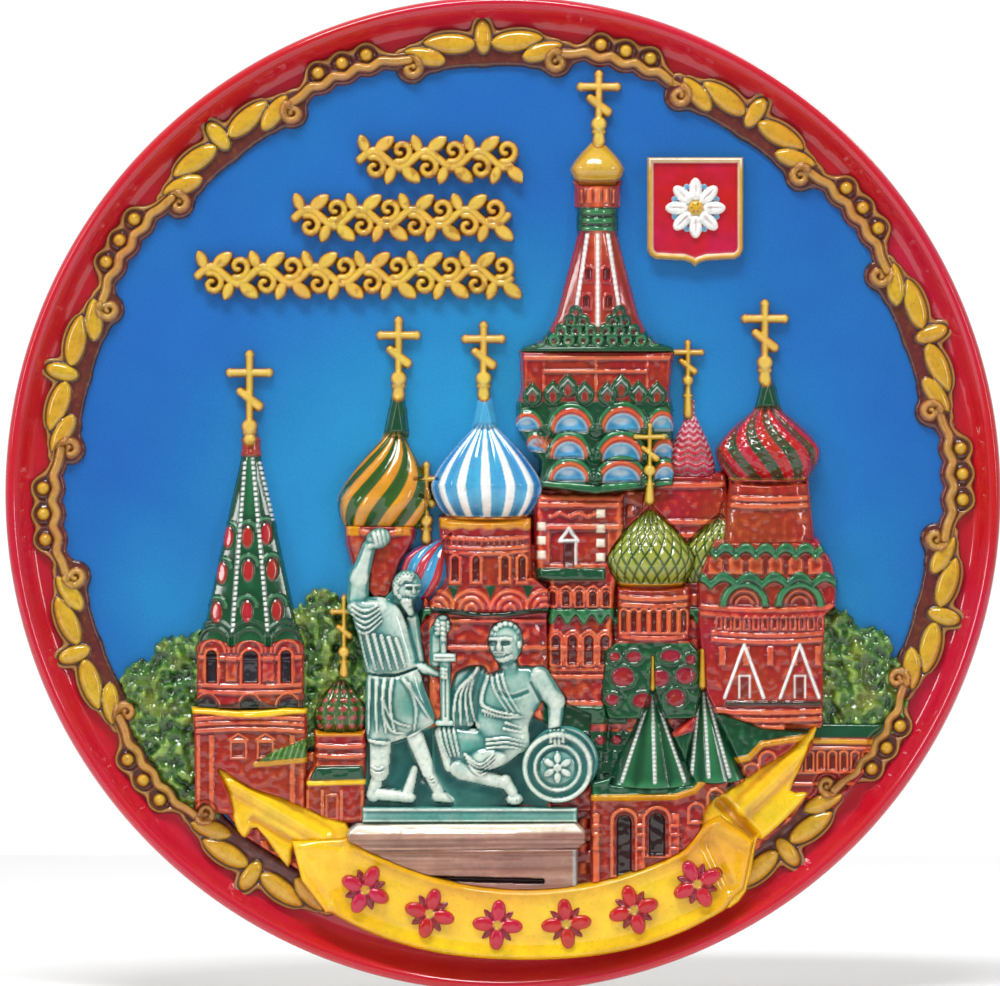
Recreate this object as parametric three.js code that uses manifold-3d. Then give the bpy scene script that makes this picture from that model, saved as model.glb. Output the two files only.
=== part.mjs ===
// Ceramic souvenir wall plate: a round dish with a raised rim, a foot ring and a wire hanger
// behind, and a relief picture of a many-domed cathedral seated piece by piece on its front.
//
// Millimetres, +Z up. The plate faces -Y and hangs against a wall at y = 0. The origin is the
// centre of the foot ring, in the plane of the wall.

import * as THREE from 'three';
import { mergeVertices } from 'three/addons/utils/BufferGeometryUtils.js';
import initManifold from 'manifold-3d';

const wasm = await initManifold();
wasm.setup();

// ---------------------------------------------------------------- driving sizes

const plate = { radius: 100, wall: 4.5, sides: 64 };
const lip = { width: 4.5, height: 4.5, roll: 1.6 };
const foot = { outerRadius: 55, thickness: 6, height: 6 };
const hanger = { wire: 1.8, clearance: 0.35, pivotZ: 42, legX: 14, drop: 24, bend: 3, endInset: 3 };
const garland = { units: 10, firstAngle: 92.5, hiddenUnit: 5, depth: 2.2, stemRadius: 87.3 };

// The picture is drawn for a plate that is 95.5 mm from its centre to the foot of the lip,
// and fitted to the room that this plate has.
const picture = { drawnRadius: 95.5 };

// How far the layers of the picture stand off the dish, and the gap that neighbours keep.
const relief = { low: 2.5, middle: 4, high: 5.5, front: 7, round: 0.62, gap: 0.3 };

const crossSize = { bar: 1.4, depth: 2, ballRadius: 1.6 };
const motif = { count: 6, radius: 5, height: 1.2 };

// Places worked out from the sizes above.
const backY = -foot.height;
const fieldY = backY - plate.wall;
const lipY = fieldY - lip.height;
const fieldRadius = plate.radius - lip.width;
const fit = fieldRadius / picture.drawnRadius;

// ---------------------------------------------------------------- finishes

const glaze = (color) => new THREE.MeshStandardMaterial({ color, roughness: 0.16, metalness: 0 });

const finishes = {
  crimson: glaze(0xc41f37),
  gold: glaze(0xdda528),
  brick: glaze(0xb03a28),
  leaf: glaze(0x3f7a35),
  roof: glaze(0x1f6240),
  sky: glaze(0x3f9fd0),
  yellow: glaze(0xf2c31e),
  lime: glaze(0x9aa63a),
  rose: glaze(0xb6384f),
  verdigris: glaze(0x86b3a6),
  stone: glaze(0xa27a6a),
  steel: new THREE.MeshStandardMaterial({ color: 0xb9bcc0, roughness: 0.32, metalness: 1 }),
};

// ---------------------------------------------------------------- solids

const vec = (x, z) => new THREE.Vector2(x, z);
const degrees = THREE.MathUtils.degToRad;

function solidOf(geometry) {
  geometry.deleteAttribute('normal');
  geometry.deleteAttribute('uv');
  const merged = mergeVertices(geometry, 1e-4);
  const mesh = new wasm.Mesh({
    numProp: 3,
    vertProperties: new Float32Array(merged.attributes.position.array),
    triVerts: new Uint32Array(merged.index.array),
  });
  return new wasm.Manifold(mesh);
}

function geometryOf(solid) {
  const mesh = solid.getMesh();
  const geometry = new THREE.BufferGeometry();
  geometry.setAttribute('position', new THREE.BufferAttribute(mesh.vertProperties, 3));
  geometry.setIndex(new THREE.BufferAttribute(mesh.triVerts, 1));
  geometry.computeVertexNormals();
  return geometry;
}

const joined = (solids) => solids.reduce((all, next) => all.add(next));

// A piece that a neighbour cuts through keeps its main body; the off-cut behind is not made.
function mainBody(solid) {
  const bodies = solid.decompose();
  return bodies.reduce((best, next) => (next.volume() > best.volume() ? next : best));
}

// A flat-faced solid over an outline in the picture's plane, from one depth out to another.
function slab(outline, fromY, toY) {
  const shape = new THREE.Shape(outline);
  const geometry = new THREE.ExtrudeGeometry(shape, { depth: fromY - toY, bevelEnabled: false });
  geometry.rotateX(Math.PI / 2);
  geometry.translate(0, fromY, 0);
  return solidOf(geometry);
}

// The outline moved outwards by a distance, with its sharp corners held to twice that.
function grown(outline, distance) {
  const points = THREE.ShapeUtils.isClockWise(outline) ? [...outline].reverse() : outline;
  return points.map((point, i) => {
    const before = points.at(i - 1);
    const after = points[(i + 1) % points.length];
    const into = point.clone().sub(before).normalize();
    const out = after.clone().sub(point).normalize();
    const normal = vec(into.y + out.y, -into.x - out.x).normalize();
    const spread = Math.max(normal.dot(vec(out.y, -out.x)), 0.5);
    return point.clone().addScaledVector(normal, distance / spread);
  });
}

const frontHalf = new THREE.BoxGeometry(4 * plate.radius, plate.radius, 4 * plate.radius);
frontHalf.translate(0, fieldY - plate.radius / 2, 0);
const inFrontOfField = solidOf(frontHalf);

// ---------------------------------------------------------------- outlines

const scaled = (points) => points.map(([x, z]) => vec(x * fit, z * fit));

function arcPoints(x, z, radius, from, to, steps) {
  return Array.from({ length: steps + 1 }, (_, i) => {
    const angle = degrees(from + ((to - from) * i) / steps);
    return [x + radius * Math.cos(angle), z + radius * Math.sin(angle)];
  });
}

const disc = (x, z, radius, sides) => arcPoints(x, z, radius, 0, 360 - 360 / sides, sides - 1);

// A straight bar with square ends between two points.
function bar(x1, z1, x2, z2, width) {
  const along = vec(x2 - x1, z2 - z1).normalize().multiplyScalar(width / 2);
  const [ax, az] = [along.x, along.y];
  return [[x1 + az, z1 - ax], [x2 + az, z2 - ax], [x2 - az, z2 + ax], [x1 - az, z1 + ax]];
}

// A pointed leaf about its middle, with its tip along the angle.
function leaf(x, z, length, width, angle) {
  const turn = degrees(angle);
  const half = [[-0.5, 0], [-0.3, 0.36], [0, 0.5], [0.28, 0.34]];
  const back = half.slice(1).reverse().map(([a, b]) => [a, -b]);
  return [...half, [0.5, 0], ...back].reverse().map(([a, b]) => {
    const [u, v] = [a * length, b * width];
    return [x + u * Math.cos(turn) - v * Math.sin(turn), z + u * Math.sin(turn) + v * Math.cos(turn)];
  });
}

// The half section of an onion dome: a narrow seat, a swelling and a drawn-out tip.
function onionProfile({ seat, radius, height, widest = 0.36, tip = 0.5 }) {
  const belly = height * widest;
  const rise = height - belly;
  const lower = new THREE.CubicBezierCurve(
    vec(seat, 0), vec(seat + 0.6 * (radius - seat), 0.02 * height),
    vec(radius, 0.45 * belly), vec(radius, belly));
  const upper = new THREE.CubicBezierCurve(
    vec(radius, belly), vec(radius, belly + 0.42 * rise),
    vec(tip + 0.12 * radius, belly + 0.6 * rise), vec(tip, height));
  return [...lower.getPoints(3), ...upper.getPoints(5).slice(1)];
}

const mirrored = (profile) => [
  ...profile.map((p) => vec(p.x, p.y)),
  ...[...profile].reverse().map((p) => vec(-p.x, p.y)),
];

// ---------------------------------------------------------------- relief pieces

// One piece of the picture. It collects solids that stand on the dish, and for each of them
// the room that it takes from whatever lies behind it in the picture.
class Relief {
  constructor(name, finish, { cutsOthers = true } = {}) {
    this.name = name;
    this.finish = finish;
    this.cutsOthers = cutsOthers;
    this.solids = [];
    this.rooms = [];
  }

  claim(outline) {
    const room = grown(outline, relief.gap);
    this.rooms.push(slab(room, fieldY + relief.gap, lipY - 4 * relief.front));
  }

  // A flat piece of even depth over an outline given in the picture's millimetres.
  flat(points, depth, fromY = fieldY) {
    const outline = scaled(points);
    this.solids.push(slab(outline, fromY, fromY - depth));
    this.claim(outline);
    return this;
  }

  // A half-round piece: a profile turned about an upright axis, flattened towards the dish.
  round(x, z, profile, { tilt = 0, flatten = relief.round, sides = 12 } = {}) {
    const section = profile.map((p) => vec(p.x * fit, p.y * fit));
    const closed = [vec(0, section[0].y), ...section, vec(0, section.at(-1).y)];
    const geometry = new THREE.LatheGeometry(closed, sides, Math.PI / sides);
    geometry.rotateX(Math.PI / 2);
    geometry.scale(1, flatten, 1);
    geometry.rotateY(degrees(tilt));
    geometry.translate(x * fit, fieldY, z * fit);
    this.solids.push(solidOf(geometry).intersect(inFrontOfField));
    const turn = degrees(-tilt);
    const outline = mirrored(section).map((p) => {
      return p.rotateAround(vec(0, 0), turn).add(vec(x * fit, z * fit));
    });
    this.claim(outline);
    return this;
  }

  // A finial: neck, ball, upright, arm and slanting foot bar.
  cross(x, footZ, ballZ, topZ, armHalf, { slantHalf = armHalf * 0.62 } = {}) {
    const height = topZ - ballZ;
    const armZ = ballZ + 0.74 * height;
    const slantZ = ballZ + 0.38 * height;
    const drop = 0.55 * slantHalf;
    this.flat(bar(x, footZ, x, topZ, crossSize.bar), crossSize.depth);
    this.flat(bar(x - armHalf, armZ, x + armHalf, armZ, crossSize.bar), crossSize.depth);
    this.flat(bar(x - slantHalf, slantZ + drop, x + slantHalf, slantZ - drop, crossSize.bar),
      crossSize.depth);
    this.flat(disc(x, ballZ, crossSize.ballRadius, 8), crossSize.depth);
    return this;
  }
}

const relievo = (name, finish, options) => new Relief(name, finish, options);

// ---------------------------------------------------------------- trees, seen behind everything

const treesLeft = relievo('trees_left', 'leaf').flat([
  [-77, -41], [-74.5, -36], [-70, -33], [-64, -29.5], [-58, -28],
  [-58, -66], [-62, -63.5], [-67.5, -59.5], [-73.5, -49.5]], relief.low);

const treesMiddle = relievo('trees_middle', 'leaf').flat([
  [-42, -24], [-39, -20.5], [-34, -19], [-31, -22], [-30, -50], [-42, -50]], relief.low);

const treesRight = relievo('trees_right', 'leaf').flat([
  [62, -25], [66, -22.5], [74, -26.5], [79, -31], [82.5, -36],
  [80, -44], [77, -48.5], [62, -48.5]], relief.low);

// ---------------------------------------------------------------- middle tower

const tower = { x: 19, half: 15.2, topZ: 28.4, arcadeBase: -0.3, bodyBase: -50, domeBase: 62.6 };

const towerBody = relievo('tower_body', 'brick').flat([
  [tower.x - 13, tower.arcadeBase], [tower.x - 12, -14.8], [tower.x - 10, -15.5],
  [tower.x - 10, tower.bodyBase], [tower.x + 2, tower.bodyBase],
  [tower.x + 5, tower.arcadeBase]], relief.middle);

const towerArcade = relievo('tower_arcade', 'roof').flat([
  [tower.x - tower.half, tower.topZ], [tower.x - tower.half, 3],
  [tower.x - 11, tower.arcadeBase - 2.5], [tower.x + 9, tower.arcadeBase - 2.5],
  [tower.x + tower.half, 3], [tower.x + tower.half, tower.topZ]], relief.high);

const towerTent = relievo('tower_tent', 'brick')
  .round(tower.x, tower.topZ, [
    vec(tower.half, 0), vec(11, 2.5), vec(8, 6.7), vec(3.4, 24.2),
    vec(3.4, 29.3), vec(3.9, 34.2)])
  .round(tower.x, tower.topZ, [vec(tower.half, 0), vec(tower.half, 1.4)], { flatten: 0.4 });

const towerGoldDome = relievo('tower_gold_dome', 'gold')
  .round(tower.x, tower.domeBase, onionProfile({ seat: 3.9, radius: 5.3, height: 10 }))
  .cross(tower.x, tower.domeBase + 8, 74.4, 85, 3.7);

// ---------------------------------------------------------------- domes behind the middle

const roseDrum = relievo('rose_dome_drum', 'brick')
  .round(37.6, -10, [vec(3.6, 0), vec(5.8, 8.6), vec(4, 13.6)], { flatten: 0.5 });

const roseDome = relievo('rose_dome', 'rose')
  .round(37.4, 4, onionProfile({ seat: 3.4, radius: 4.4, height: 14.3, widest: 0.3 }))
  .cross(37.2, 16, 22.8, 30.5, 2.8);

const backDome = relievo('back_dome', 'lime')
  .round(43.5, -15, onionProfile({ seat: 4, radius: 5.2, height: 14, widest: 0.4 }));

const crimsonBody = relievo('crimson_tower_body', 'brick').flat([
  [40.5, -10.5], [40.5, -21.5], [43, -29.5], [43, -47.5], [64, -47.5],
  [64, -29.5], [66.8, -21.5], [66.8, -13], [63, -9.5]], relief.high);

const crimsonDrum = relievo('crimson_dome_drum', 'brick')
  .round(53.6, -9.5, [vec(9.6, 0), vec(7.8, 1.5), vec(7.8, 11.8)], { flatten: 0.75 });

const crimsonDome = relievo('crimson_dome', 'crimson')
  .round(53.3, 2.6, onionProfile({ seat: 7.6, radius: 10.5, height: 17.6, widest: 0.36 }))
  .cross(52.7, 17, 25.8, 38.9, 4.3);

// ---------------------------------------------------------------- domes left of the middle

const yellowDrum = relievo('yellow_dome_drum', 'brick').flat([
  [-31.3, -7], [-18, -7], [-18.5, -14], [-21.5, -21], [-24, -21], [-30.5, -12]], relief.middle);

const yellowDome = relievo('yellow_dome', 'yellow')
  .round(-24, -6.6, onionProfile({ seat: 7.8, radius: 9.3, height: 21.4, widest: 0.26 }),
    { tilt: 5 })
  .cross(-22, 6, 23.2, 35.3, 4.2);

const blueDrum = relievo('blue_dome_drum', 'brick')
  .round(-3.6, -38, [vec(9.6, 0), vec(9.6, 13.5), vec(11.5, 15), vec(9.2, 21), vec(8.9, 33)]);

const blueDome = relievo('blue_dome', 'sky')
  .round(-3.2, -4.9, onionProfile({ seat: 7.6, radius: 11.3, height: 22.3, widest: 0.3 }))
  .cross(-4.1, 16, 22, 34.3, 4.2);

const stripedDome = relievo('striped_dome', 'rose')
  .round(-19, -18, onionProfile({ seat: 3.8, radius: 5, height: 13, widest: 0.3 }), { tilt: 32 })
  .flat(bar(-13.6, -9, -15.6, 6.5, crossSize.bar), crossSize.depth);

// ---------------------------------------------------------------- scale dome, right of the middle

const scaleDrum = relievo('scale_dome_drum', 'brick')
  .round(30.2, -42, [vec(10.2, 0), vec(9.6, 12.5), vec(7.6, 13.5), vec(7.4, 23.6)]);

const scaleDome = relievo('scale_dome', 'lime')
  .round(29.7, -18.4, onionProfile({ seat: 6.6, radius: 9.1, height: 18, widest: 0.3 }))
  .cross(29.4, -2, 4.7, 14, 2.9);

// ---------------------------------------------------------------- gate tower and chapel, left

const gate = { x: -50.7, spireTop: 7.7, eaveZ: -29.3, half: 11, ledgeZ: -43, footZ: -66 };

const gateBase = relievo('gate_base', 'brick').flat([
  [gate.x - 11.8, gate.ledgeZ], [gate.x - 11.8, gate.footZ + 3],
  [gate.x + 11.5, gate.footZ], [gate.x + 11.5, gate.ledgeZ]], relief.high);

const gateBelfry = relievo('gate_belfry', 'brick')
  .round(gate.x, gate.ledgeZ, [vec(11.6, 0), vec(10.8, 1.6), vec(10.8, 13.4)]);

const gateSpire = relievo('gate_spire', 'roof')
  .round(gate.x, gate.eaveZ, [
    vec(gate.half, 0), vec(9.3, 4), vec(2.1, gate.spireTop - gate.eaveZ),
    vec(1.9, gate.spireTop - gate.eaveZ + 3.6)])
  .cross(gate.x - 0.3, gate.spireTop + 2, 13.6, 28.4, 4);

const chapelBody = relievo('chapel_body', 'brick').flat([
  [-39, -54], [-38.5, -48.5], [-27, -48.5], [-27, -66], [-39, -66]], relief.middle);

const chapelDome = relievo('chapel_dome', 'leaf')
  .round(-32.6, -48.2, onionProfile({ seat: 4.6, radius: 5.5, height: 13.5, widest: 0.33 }))
  .cross(-31.9, -37, -31.5, -20.6, 2.4, { slantHalf: 1.8 });

// ---------------------------------------------------------------- gallery and tents, right

const galleryRight = relievo('gallery_right', 'brick').flat([
  [55, -50], [62.7, -48.8], [75, -48.8], [72.5, -55], [66, -61], [58, -61]], relief.middle);

const gallery = relievo('gallery_wall', 'brick').flat([
  [17.6, -59], [38.1, -59], [42.6, -54], [49.2, -52.6], [51.6, -50], [59, -48.8],
  [55, -60], [44, -68], [33, -78], [17.6, -78]], relief.high);

const tent = { slope: [[9, 0], [8.3, 1.5], [0.7, 20], [0.6, 26]], finial: 0.6 };

const tentRear = relievo('tent_rear', 'roof')
  .round(42.5, -56, [vec(6.4, 0), vec(6, 2), vec(0.8, 17.6), vec(tent.finial, 24)]);

const tentFront = relievo('tent_front', 'roof')
  .round(30, -58.8, tent.slope.map(([r, z]) => vec(r, z)));

// ---------------------------------------------------------------- garland on the rim

const unitStep = 360 / garland.units;

const polar = (radius, angle) => [
  radius * Math.cos(degrees(angle)), radius * Math.sin(degrees(angle))];

function garlandUnit(index, angle, withRibbon) {
  const piece = relievo(`rim_garland_${index}`, 'gold');
  const at = (radius, turn) => polar(radius, angle + turn);
  const { stemRadius, depth } = garland;
  const ribbonEnd = withRibbon ? 23.8 : 10.5;
  const steps = withRibbon ? 14 : 8;
  const edge = (offset) => Array.from({ length: steps + 1 }, (_, i) => {
    const turn = 10.5 - ((10.5 + ribbonEnd) * i) / steps;
    const past = Math.max(0, Math.min(1, (-turn - 9) / 6));
    const wave = 1.9 * past * Math.sin((Math.PI * (-turn - 9)) / 15);
    return at(stemRadius + wave + offset, turn);
  });
  piece.flat([...edge(0.9), ...edge(-0.9).reverse()], depth * 0.8);
  piece.flat(leaf(...at(90.6, 0), 6.4, 3, angle), depth);
  for (const side of [-1, 1]) {
    piece.flat(leaf(...at(90, 4.3 * side), 6.8, 3.1, angle + 48 * side), depth);
    piece.flat(leaf(...at(88.8, 7.3 * side), 6.4, 2.8, angle + 62 * side), depth);
    piece.flat(disc(...at(87.2, 9.6 * side), 1.9, 8), depth);
  }
  if (withRibbon) {
    for (const turn of [-14.8, -18, -21.2]) {
      piece.flat(disc(...at(90.2, turn), 1.5, 6), depth);
    }
  }
  return piece;
}

const garlands = [];
for (let i = 0; i < garland.units; i += 1) {
  if (i !== garland.hiddenUnit) {
    const angle = garland.firstAngle + unitStep * i;
    garlands.push(garlandUnit(garlands.length + 1, angle, i !== garland.hiddenUnit + 1));
  }
}

// ---------------------------------------------------------------- title scrolls and crest

// Three running vines stand where a plate of this kind carries its title.
const vine = { width: 3.6, wave: 2.2, pitch: 10.6 };

function vineLine(name, left, right, middleZ) {
  const steps = Math.round((right - left) / (vine.pitch / 6));
  const edge = (offset) => Array.from({ length: steps + 1 }, (_, i) => {
    const x = left + ((right - left) * i) / steps;
    return [x, middleZ + offset + vine.wave * Math.sin((2 * Math.PI * (x - left)) / vine.pitch)];
  });
  return relievo(name, 'gold')
    .flat([...edge(-vine.width / 2), ...edge(vine.width / 2).reverse()], relief.low);
}

const vines = [
  vineLine('title_vine_upper', -28.7, 1.5, 67.3),
  vineLine('title_vine_middle', -41.8, 1, 55.6),
  vineLine('title_vine_lower', -61.3, 1.5, 44),
];

const crest = { x: 38.7, topZ: 67.7, half: 9.6, height: 21.6, depth: 2.5 };

const crestShield = relievo('crest_shield', 'crimson').flat([
  [crest.x - crest.half, crest.topZ], [crest.x - crest.half, crest.topZ - crest.height + 3],
  [crest.x - crest.half + 1.5, crest.topZ - crest.height + 1.6],
  [crest.x - 2, crest.topZ - crest.height + 1.2], [crest.x, crest.topZ - crest.height],
  [crest.x + 2, crest.topZ - crest.height + 1.2],
  [crest.x + crest.half - 1.5, crest.topZ - crest.height + 1.6],
  [crest.x + crest.half, crest.topZ - crest.height + 3],
  [crest.x + crest.half, crest.topZ]], crest.depth);

function rosette(x, z, radius, petals, depthOfPetals) {
  const steps = petals * 4;
  return Array.from({ length: steps }, (_, i) => {
    const angle = (2 * Math.PI * i) / steps;
    const reach = radius * (1 - depthOfPetals * (0.5 - 0.5 * Math.cos(petals * angle)));
    return [x + reach * Math.cos(angle), z + reach * Math.sin(angle)];
  });
}

const crestRosette = relievo('crest_rosette', 'stone', { cutsOthers: false })
  .flat(rosette(crest.x, crest.topZ - 0.47 * crest.height, 6, 8, 0.3), 1, fieldY - crest.depth);

// ---------------------------------------------------------------- monument

const plinth = { left: -28.3, right: 15, topZ: -62.7, height: 3.2 };
const pedestal = { left: -32.3, right: 16.8, slab: 5.4, inset: 2.4, footZ: -82 };
const pedestalTop = plinth.topZ - plinth.height;

const standingFigure = relievo('standing_figure', 'verdigris').flat([
  [-25.8, -5.5], [-22, -4.8], [-20.2, -7.5], [-21.5, -11], [-24.3, -13.5], [-24.6, -18],
  [-23.2, -20], [-22.5, -16.5], [-20.5, -14.2], [-16.5, -14.5], [-14.5, -17.5], [-15.2, -22],
  [-16, -26.5], [-13.8, -29], [-12, -34], [-10.5, -45], [-13.5, -50], [-12, -55], [-7, -60],
  [-7, -63], [-13.8, -63], [-15.5, -56], [-18, -52.5], [-17.2, -60], [-16.5, -63], [-26, -63],
  [-26.5, -57], [-25.8, -50.5], [-27.8, -50], [-27, -38], [-28.3, -33], [-30, -27], [-30, -21],
  [-28.5, -12]], relief.high);

const seatedFigure = relievo('seated_figure', 'verdigris').flat([
  [-3, -27], [0.5, -25.3], [4.3, -27.5], [5, -31.5], [4.5, -34], [9, -36.5], [12, -41],
  [13.5, -47], [12.5, -50], [9, -51], [6, -55], [2, -56.5], [4, -63], [-1, -63], [-3, -57.5],
  [-9, -56], [-10.5, -51.5], [-9, -46], [-9.5, -38], [-6, -34.5], [-3, -33]], relief.high);

const roundShield = relievo('round_shield', 'verdigris')
  .flat(disc(11, -54.8, 7.2, 16), relief.front);

const sword = relievo('statue_sword', 'verdigris')
  .flat(bar(-11.2, -46.6, -11.2, -24.8, 2.6), relief.front)
  .flat(bar(-14, -33, -8.4, -33, 1.8), relief.front);

const statuePlinth = relievo('statue_plinth', 'verdigris').flat([
  [plinth.left, plinth.topZ], [plinth.left, pedestalTop], [plinth.right, pedestalTop],
  [plinth.right, plinth.topZ]], relief.high);

const statuePedestal = relievo('statue_pedestal', 'stone')
  .flat([
    [pedestal.left, pedestalTop], [pedestal.left, pedestalTop - pedestal.slab],
    [pedestal.right, pedestalTop - pedestal.slab], [pedestal.right, pedestalTop]], relief.front)
  .flat([
    [pedestal.left + pedestal.inset, pedestalTop - 1],
    [pedestal.left + pedestal.inset, pedestal.footZ],
    [pedestal.right - pedestal.inset, pedestal.footZ],
    [pedestal.right - pedestal.inset, pedestalTop - 1]], relief.high);

// ---------------------------------------------------------------- banner

const banner = { x: 4.5, z: -12, inner: 67, outer: 82, from: 240, to: 301, proud: 0.5 };
const bannerDepth = relief.high + banner.proud;
const bannerMiddle = (banner.inner + banner.outer) / 2;

const bannerLeft = relievo('banner_tail_left', 'yellow').flat([
  [-56.8, -55.2], [-44, -60], [-31, -68], [-35, -80], [-38, -78], [-42, -70.5],
  [-43, -74.7], [-49.4, -67], [-51.8, -69], [-53.6, -66.5]], relief.high);

const bannerRight = relievo('banner_tail_right', 'yellow').flat([
  [39, -68], [41, -61.5], [46.8, -57.8], [52, -54], [57, -50.8], [62.7, -46.6], [60.9, -52],
  [57.2, -60], [60.9, -60.2], [52, -69], [50.8, -69.5], [48.5, -79.6], [44, -83],
  [40, -76]], relief.high);

const bannerBand = relievo('banner_band', 'yellow').flat([
  ...arcPoints(banner.x, banner.z, banner.outer, banner.from + 2.4, banner.to - 1.6, 12),
  ...arcPoints(banner.x, banner.z, banner.inner, banner.to + 1.8, banner.from - 2.2, 12),
], bannerDepth);

const motifs = Array.from({ length: motif.count }, (_, i) => {
  const angle = degrees(banner.from + 4.5 + (10.6 * i));
  const x = banner.x + bannerMiddle * Math.cos(angle);
  const z = banner.z + bannerMiddle * Math.sin(angle);
  return relievo(`banner_motif_${i + 1}`, 'crimson', { cutsOthers: false })
    .flat(rosette(x, z, motif.radius, 4, 0.55), motif.height, fieldY - bannerDepth);
});

// ---------------------------------------------------------------- dish and hanger

function dish() {
  const footInner = foot.outerRadius - foot.thickness;
  const rimBackY = lipY + plate.wall;
  const profile = [
    vec(0, fieldY),
    vec(fieldRadius, fieldY),
    vec(fieldRadius + 0.5 * lip.width - 0.5 * lip.roll, lipY + 0.5),
    vec(plate.radius - lip.roll, lipY),
    vec(plate.radius - 0.3 * lip.roll, lipY + 0.3 * lip.roll),
    vec(plate.radius, lipY + lip.roll),
    vec(plate.radius - 0.4, rimBackY - 0.8),
    vec(plate.radius - 0.4 * plate.wall, rimBackY),
    vec(0.82 * plate.radius, backY - 1.2),
    vec(foot.outerRadius + foot.thickness, backY),
    vec(foot.outerRadius + 0.6, backY + 0.4),
    vec(foot.outerRadius, backY + 1),
    vec(foot.outerRadius, 0),
    vec(footInner, 0),
    vec(footInner, backY),
    vec(0, backY),
  ];
  return solidOf(new THREE.LatheGeometry(profile, plate.sides));
}

function hangerHole() {
  const radius = hanger.wire / 2 + hanger.clearance;
  const hole = new THREE.CylinderGeometry(radius, radius, 2 * foot.outerRadius, 12);
  hole.rotateZ(Math.PI / 2);
  hole.translate(0, backY / 2, hanger.pivotZ);
  return solidOf(hole);
}

function hangerWire() {
  const holeMouth = Math.sqrt(foot.outerRadius ** 2 - hanger.pivotZ ** 2);
  const endX = holeMouth - hanger.endInset;
  const at = (x, z) => new THREE.Vector3(x, backY / 2, z);
  const top = hanger.pivotZ;
  const bottom = top - hanger.drop;
  const { legX, bend } = hanger;
  const bow = legX * 0.55;
  const path = new THREE.CurvePath();
  path.add(new THREE.LineCurve3(at(-endX, top), at(-legX - bend, top)));
  path.add(new THREE.QuadraticBezierCurve3(
    at(-legX - bend, top), at(-legX, top), at(-legX, top - bend)));
  path.add(new THREE.LineCurve3(at(-legX, top - bend), at(-legX, bottom + legX)));
  path.add(new THREE.CubicBezierCurve3(
    at(-legX, bottom + legX), at(-legX, bottom + legX - bow), at(-bow, bottom), at(0, bottom)));
  path.add(new THREE.CubicBezierCurve3(
    at(0, bottom), at(bow, bottom), at(legX, bottom + legX - bow), at(legX, bottom + legX)));
  path.add(new THREE.LineCurve3(at(legX, bottom + legX), at(legX, top - bend)));
  path.add(new THREE.QuadraticBezierCurve3(
    at(legX, top - bend), at(legX, top), at(legX + bend, top)));
  path.add(new THREE.LineCurve3(at(legX + bend, top), at(endX, top)));
  const section = new THREE.Shape(
    disc(0, 0, hanger.wire / 2, 8).map(([x, z]) => vec(x, z)));
  return solidOf(new THREE.ExtrudeGeometry(section, { steps: 44, extrudePath: path }));
}

// ---------------------------------------------------------------- assembly

// From the back of the picture to the front: each piece makes room for those after it.
const pictureOrder = [
  treesLeft, treesMiddle, treesRight,
  towerBody, roseDrum, roseDome, backDome, towerTent, towerArcade, towerGoldDome,
  crimsonBody, crimsonDrum, crimsonDome,
  yellowDrum, yellowDome, blueDrum, blueDome, stripedDome,
  scaleDrum, scaleDome,
  gateBase, gateBelfry, gateSpire, chapelBody, chapelDome,
  galleryRight, gallery, tentRear, tentFront,
  ...garlands, ...vines, crestShield, crestRosette,
  standingFigure, seatedFigure, roundShield, sword, statuePlinth, statuePedestal,
  bannerLeft, bannerRight, bannerBand, ...motifs,
];

const pictureSolids = pictureOrder.map((piece) => joined(piece.solids));
const pictureRooms = pictureOrder.map((piece) => (piece.cutsOthers ? joined(piece.rooms) : null));

function seated(index) {
  let solid = pictureSolids[index];
  for (let front = index + 1; front < pictureOrder.length; front += 1) {
    if (pictureRooms[front]) {
      solid = solid.subtract(pictureRooms[front]);
    }
  }
  return mainBody(solid);
}

function mesh(name, solid, finish) {
  const made = new THREE.Mesh(geometryOf(solid), finishes[finish]);
  made.name = name;
  return made;
}

const group = new THREE.Group();
group.add(mesh('plate_body', dish().subtract(hangerHole()), 'crimson'));
group.add(mesh('wall_hanger', hangerWire(), 'steel'));
pictureOrder.forEach((piece, index) => {
  group.add(mesh(piece.name, seated(index), piece.finish));
});

export default group;
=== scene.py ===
"""Souvenir wall plate: a glazed dish with a garland rim and a relief picture of a many-domed cathedral.

The dish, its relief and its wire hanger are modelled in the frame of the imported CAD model: metres,
+Z up, the picture facing -Y, the wall at y = 0. Sizes inside the relief are written in millimetres.
"""

import logging
import math
from dataclasses import dataclass, field
from enum import Enum
from functools import reduce
from typing import Callable, Iterable, Sequence

import bmesh
import bpy
import numpy as np
from mathutils import Matrix, Vector


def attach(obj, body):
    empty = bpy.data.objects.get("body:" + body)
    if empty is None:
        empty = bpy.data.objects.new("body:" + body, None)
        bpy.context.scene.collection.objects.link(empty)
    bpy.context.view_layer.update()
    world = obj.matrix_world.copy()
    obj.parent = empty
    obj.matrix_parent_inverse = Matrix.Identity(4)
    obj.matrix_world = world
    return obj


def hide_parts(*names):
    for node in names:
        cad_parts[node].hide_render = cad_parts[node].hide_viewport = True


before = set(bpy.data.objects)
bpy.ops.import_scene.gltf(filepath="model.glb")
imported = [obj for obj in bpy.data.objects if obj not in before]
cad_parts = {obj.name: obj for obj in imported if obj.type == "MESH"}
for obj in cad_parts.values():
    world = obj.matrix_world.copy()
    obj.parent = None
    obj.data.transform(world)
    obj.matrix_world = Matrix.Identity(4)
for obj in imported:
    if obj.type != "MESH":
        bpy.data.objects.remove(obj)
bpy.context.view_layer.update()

log = logging.getLogger("plate")

Grid = np.ndarray
Point = tuple[float, float]

MM = 0.001
PLATE_BODY = "plate"
HANGER_BODY = "hanger"
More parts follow.
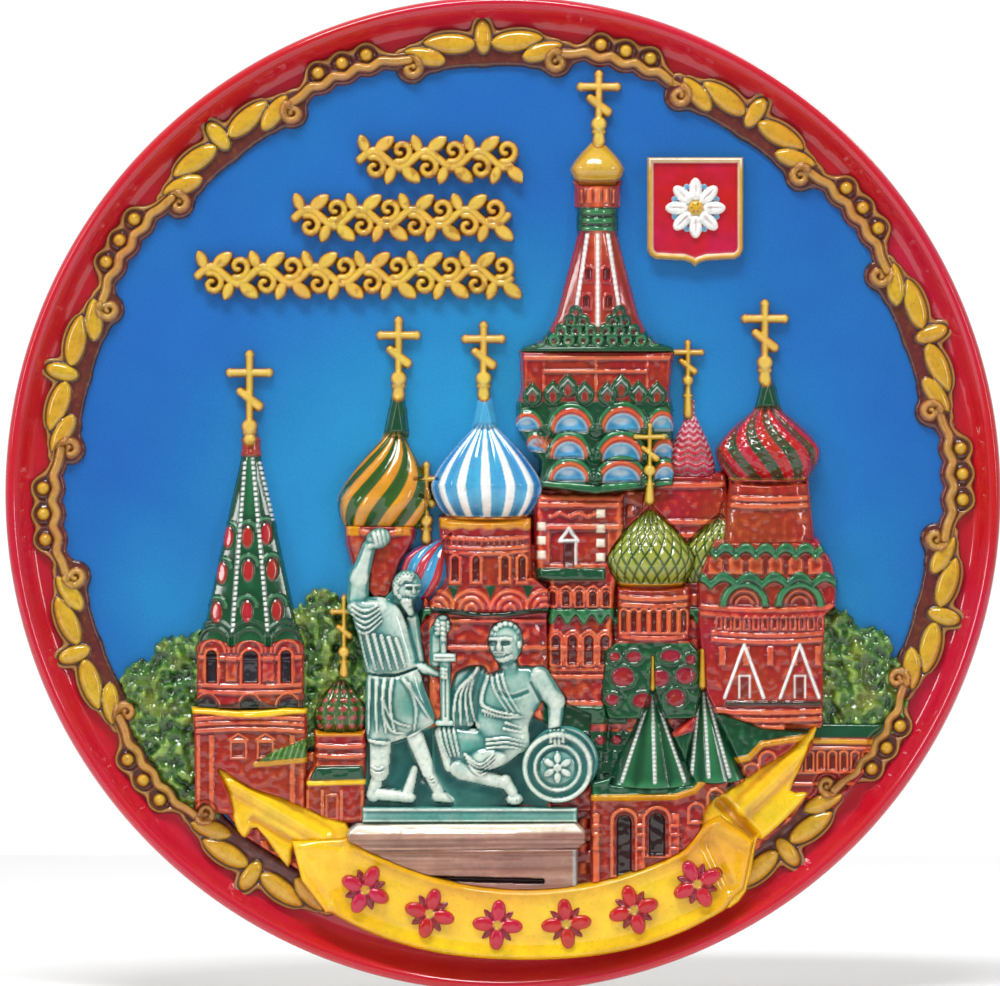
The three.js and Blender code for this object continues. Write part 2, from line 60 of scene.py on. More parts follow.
# In millimetres: where the painted field lies, how far apart the relief's grid points are, how far
# a piece stands into the dish, and radii with depths of the sloping back, which no piece passes.
FIELD_Y = -10.5
PITCH = 0.2
BURIED = 1.2
BACK_SLOPE = ((82.0, 90.0, 95.0, 98.0), (-7.2, -8.6, -9.7, -10.45))


# ---------------------------------------------------------------------------------------------
# Colours
# ---------------------------------------------------------------------------------------------


def linear(red: int, green: int, blue: int) -> tuple[float, float, float]:
    """Turn an 8-bit display colour into the linear colour that a shader takes."""

    def one(value: int) -> float:
        """Turn one channel linear."""
        share = value / 255
        return share / 12.92 if share <= 0.04045 else ((share + 0.055) / 1.055) ** 2.4

    return one(red), one(green), one(blue)


class Paint(Enum):
    """The underglaze colours on the painter's palette; some also serve as painted shade and painted
    highlights.
    """

    SKY_DEEP = linear(26, 100, 178)
    SKY_PALE = linear(36, 146, 200)
    CRIMSON = linear(190, 20, 42)
    CRIMSON_DARK = linear(140, 16, 34)
    ROSE = linear(188, 18, 54)
    BLUSH = linear(250, 208, 214)
    BRICK = linear(160, 40, 26)
    BRICK_DARK = linear(104, 26, 22)
    BRICK_PALE = linear(226, 106, 62)
    BROWN = linear(98, 40, 36)
    UMBER = linear(58, 30, 28)
    GOLD = linear(208, 161, 40)
    GOLD_DARK = linear(150, 88, 22)
    # Painted highlight on gilding.
    GOLD_PALE = linear(244, 213, 110)
    TAN = linear(192, 140, 66)
    OLIVE = linear(190, 176, 40)
    YELLOW = linear(250, 200, 16)
    YELLOW_DEEP = linear(216, 146, 8)
    ROOF = linear(12, 74, 42)
    ROOF_DARK = linear(5, 38, 22)
    ROOF_PALE = linear(52, 128, 78)
    LEAF = linear(58, 104, 34)
    LEAF_DARK = linear(20, 54, 22)
    LEAF_DEEP = linear(46, 88, 28)
    LEAF_PALE = linear(142, 176, 84)
    LIME = linear(150, 156, 34)
    LIME_DARK = linear(44, 84, 26)
    DOME_BLUE = linear(72, 168, 214)
    WHITE = linear(244, 246, 242)
    CREAM = linear(250, 238, 214)
    VERDIGRIS = linear(82, 158, 148)
    VERDIGRIS_DARK = linear(22, 98, 94)
    # Painted highlight on verdigris.
    VERDIGRIS_PALE = linear(224, 234, 220)
    STONE = linear(170, 124, 106)
    STONE_DARK = linear(112, 74, 62)
    STONE_PALE = linear(208, 172, 152)
    SLATE = linear(44, 46, 58)
    SILVER = linear(176, 180, 178)
    BACK = linear(214, 208, 194)
    BISCUIT = linear(196, 166, 134)

    @property
    def rgb(self) -> np.ndarray:
        """The colour as an array of three."""
        return np.array(self.value, np.float32)


# ---------------------------------------------------------------------------------------------
# Shapes in the plane of the picture
# ---------------------------------------------------------------------------------------------


def step(value: Grid, low: float, high: float) -> Grid:
    """Rise smoothly from 0 at low to 1 at high."""
    share = np.clip((value - low) / (high - low), 0, 1)
    return share * share * (3 - 2 * share)


def quarter_round(value: Grid) -> Grid:
    """Rise from 0 at 0 to 1 at 1 along a quarter of a circle."""
    share = np.clip(value, 0, 1)
    return np.sqrt(np.clip(1 - (1 - share) ** 2, 0, 1))


def span(points: Iterable[Point]) -> tuple[float, float, float, float]:
    """Left, right, low and high limits of some points."""
    xs, zs = zip(*points)
    return min(xs), max(xs), min(zs), max(zs)


class Shape:
    """A region of the picture, as a field of millimetres inside its edge (negative outside)."""

    def __init__(self, field_of: Callable[[Grid, Grid], Grid]) -> None:
        """Keep the function that gives the depth inside the region at x and z."""
        self.field_of = field_of

    def __call__(self, x: Grid, z: Grid) -> Grid:
        """Give the depth inside the region."""
        return self.field_of(x, z)

    def __or__(self, other: "Shape") -> "Shape":
        """Join two regions."""
        return Shape(lambda x, z: np.maximum(self(x, z), other(x, z)))

    def __and__(self, other: "Shape") -> "Shape":
        """Keep what lies in both regions."""
        return Shape(lambda x, z: np.minimum(self(x, z), other(x, z)))

    def __sub__(self, other: "Shape") -> "Shape":
        """Take another region away."""
        return Shape(lambda x, z: np.minimum(self(x, z), -other(x, z)))

    def grow(self, distance: float) -> "Shape":
        """Move the edge outwards."""
        return Shape(lambda x, z: self(x, z) + distance)

    def line(self, half_width: float) -> "Shape":
        """Keep only a line that follows the edge."""
        return Shape(lambda x, z: half_width - np.abs(self(x, z)))

    def blend(self, other: "Shape", reach: float) -> "Shape":
        """Join two regions with a soft web of the given reach between them."""

        def joined(x: Grid, z: Grid) -> Grid:
            """Give the smooth maximum of the two fields."""
            a, b = self(x, z), other(x, z)
            near = np.clip(1 - np.abs(a - b) / reach, 0, 1)
            return np.maximum(a, b) + near * near * reach / 4

        return Shape(joined)


def union(shapes: Iterable[Shape]) -> Shape:
    """Join any number of regions."""
    return reduce(Shape.__or__, shapes)


def disc(cx: float, cz: float, radius: float) -> Shape:
    """A round region."""
    return Shape(lambda x, z: radius - np.hypot(x - cx, z - cz))


def oval(cx: float, cz: float, across: float, up: float, turn: float = 0.0) -> Shape:
    """An elliptical region with its half axes, turned anticlockwise by degrees."""
    c, s = math.cos(math.radians(turn)), math.sin(math.radians(turn))

    def depth(x: Grid, z: Grid) -> Grid:
        """Give an even estimate of the distance to the ellipse."""
        u, v = (x - cx) * c + (z - cz) * s, (z - cz) * c - (x - cx) * s
        return (1 - np.sqrt((u / across) ** 2 + (v / up) ** 2)) * min(across, up)

    return Shape(depth)


def box(left: float, right: float, low: float, high: float) -> Shape:
    """An upright rectangle."""
    return Shape(lambda x, z: np.minimum(np.minimum(x - left, right - x), np.minimum(z - low, high - z)))


def above(level: float) -> Shape:
    """Everything above a level."""
    return Shape(lambda x, z: z - level + 0 * x)


def below(level: float) -> Shape:
    """Everything below a level."""
    return Shape(lambda x, z: level - z + 0 * x)


def limb(start: Point, end: Point, r0: float, r1: float | None = None) -> Shape:
    """A rounded stroke between two points, tapering from radius r0 to r1."""
    tip = r0 if r1 is None else r1
    dx, dz = end[0] - start[0], end[1] - start[1]
    length2 = max(dx * dx + dz * dz, 1e-9)

    def depth(x: Grid, z: Grid) -> Grid:
        """Give the distance inside the stroke."""
        along = np.clip(((x - start[0]) * dx + (z - start[1]) * dz) / length2, 0, 1)
        away = np.hypot(x - start[0] - along * dx, z - start[1] - along * dz)
        return r0 + (tip - r0) * along - away

    return Shape(depth)


def chain(points: Sequence[Point], r0: float, r1: float | None = None) -> Shape:
    """A rounded stroke through several points, with its radius going from r0 to r1."""
    tip = r0 if r1 is None else r1
    count = len(points) - 1

    def depth(x: Grid, z: Grid) -> Grid:
        """Give the greatest depth over the strokes."""
        best = None
        for i in range(count):
            a, b = r0 + (tip - r0) * i / count, r0 + (tip - r0) * (i + 1) / count
            one = limb(points[i], points[i + 1], a, b)(x, z)
            best = one if best is None else np.maximum(best, one)
        return best

    return Shape(depth)


def polygon(points: Sequence[Point]) -> Shape:
    """A region with straight sides, as an exact signed distance."""

    def depth(x: Grid, z: Grid) -> Grid:
        """Give the distance to the nearest side, positive inside."""
        best = np.full(x.shape, 1e9, np.float32)
        inside = np.zeros(x.shape, bool)
        for (x0, z0), (x1, z1) in zip(points, [*points[1:], points[0]]):
            dx, dz = x1 - x0, z1 - z0
            along = np.clip(((x - x0) * dx + (z - z0) * dz) / (dx * dx + dz * dz), 0, 1)
            best = np.minimum(best, np.hypot(x - x0 - along * dx, z - z0 - along * dz))
            if dz:
                crossing = (z0 > z) != (z1 > z)
                inside ^= crossing & (x < x0 + (z - z0) * dx / dz)
        return np.where(inside, best, -best)

    return Shape(depth)


def curved(points: Sequence[Point]) -> Shape:
    """A region with a smooth closed outline through the points."""
    return polygon(smooth_path(points, closed=True))


def smooth_path(points: Sequence[Point], per_side: int = 6, closed: bool = False) -> list[Point]:
    """Run a smooth curve through the points.

    Args:
        points: The points in order.
        per_side: How many steps each side is cut into.
        closed: Whether the last point leads back to the first.

    Returns:
        The points along the curve.
    """
    p = np.array(points, float)
    n = len(p)
    made: list[Point] = []
    for i in range(n if closed else n - 1):
        if closed:
            a, b, c, d = p[(i - 1) % n], p[i], p[(i + 1) % n], p[(i + 2) % n]
        else:
            a, b, c, d = p[max(i - 1, 0)], p[i], p[i + 1], p[min(i + 2, n - 1)]
        for k in range(per_side):
            t = k / per_side
            at = 0.5 * (2 * b + (c - a) * t + (2 * a - 5 * b + 4 * c - d) * t * t
                        + (3 * b - a - 3 * c + d) * t ** 3)
            made.append((float(at[0]), float(at[1])))
    if not closed:
        made.append((float(p[-1][0]), float(p[-1][1])))
    return made


def arch(cx: float, foot: float, half: float, top: float) -> Shape:
    """A round-headed opening standing on a level foot."""
    return box(cx - half, cx + half, foot, top - half) | disc(cx, top - half, half)


def polar(radius: float, angle: float, cx: float = 0.0, cz: float = 0.0) -> Point:
    """The point at a radius and an angle in degrees."""
    turn = math.radians(angle)
    return cx + radius * math.cos(turn), cz + radius * math.sin(turn)


def leaf(cx: float, cz: float, length: float, width: float, turn: float) -> Shape:
    """A leaf with a round heel and a pointed tip, lying along the angle."""
    c, s = math.cos(math.radians(turn)), math.sin(math.radians(turn))

    def depth(x: Grid, z: Grid) -> Grid:
        """Give the depth inside the two arcs of the leaf."""
        u = ((x - cx) * c + (z - cz) * s) / length + 0.5
        v = np.abs((z - cz) * c - (x - cx) * s)
        edge = width * 1.15 * np.sqrt(np.clip(u, 0, 1)) * np.clip(1 - u, 0, 1) ** 0.62
        ends = np.minimum(u, 1 - u) * length
        return np.where(ends < 0, ends - v, np.minimum(edge - v, ends + 0.25 * width))

    return Shape(depth)


# ---------------------------------------------------------------------------------------------
# Clay: a patch of relief with its height and its paint
# ---------------------------------------------------------------------------------------------


def blurred(values: Grid, cells: int) -> Grid:
    """Average a grid over a square window, twice, for a soft result."""
    out = values.astype(np.float32)
    for _ in range(2):
        for axis in (0, 1):
            pad = [(0, 0), (0, 0)]
            pad[axis] = (cells + 1, cells)
            total = np.cumsum(np.pad(out, pad, mode="edge"), axis=axis, dtype=np.float64)
            size = out.shape[axis]
            high = np.take(total, range(2 * cells + 1, 2 * cells + 1 + size), axis=axis)
            low = np.take(total, range(0, size), axis=axis)
            out = ((high - low) / (2 * cells + 1)).astype(np.float32)
    return out


class Clay:
    """A patch of modelling clay over a rectangle of the picture."""

    def __init__(self, shape: Shape, frame_mm: tuple[float, float, float, float], seed: int) -> None:
        """Lay out the grid.

        Args:
            shape: The piece's outline.
            frame_mm: Left, right, low and high limits of the patch.
            seed: What the patch's own random marks start from.
        """
        left, right, low, high = frame_mm
        xs = np.arange(math.floor((left - 1) / PITCH), math.ceil((right + 1) / PITCH) + 1) * PITCH
        zs = np.arange(math.floor((low - 1) / PITCH), math.ceil((high + 1) / PITCH) + 1) * PITCH
        self.x, self.z = np.meshgrid(xs.astype(np.float32), zs.astype(np.float32))
        self.out = shape(self.x, self.z).astype(np.float32)
        self.h = np.zeros_like(self.out)
        self.rgb = np.zeros((*self.out.shape, 3), np.float32)
        self.rng = np.random.default_rng(seed)

    def noise(self, size_mm: float) -> Grid:
        """Make soft random marks of about the given size, with a spread of one."""
        cells = max(1, round(size_mm / PITCH / 2))
        raw = blurred(self.rng.normal(size=self.out.shape), cells)
        return raw / max(float(raw.std()), 1e-6)

    def pillow(self, height: float, edge: float, wall: float = 0.45) -> "Clay":
        """Raise the whole piece with a steep wall and a rounded shoulder.

        Args:
            height: Height of the middle above the dish.
            edge: How far in from the outline the shoulder ends.
            wall: The share of the height that the wall takes.
        """
        shoulder = quarter_round(self.out / edge)
        self.h = height * ((1 - wall) * shoulder + wall * step(self.out, -0.3, 0.3))
        return self

    def turned(self, centre: Grid | float, half: Grid | float, height: float, wall: float = 0.3) -> "Clay":
        """Raise the piece as a body turned on an upright axis and pressed flatter.

        Args:
            centre: Where the axis stands at each height.
            half: The half width at each height.
            height: How far the middle stands off the dish.
            wall: The share of the height that the edge's wall takes.
        """
        across = np.clip((self.x - centre) / np.maximum(half, 0.05), -1, 1)
        size = np.minimum(1, np.maximum(half, 0) / (height * 0.9))
        crown = np.sqrt(np.clip(1 - across ** 2, 0, 1)) * size
        self.h = height * ((1 - wall) * crown + wall * size * step(self.out, -0.3, 0.4))
        return self

    def raise_by(self, shape: Shape, amount: float, soft: float = 0.4) -> "Clay":
        """Lift (or, with a negative amount, sink) the clay inside a region."""
        self.h = self.h + amount * step(shape(self.x, self.z), -soft / 2, soft / 2)
        return self

    def bead(self, shape: Shape, amount: float, reach: float) -> "Clay":
        """Add a rounded swelling inside a region, full at the given depth from its edge."""
        self.h = self.h + amount * quarter_round(shape(self.x, self.z) / reach)
        return self

    def dab(self, shape: Shape | None, paint: Paint, soft: float = 0.3, strength: float = 1.0) -> "Clay":
        """Paint a region, or everything."""
        cover = np.ones_like(self.out) if shape is None else step(shape(self.x, self.z), -soft / 2, soft / 2)
        cover = (cover * strength)[..., None]
        self.rgb = self.rgb * (1 - cover) + paint.rgb * cover
        return self

    def lay(self, shape: Shape, amount: float, reach: float, paint: Paint, soft: float = 0.3,
            strength: float = 1.0) -> "Clay":
        """Add a rounded swelling and paint it."""
        return self.bead(shape, amount, reach).dab(shape, paint, soft, strength)

    def tint(self, cover: Grid, paint: Paint) -> "Clay":
        """Paint by a grid of strengths."""
        share = np.clip(cover, 0, 1)[..., None]
        self.rgb = self.rgb * (1 - share) + paint.rgb * share
        return self

    def wash_with_painted_light(self, dark: Paint, pale: Paint, reach: float = 0.7, sink: float = 0.9, lift: float = 0.8,
             within: Shape | None = None) -> "Clay":
        """Paint shade with pooled colour into the hollows, and a painted highlight with worn-pale paint onto
        the high spots.

        Args:
            dark: Colour of the painted shade and pooled colour in the hollows.
            pale: Colour of the painted highlight and worn paint on the high spots.
            reach: Size of the marks that count, in millimetres.
            sink: Strength in the hollows for each tenth of a millimetre.
            lift: Strength on the high spots for each tenth of a millimetre.
            within: The region to paint, or everything.
        """
        inside = 1.0 if within is None else step(within(self.x, self.z), -0.1, 0.2)
        cells = max(1, round(reach / PITCH))
        share = step(self.out, 0.1, 0.5) + 0.001
        around = blurred(self.h * share, cells) / blurred(share, cells)
        relief = (self.h - around) * 10 * inside
        away = step(self.out, 0.1, 0.7)
        # Painted shade in the hollows, then a painted highlight on the high spots.
        self.tint(np.clip(-relief * sink, 0, 0.8) * step(self.out, 0.3, 1.2), dark)
        self.tint(np.clip((relief - 0.15) * lift, 0, 0.85) * away, pale)
        return self

    def give_way(self, front: Shape) -> "Clay":
        """Sink towards a piece that stands in front, and end underneath it."""
        over = front(self.x, self.z)
        self.h = self.h * (0.55 + 0.45 * step(-over, -0.95, -0.15))
        self.out = np.minimum(self.out, 1.2 - over)
        return self

    def mesh(self, name: str) -> bpy.types.Object:
        """Close the clay into a solid that stands a little way into the dish.

        Args:
            name: Name of the new object.

        Returns:
            The object, linked to the scene.
        """
        keep = self.out > -0.42
        cells = keep[:-1, :-1] & keep[1:, :-1] & keep[:-1, 1:] & keep[1:, 1:]
        used = np.zeros_like(keep)
        for rows in (slice(0, -1), slice(1, None)):
            for columns in (slice(0, -1), slice(1, None)):
                used[rows, columns] |= cells
        number = np.full(keep.shape, -1, np.int64)
        count = int(used.sum())
        number[used] = np.arange(count)
        drop = 0.6 * step(-self.out, -0.15, 0.42)
        front_y = FIELD_Y - np.maximum(self.h, -0.3) + drop
        x, z = self.x[used], self.z[used]
        skin = np.interp(np.hypot(x, z), *BACK_SLOPE)
        back_y = np.minimum(FIELD_Y + BURIED, skin - 0.4)
        front = np.stack([x, np.minimum(front_y[used], back_y - 0.03), z], 1)
        back = np.stack([x, back_y, z], 1)
        a, b = number[:-1, :-1][cells], number[:-1, 1:][cells]
        c, d = number[1:, 1:][cells], number[1:, :-1][cells]
        faces = [np.stack([a, b, c, d], 1), np.stack([a, d, c, b], 1) + count]
        padded = np.pad(cells, 1)
        middle = padded[1:-1, 1:-1]
        rims = (
            (middle & ~padded[:-2, 1:-1], number[:-1, :-1], number[:-1, 1:]),
            (middle & ~padded[2:, 1:-1], number[1:, 1:], number[1:, :-1]),
            (middle & ~padded[1:-1, :-2], number[1:, :-1], number[:-1, :-1]),
            (middle & ~padded[1:-1, 2:], number[:-1, 1:], number[1:, 1:]),
        )
        for where, start, end in rims:
            s, e = start[where], end[where]
            faces.append(np.stack([s, s + count, e + count, e], 1))
        rgb = self.rgb[used]
        return solid(name, np.concatenate([front, back]) * MM, np.concatenate(faces),
                     np.concatenate([rgb, rgb]))


def solid(name: str, points: Grid, quads: Grid, rgb: Grid | None = None) -> bpy.types.Object:
    """Make a smooth-shaded mesh object from arrays.

    Args:
        name: Name of the object.
        points: One row per vertex, in metres.
        quads: One row of four vertex numbers per face.
        rgb: One linear colour per vertex, kept as the attribute "paint".

    Returns:
        The object, linked to the scene.
    """
    mesh = bpy.data.meshes.new(name)
    mesh.vertices.add(len(points))
    mesh.vertices.foreach_set("co", points.astype(np.float32).ravel())
    mesh.loops.add(quads.size)
    mesh.loops.foreach_set("vertex_index", quads.astype(np.int32).ravel())
    mesh.polygons.add(len(quads))
    mesh.polygons.foreach_set("loop_start", np.arange(0, quads.size, 4, dtype=np.int32))
    mesh.polygons.foreach_set("loop_total", np.full(len(quads), 4, np.int32))
    mesh.update(calc_edges=True)
    mesh.polygons.foreach_set("use_smooth", np.ones(len(quads), bool))
    if rgb is not None:
        layer = mesh.color_attributes.new("paint", "FLOAT_COLOR", "POINT")
        full = np.concatenate([rgb, np.ones((len(rgb), 1), np.float32)], 1)
        layer.data.foreach_set("color", full.astype(np.float32).ravel())
    mesh.validate()
    made = bpy.data.objects.new(name, mesh)
    bpy.context.scene.collection.objects.link(made)
    return made


# ---------------------------------------------------------------------------------------------
# Finishes
# ---------------------------------------------------------------------------------------------


class Nodes:
    """A short way to wire a material's nodes."""

    def __init__(self, name: str) -> None:
        """Start a material with an empty Principled shader.

        Args:
            name: Name of the material.
        """
        self.material = bpy.data.materials.new(name)
        self.material.use_nodes = True
        self.tree = self.material.node_tree
        self.shader = self.tree.nodes["Principled BSDF"]
        self.place = self.add("ShaderNodeTexCoord").outputs["Object"]

    def add(self, kind: str, **settings: object) -> bpy.types.Node:
        """Add a node and set its properties."""
        node = self.tree.nodes.new(kind)
        for key, value in settings.items():
            setattr(node, key, value)
        return node

    def join(self, source: bpy.types.NodeSocket, target: bpy.types.NodeSocket) -> None:
        """Link two sockets."""
        self.tree.links.new(source, target)

    def noise(self, scale: float, detail: float = 3.0, roughness: float = 0.55) -> bpy.types.NodeSocket:
        """Add a noise field over the object and give its output."""
        node = self.add("ShaderNodeTexNoise")
        node.inputs["Scale"].default_value = scale
        node.inputs["Detail"].default_value = detail
        node.inputs["Roughness"].default_value = roughness
        self.join(self.place, node.inputs["Vector"])
        return node.outputs["Fac"]

    def spread(self, source: bpy.types.NodeSocket, low: float, high: float,
               start: float = 0.3, end: float = 0.7) -> bpy.types.NodeSocket:
        """Map a field's range from start and end to low and high."""
        node = self.add("ShaderNodeMapRange")
        for key, value in (("From Min", start), ("From Max", end), ("To Min", low), ("To Max", high)):
            node.inputs[key].default_value = value
        self.join(source, node.inputs["Value"])
        return node.outputs["Result"]

    def mixed(self, share: bpy.types.NodeSocket, first: bpy.types.NodeSocket | tuple,
              second: bpy.types.NodeSocket | tuple, blend: str = "MIX") -> bpy.types.NodeSocket:
        """Mix two colours by a field and give the result."""
        node = self.add("ShaderNodeMix", data_type="RGBA", blend_type=blend)
        self.join(share, node.inputs[0])
        for socket, value in ((node.inputs[6], first), (node.inputs[7], second)):
            if isinstance(value, tuple):
                socket.default_value = (*value, 1.0)
            else:
                self.join(value, socket)
        return node.outputs[2]

    def bump(self, height: bpy.types.NodeSocket, distance: float, strength: float) -> None:
        """Put a height field onto the shader's normal."""
        node = self.add("ShaderNodeBump")
        node.inputs["Distance"].default_value = distance
        node.inputs["Strength"].default_value = strength
        self.join(height, node.inputs["Height"])
        self.join(node.outputs["Normal"], self.shader.inputs["Normal"])


@dataclass(frozen=True)
class PaintedGlaze:
    """Underglaze paint under a thick clear glaze, with the painter's brush marks in it."""

    name: str = "painted_glaze"
    stroke_scale: float = 260.0
    speck_scale: float = 1500.0
    roughness: float = 0.12
    coat: float = 0.45
    ripple: float = 0.00012

    def make(self) -> bpy.types.Material:
        """Build the material from the vertex paint, brush marks, specks and glaze ripple."""
        n = Nodes(self.name)
        paint = n.add("ShaderNodeAttribute", attribute_name="paint").outputs["Color"]
        value = n.spread(n.noise(self.stroke_scale, 4.0, 0.65), 0.86, 1.12)
        hue = n.add("ShaderNodeHueSaturation")
        n.join(value, hue.inputs["Value"])
        n.join(n.spread(n.noise(90.0, 2.0), 0.488, 0.512), hue.inputs["Hue"])
        n.join(paint, hue.inputs["Color"])
        speck = n.spread(n.noise(self.speck_scale, 2.0), 0.0, 0.22, 0.6, 0.75)
        n.join(n.mixed(speck, hue.outputs["Color"], Paint.UMBER.value), n.shader.inputs["Base Color"])
        n.join(n.spread(n.noise(400.0), self.roughness * 0.7, self.roughness * 1.5),
               n.shader.inputs["Roughness"])
        n.shader.inputs["Coat Weight"].default_value = self.coat
        n.shader.inputs["Coat Roughness"].default_value = 0.04
        n.bump(n.noise(520.0, 2.0), self.ripple, 0.35)
        return n.material


@dataclass(frozen=True)
class DishGlaze:
    """The dish's own glaze: airbrushed sky in the field, brushed crimson flange, pale back."""

    name: str = "dish_glaze"
    roughness: float = 0.11

    def make(self) -> bpy.types.Material:
        """Build the material from the vertex paint with soft spray grain and brush streaks."""
        n = Nodes(self.name)
        paint = n.add("ShaderNodeAttribute", attribute_name="paint").outputs["Color"]
        grain = n.spread(n.noise(2200.0, 2.0), 0.93, 1.08)
        hue = n.add("ShaderNodeHueSaturation")
        n.join(grain, hue.inputs["Value"])
        n.join(n.spread(n.noise(30.0, 3.0), 0.495, 0.505), hue.inputs["Hue"])
        n.join(paint, hue.inputs["Color"])
        cloud = n.spread(n.noise(24.0, 3.0, 0.6), 0.0, 0.22)
        pale = n.mixed(cloud, hue.outputs["Color"], (1.0, 1.0, 1.0), "SOFT_LIGHT")
        n.join(pale, n.shader.inputs["Base Color"])
        n.join(n.spread(n.noise(60.0), self.roughness * 0.8, self.roughness * 1.4),
               n.shader.inputs["Roughness"])
        n.shader.inputs["Coat Weight"].default_value = 0.35
        n.shader.inputs["Coat Roughness"].default_value = 0.05
        n.bump(n.noise(70.0, 2.0), 0.0006, 0.12)
        return n.material


@dataclass(frozen=True)
class DrawnWire:
    """Drawn steel wire with lengthwise die marks and a little dulling."""

    name: str = "drawn_steel_wire"
    colour: tuple[float, float, float] = (0.52, 0.53, 0.55)

    def make(self) -> bpy.types.Material:
        """Build the material from fine scratches over dulled metal."""
        n = Nodes(self.name)
        dull = n.spread(n.noise(600.0, 4.0), 0.0, 0.5, 0.45, 0.7)
        n.join(n.mixed(dull, self.colour, (0.2, 0.19, 0.18)), n.shader.inputs["Base Color"])
        n.shader.inputs["Metallic"].default_value = 1.0
        n.join(n.spread(n.noise(1800.0, 2.0), 0.2, 0.42), n.shader.inputs["Roughness"])
        n.bump(n.noise(3000.0, 2.0), 0.00004, 0.4)
        return n.material


@dataclass(frozen=True)
class StudioFloor:
    """Matt pale paper with a faint mottle."""

    name: str = "studio_floor"

    def make(self) -> bpy.types.Material:
        """Build the material."""
        n = Nodes(self.name)
        n.join(n.mixed(n.noise(6.0), (0.93, 0.93, 0.94), (0.97, 0.97, 0.97)),
               n.shader.inputs["Base Color"])
        n.shader.inputs["Roughness"].default_value = 0.7
        return n.material


def dress(piece: bpy.types.Object, material: bpy.types.Material) -> None:
    """Give a piece its only material."""
    piece.data.materials.clear()
    piece.data.materials.append(material)


# ---------------------------------------------------------------------------------------------
# Relief pieces
# ---------------------------------------------------------------------------------------------


class Relief:
    """One piece of the picture: an outline, and a way to model and paint the clay inside it."""

    name: str
    slot: str
    extent: tuple[float, float, float, float] = (0.0, 0.0, 0.0, 0.0)

    def limits(self) -> tuple[float, float, float, float]:
        """Left, right, low and high limits of the piece, in millimetres."""
        return self.extent

    def outline(self) -> Shape:
        """The piece's outline."""
        raise NotImplementedError

    def model(self, clay: Clay) -> None:
        """Give the clay its height and its paint."""
        raise NotImplementedError

    def build(self, fronts: Iterable["Relief"], seed: int) -> bpy.types.Object:
        """Model the piece and let the pieces in front of it cover it.

        Args:
            fronts: The pieces that stand in front.
            seed: What the piece's own random marks start from.

        Returns:
            The finished mesh object.
        """
        clay = Clay(self.outline(), self.limits(), seed)
        self.model(clay)
        left, right, low, high = self.limits()
        for other in fronts:
            a, b, c, d = other.limits()
            if a < right + 1 and b > left - 1 and c < high + 1 and d > low - 1:
                clay.give_way(other.outline())
        return clay.mesh(f"{self.name}_glazed")


class Pattern(Enum):
    """How a dome's skin is worked and painted."""

    SMOOTH = "smooth"
    RIBS = "ribs"
    SCALES = "scales"
    STUDS = "studs"
    SPOTS = "spots"
    WAVES = "waves"


@dataclass
class Finial:
    """The gilded post on a dome: neck, ball, upright, arm and slanting foot bar."""

    x: float
    foot: float
    ball: float
    top: float
    arm: float
    bar: float = 0.85
    slant: float = 0.46
    lean: float = 0.0
    lift: float = 1.7

    def parts(self) -> list[Shape]:
        """The finial's separate strokes."""
        height = self.top - self.ball
        lean = self.lean

        def at(z: float) -> float:
            """Where the upright stands at a height."""
            return self.x + lean * (z - self.foot)

        arm_z, slant_z = self.ball + 0.74 * height, self.ball + 0.38 * height
        reach, drop = self.arm * self.slant, self.arm * self.slant * 0.8
        b = self.bar
        ring_z = self.foot + 0.55 * (self.ball - self.foot)
        return [
            limb((at(self.foot), self.foot), (at(self.ball), self.ball), b * 1.5, b * 0.9),
            limb((at(self.ball), self.ball), (at(self.top), self.top), b * 0.85, b * 0.95),
            limb((at(arm_z) - self.arm, arm_z), (at(arm_z) + self.arm, arm_z), b * 0.95),
            disc(at(arm_z) - self.arm + 0.1, arm_z, b * 1.08),
            disc(at(arm_z) + self.arm - 0.1, arm_z, b * 1.08),
            disc(at(self.top), self.top - 0.2, b * 1.08),
            limb((at(slant_z) - reach, slant_z + drop), (at(slant_z) + reach, slant_z - drop), b, b * 1.2),
            disc(at(self.ball), self.ball, b * 1.9),
            limb((at(self.foot) - b, ring_z), (at(self.foot) + b, ring_z), b * 0.7),
        ]

    def outline(self) -> Shape:
        """All the strokes joined."""
        return union(self.parts())

    def model(self, clay: Clay) -> None:
        """Raise the finial over whatever is there and gild it, with painted shade at its edges and a painted
        highlight down its middle.
        """
        whole = self.outline()
        depth = whole(clay.x, clay.z)
        lift = self.lift * (0.4 * step(depth, -0.3, 0.2) + 0.6 * quarter_round(depth / 0.8))
        clay.h = np.maximum(clay.h, lift)
        clay.bead(disc(self.x + self.lean * (self.ball - self.foot), self.ball, self.bar * 1.9), 0.6, 1.2)
        # Painted shade at the edges, gold inside, then a painted highlight down the middle.
        clay.dab(whole.grow(0.25), Paint.GOLD_DARK)
        clay.dab(whole.grow(-0.12), Paint.GOLD, 0.35)
        clay.dab(whole.grow(-0.5), Paint.GOLD_PALE, 0.4, 0.5)


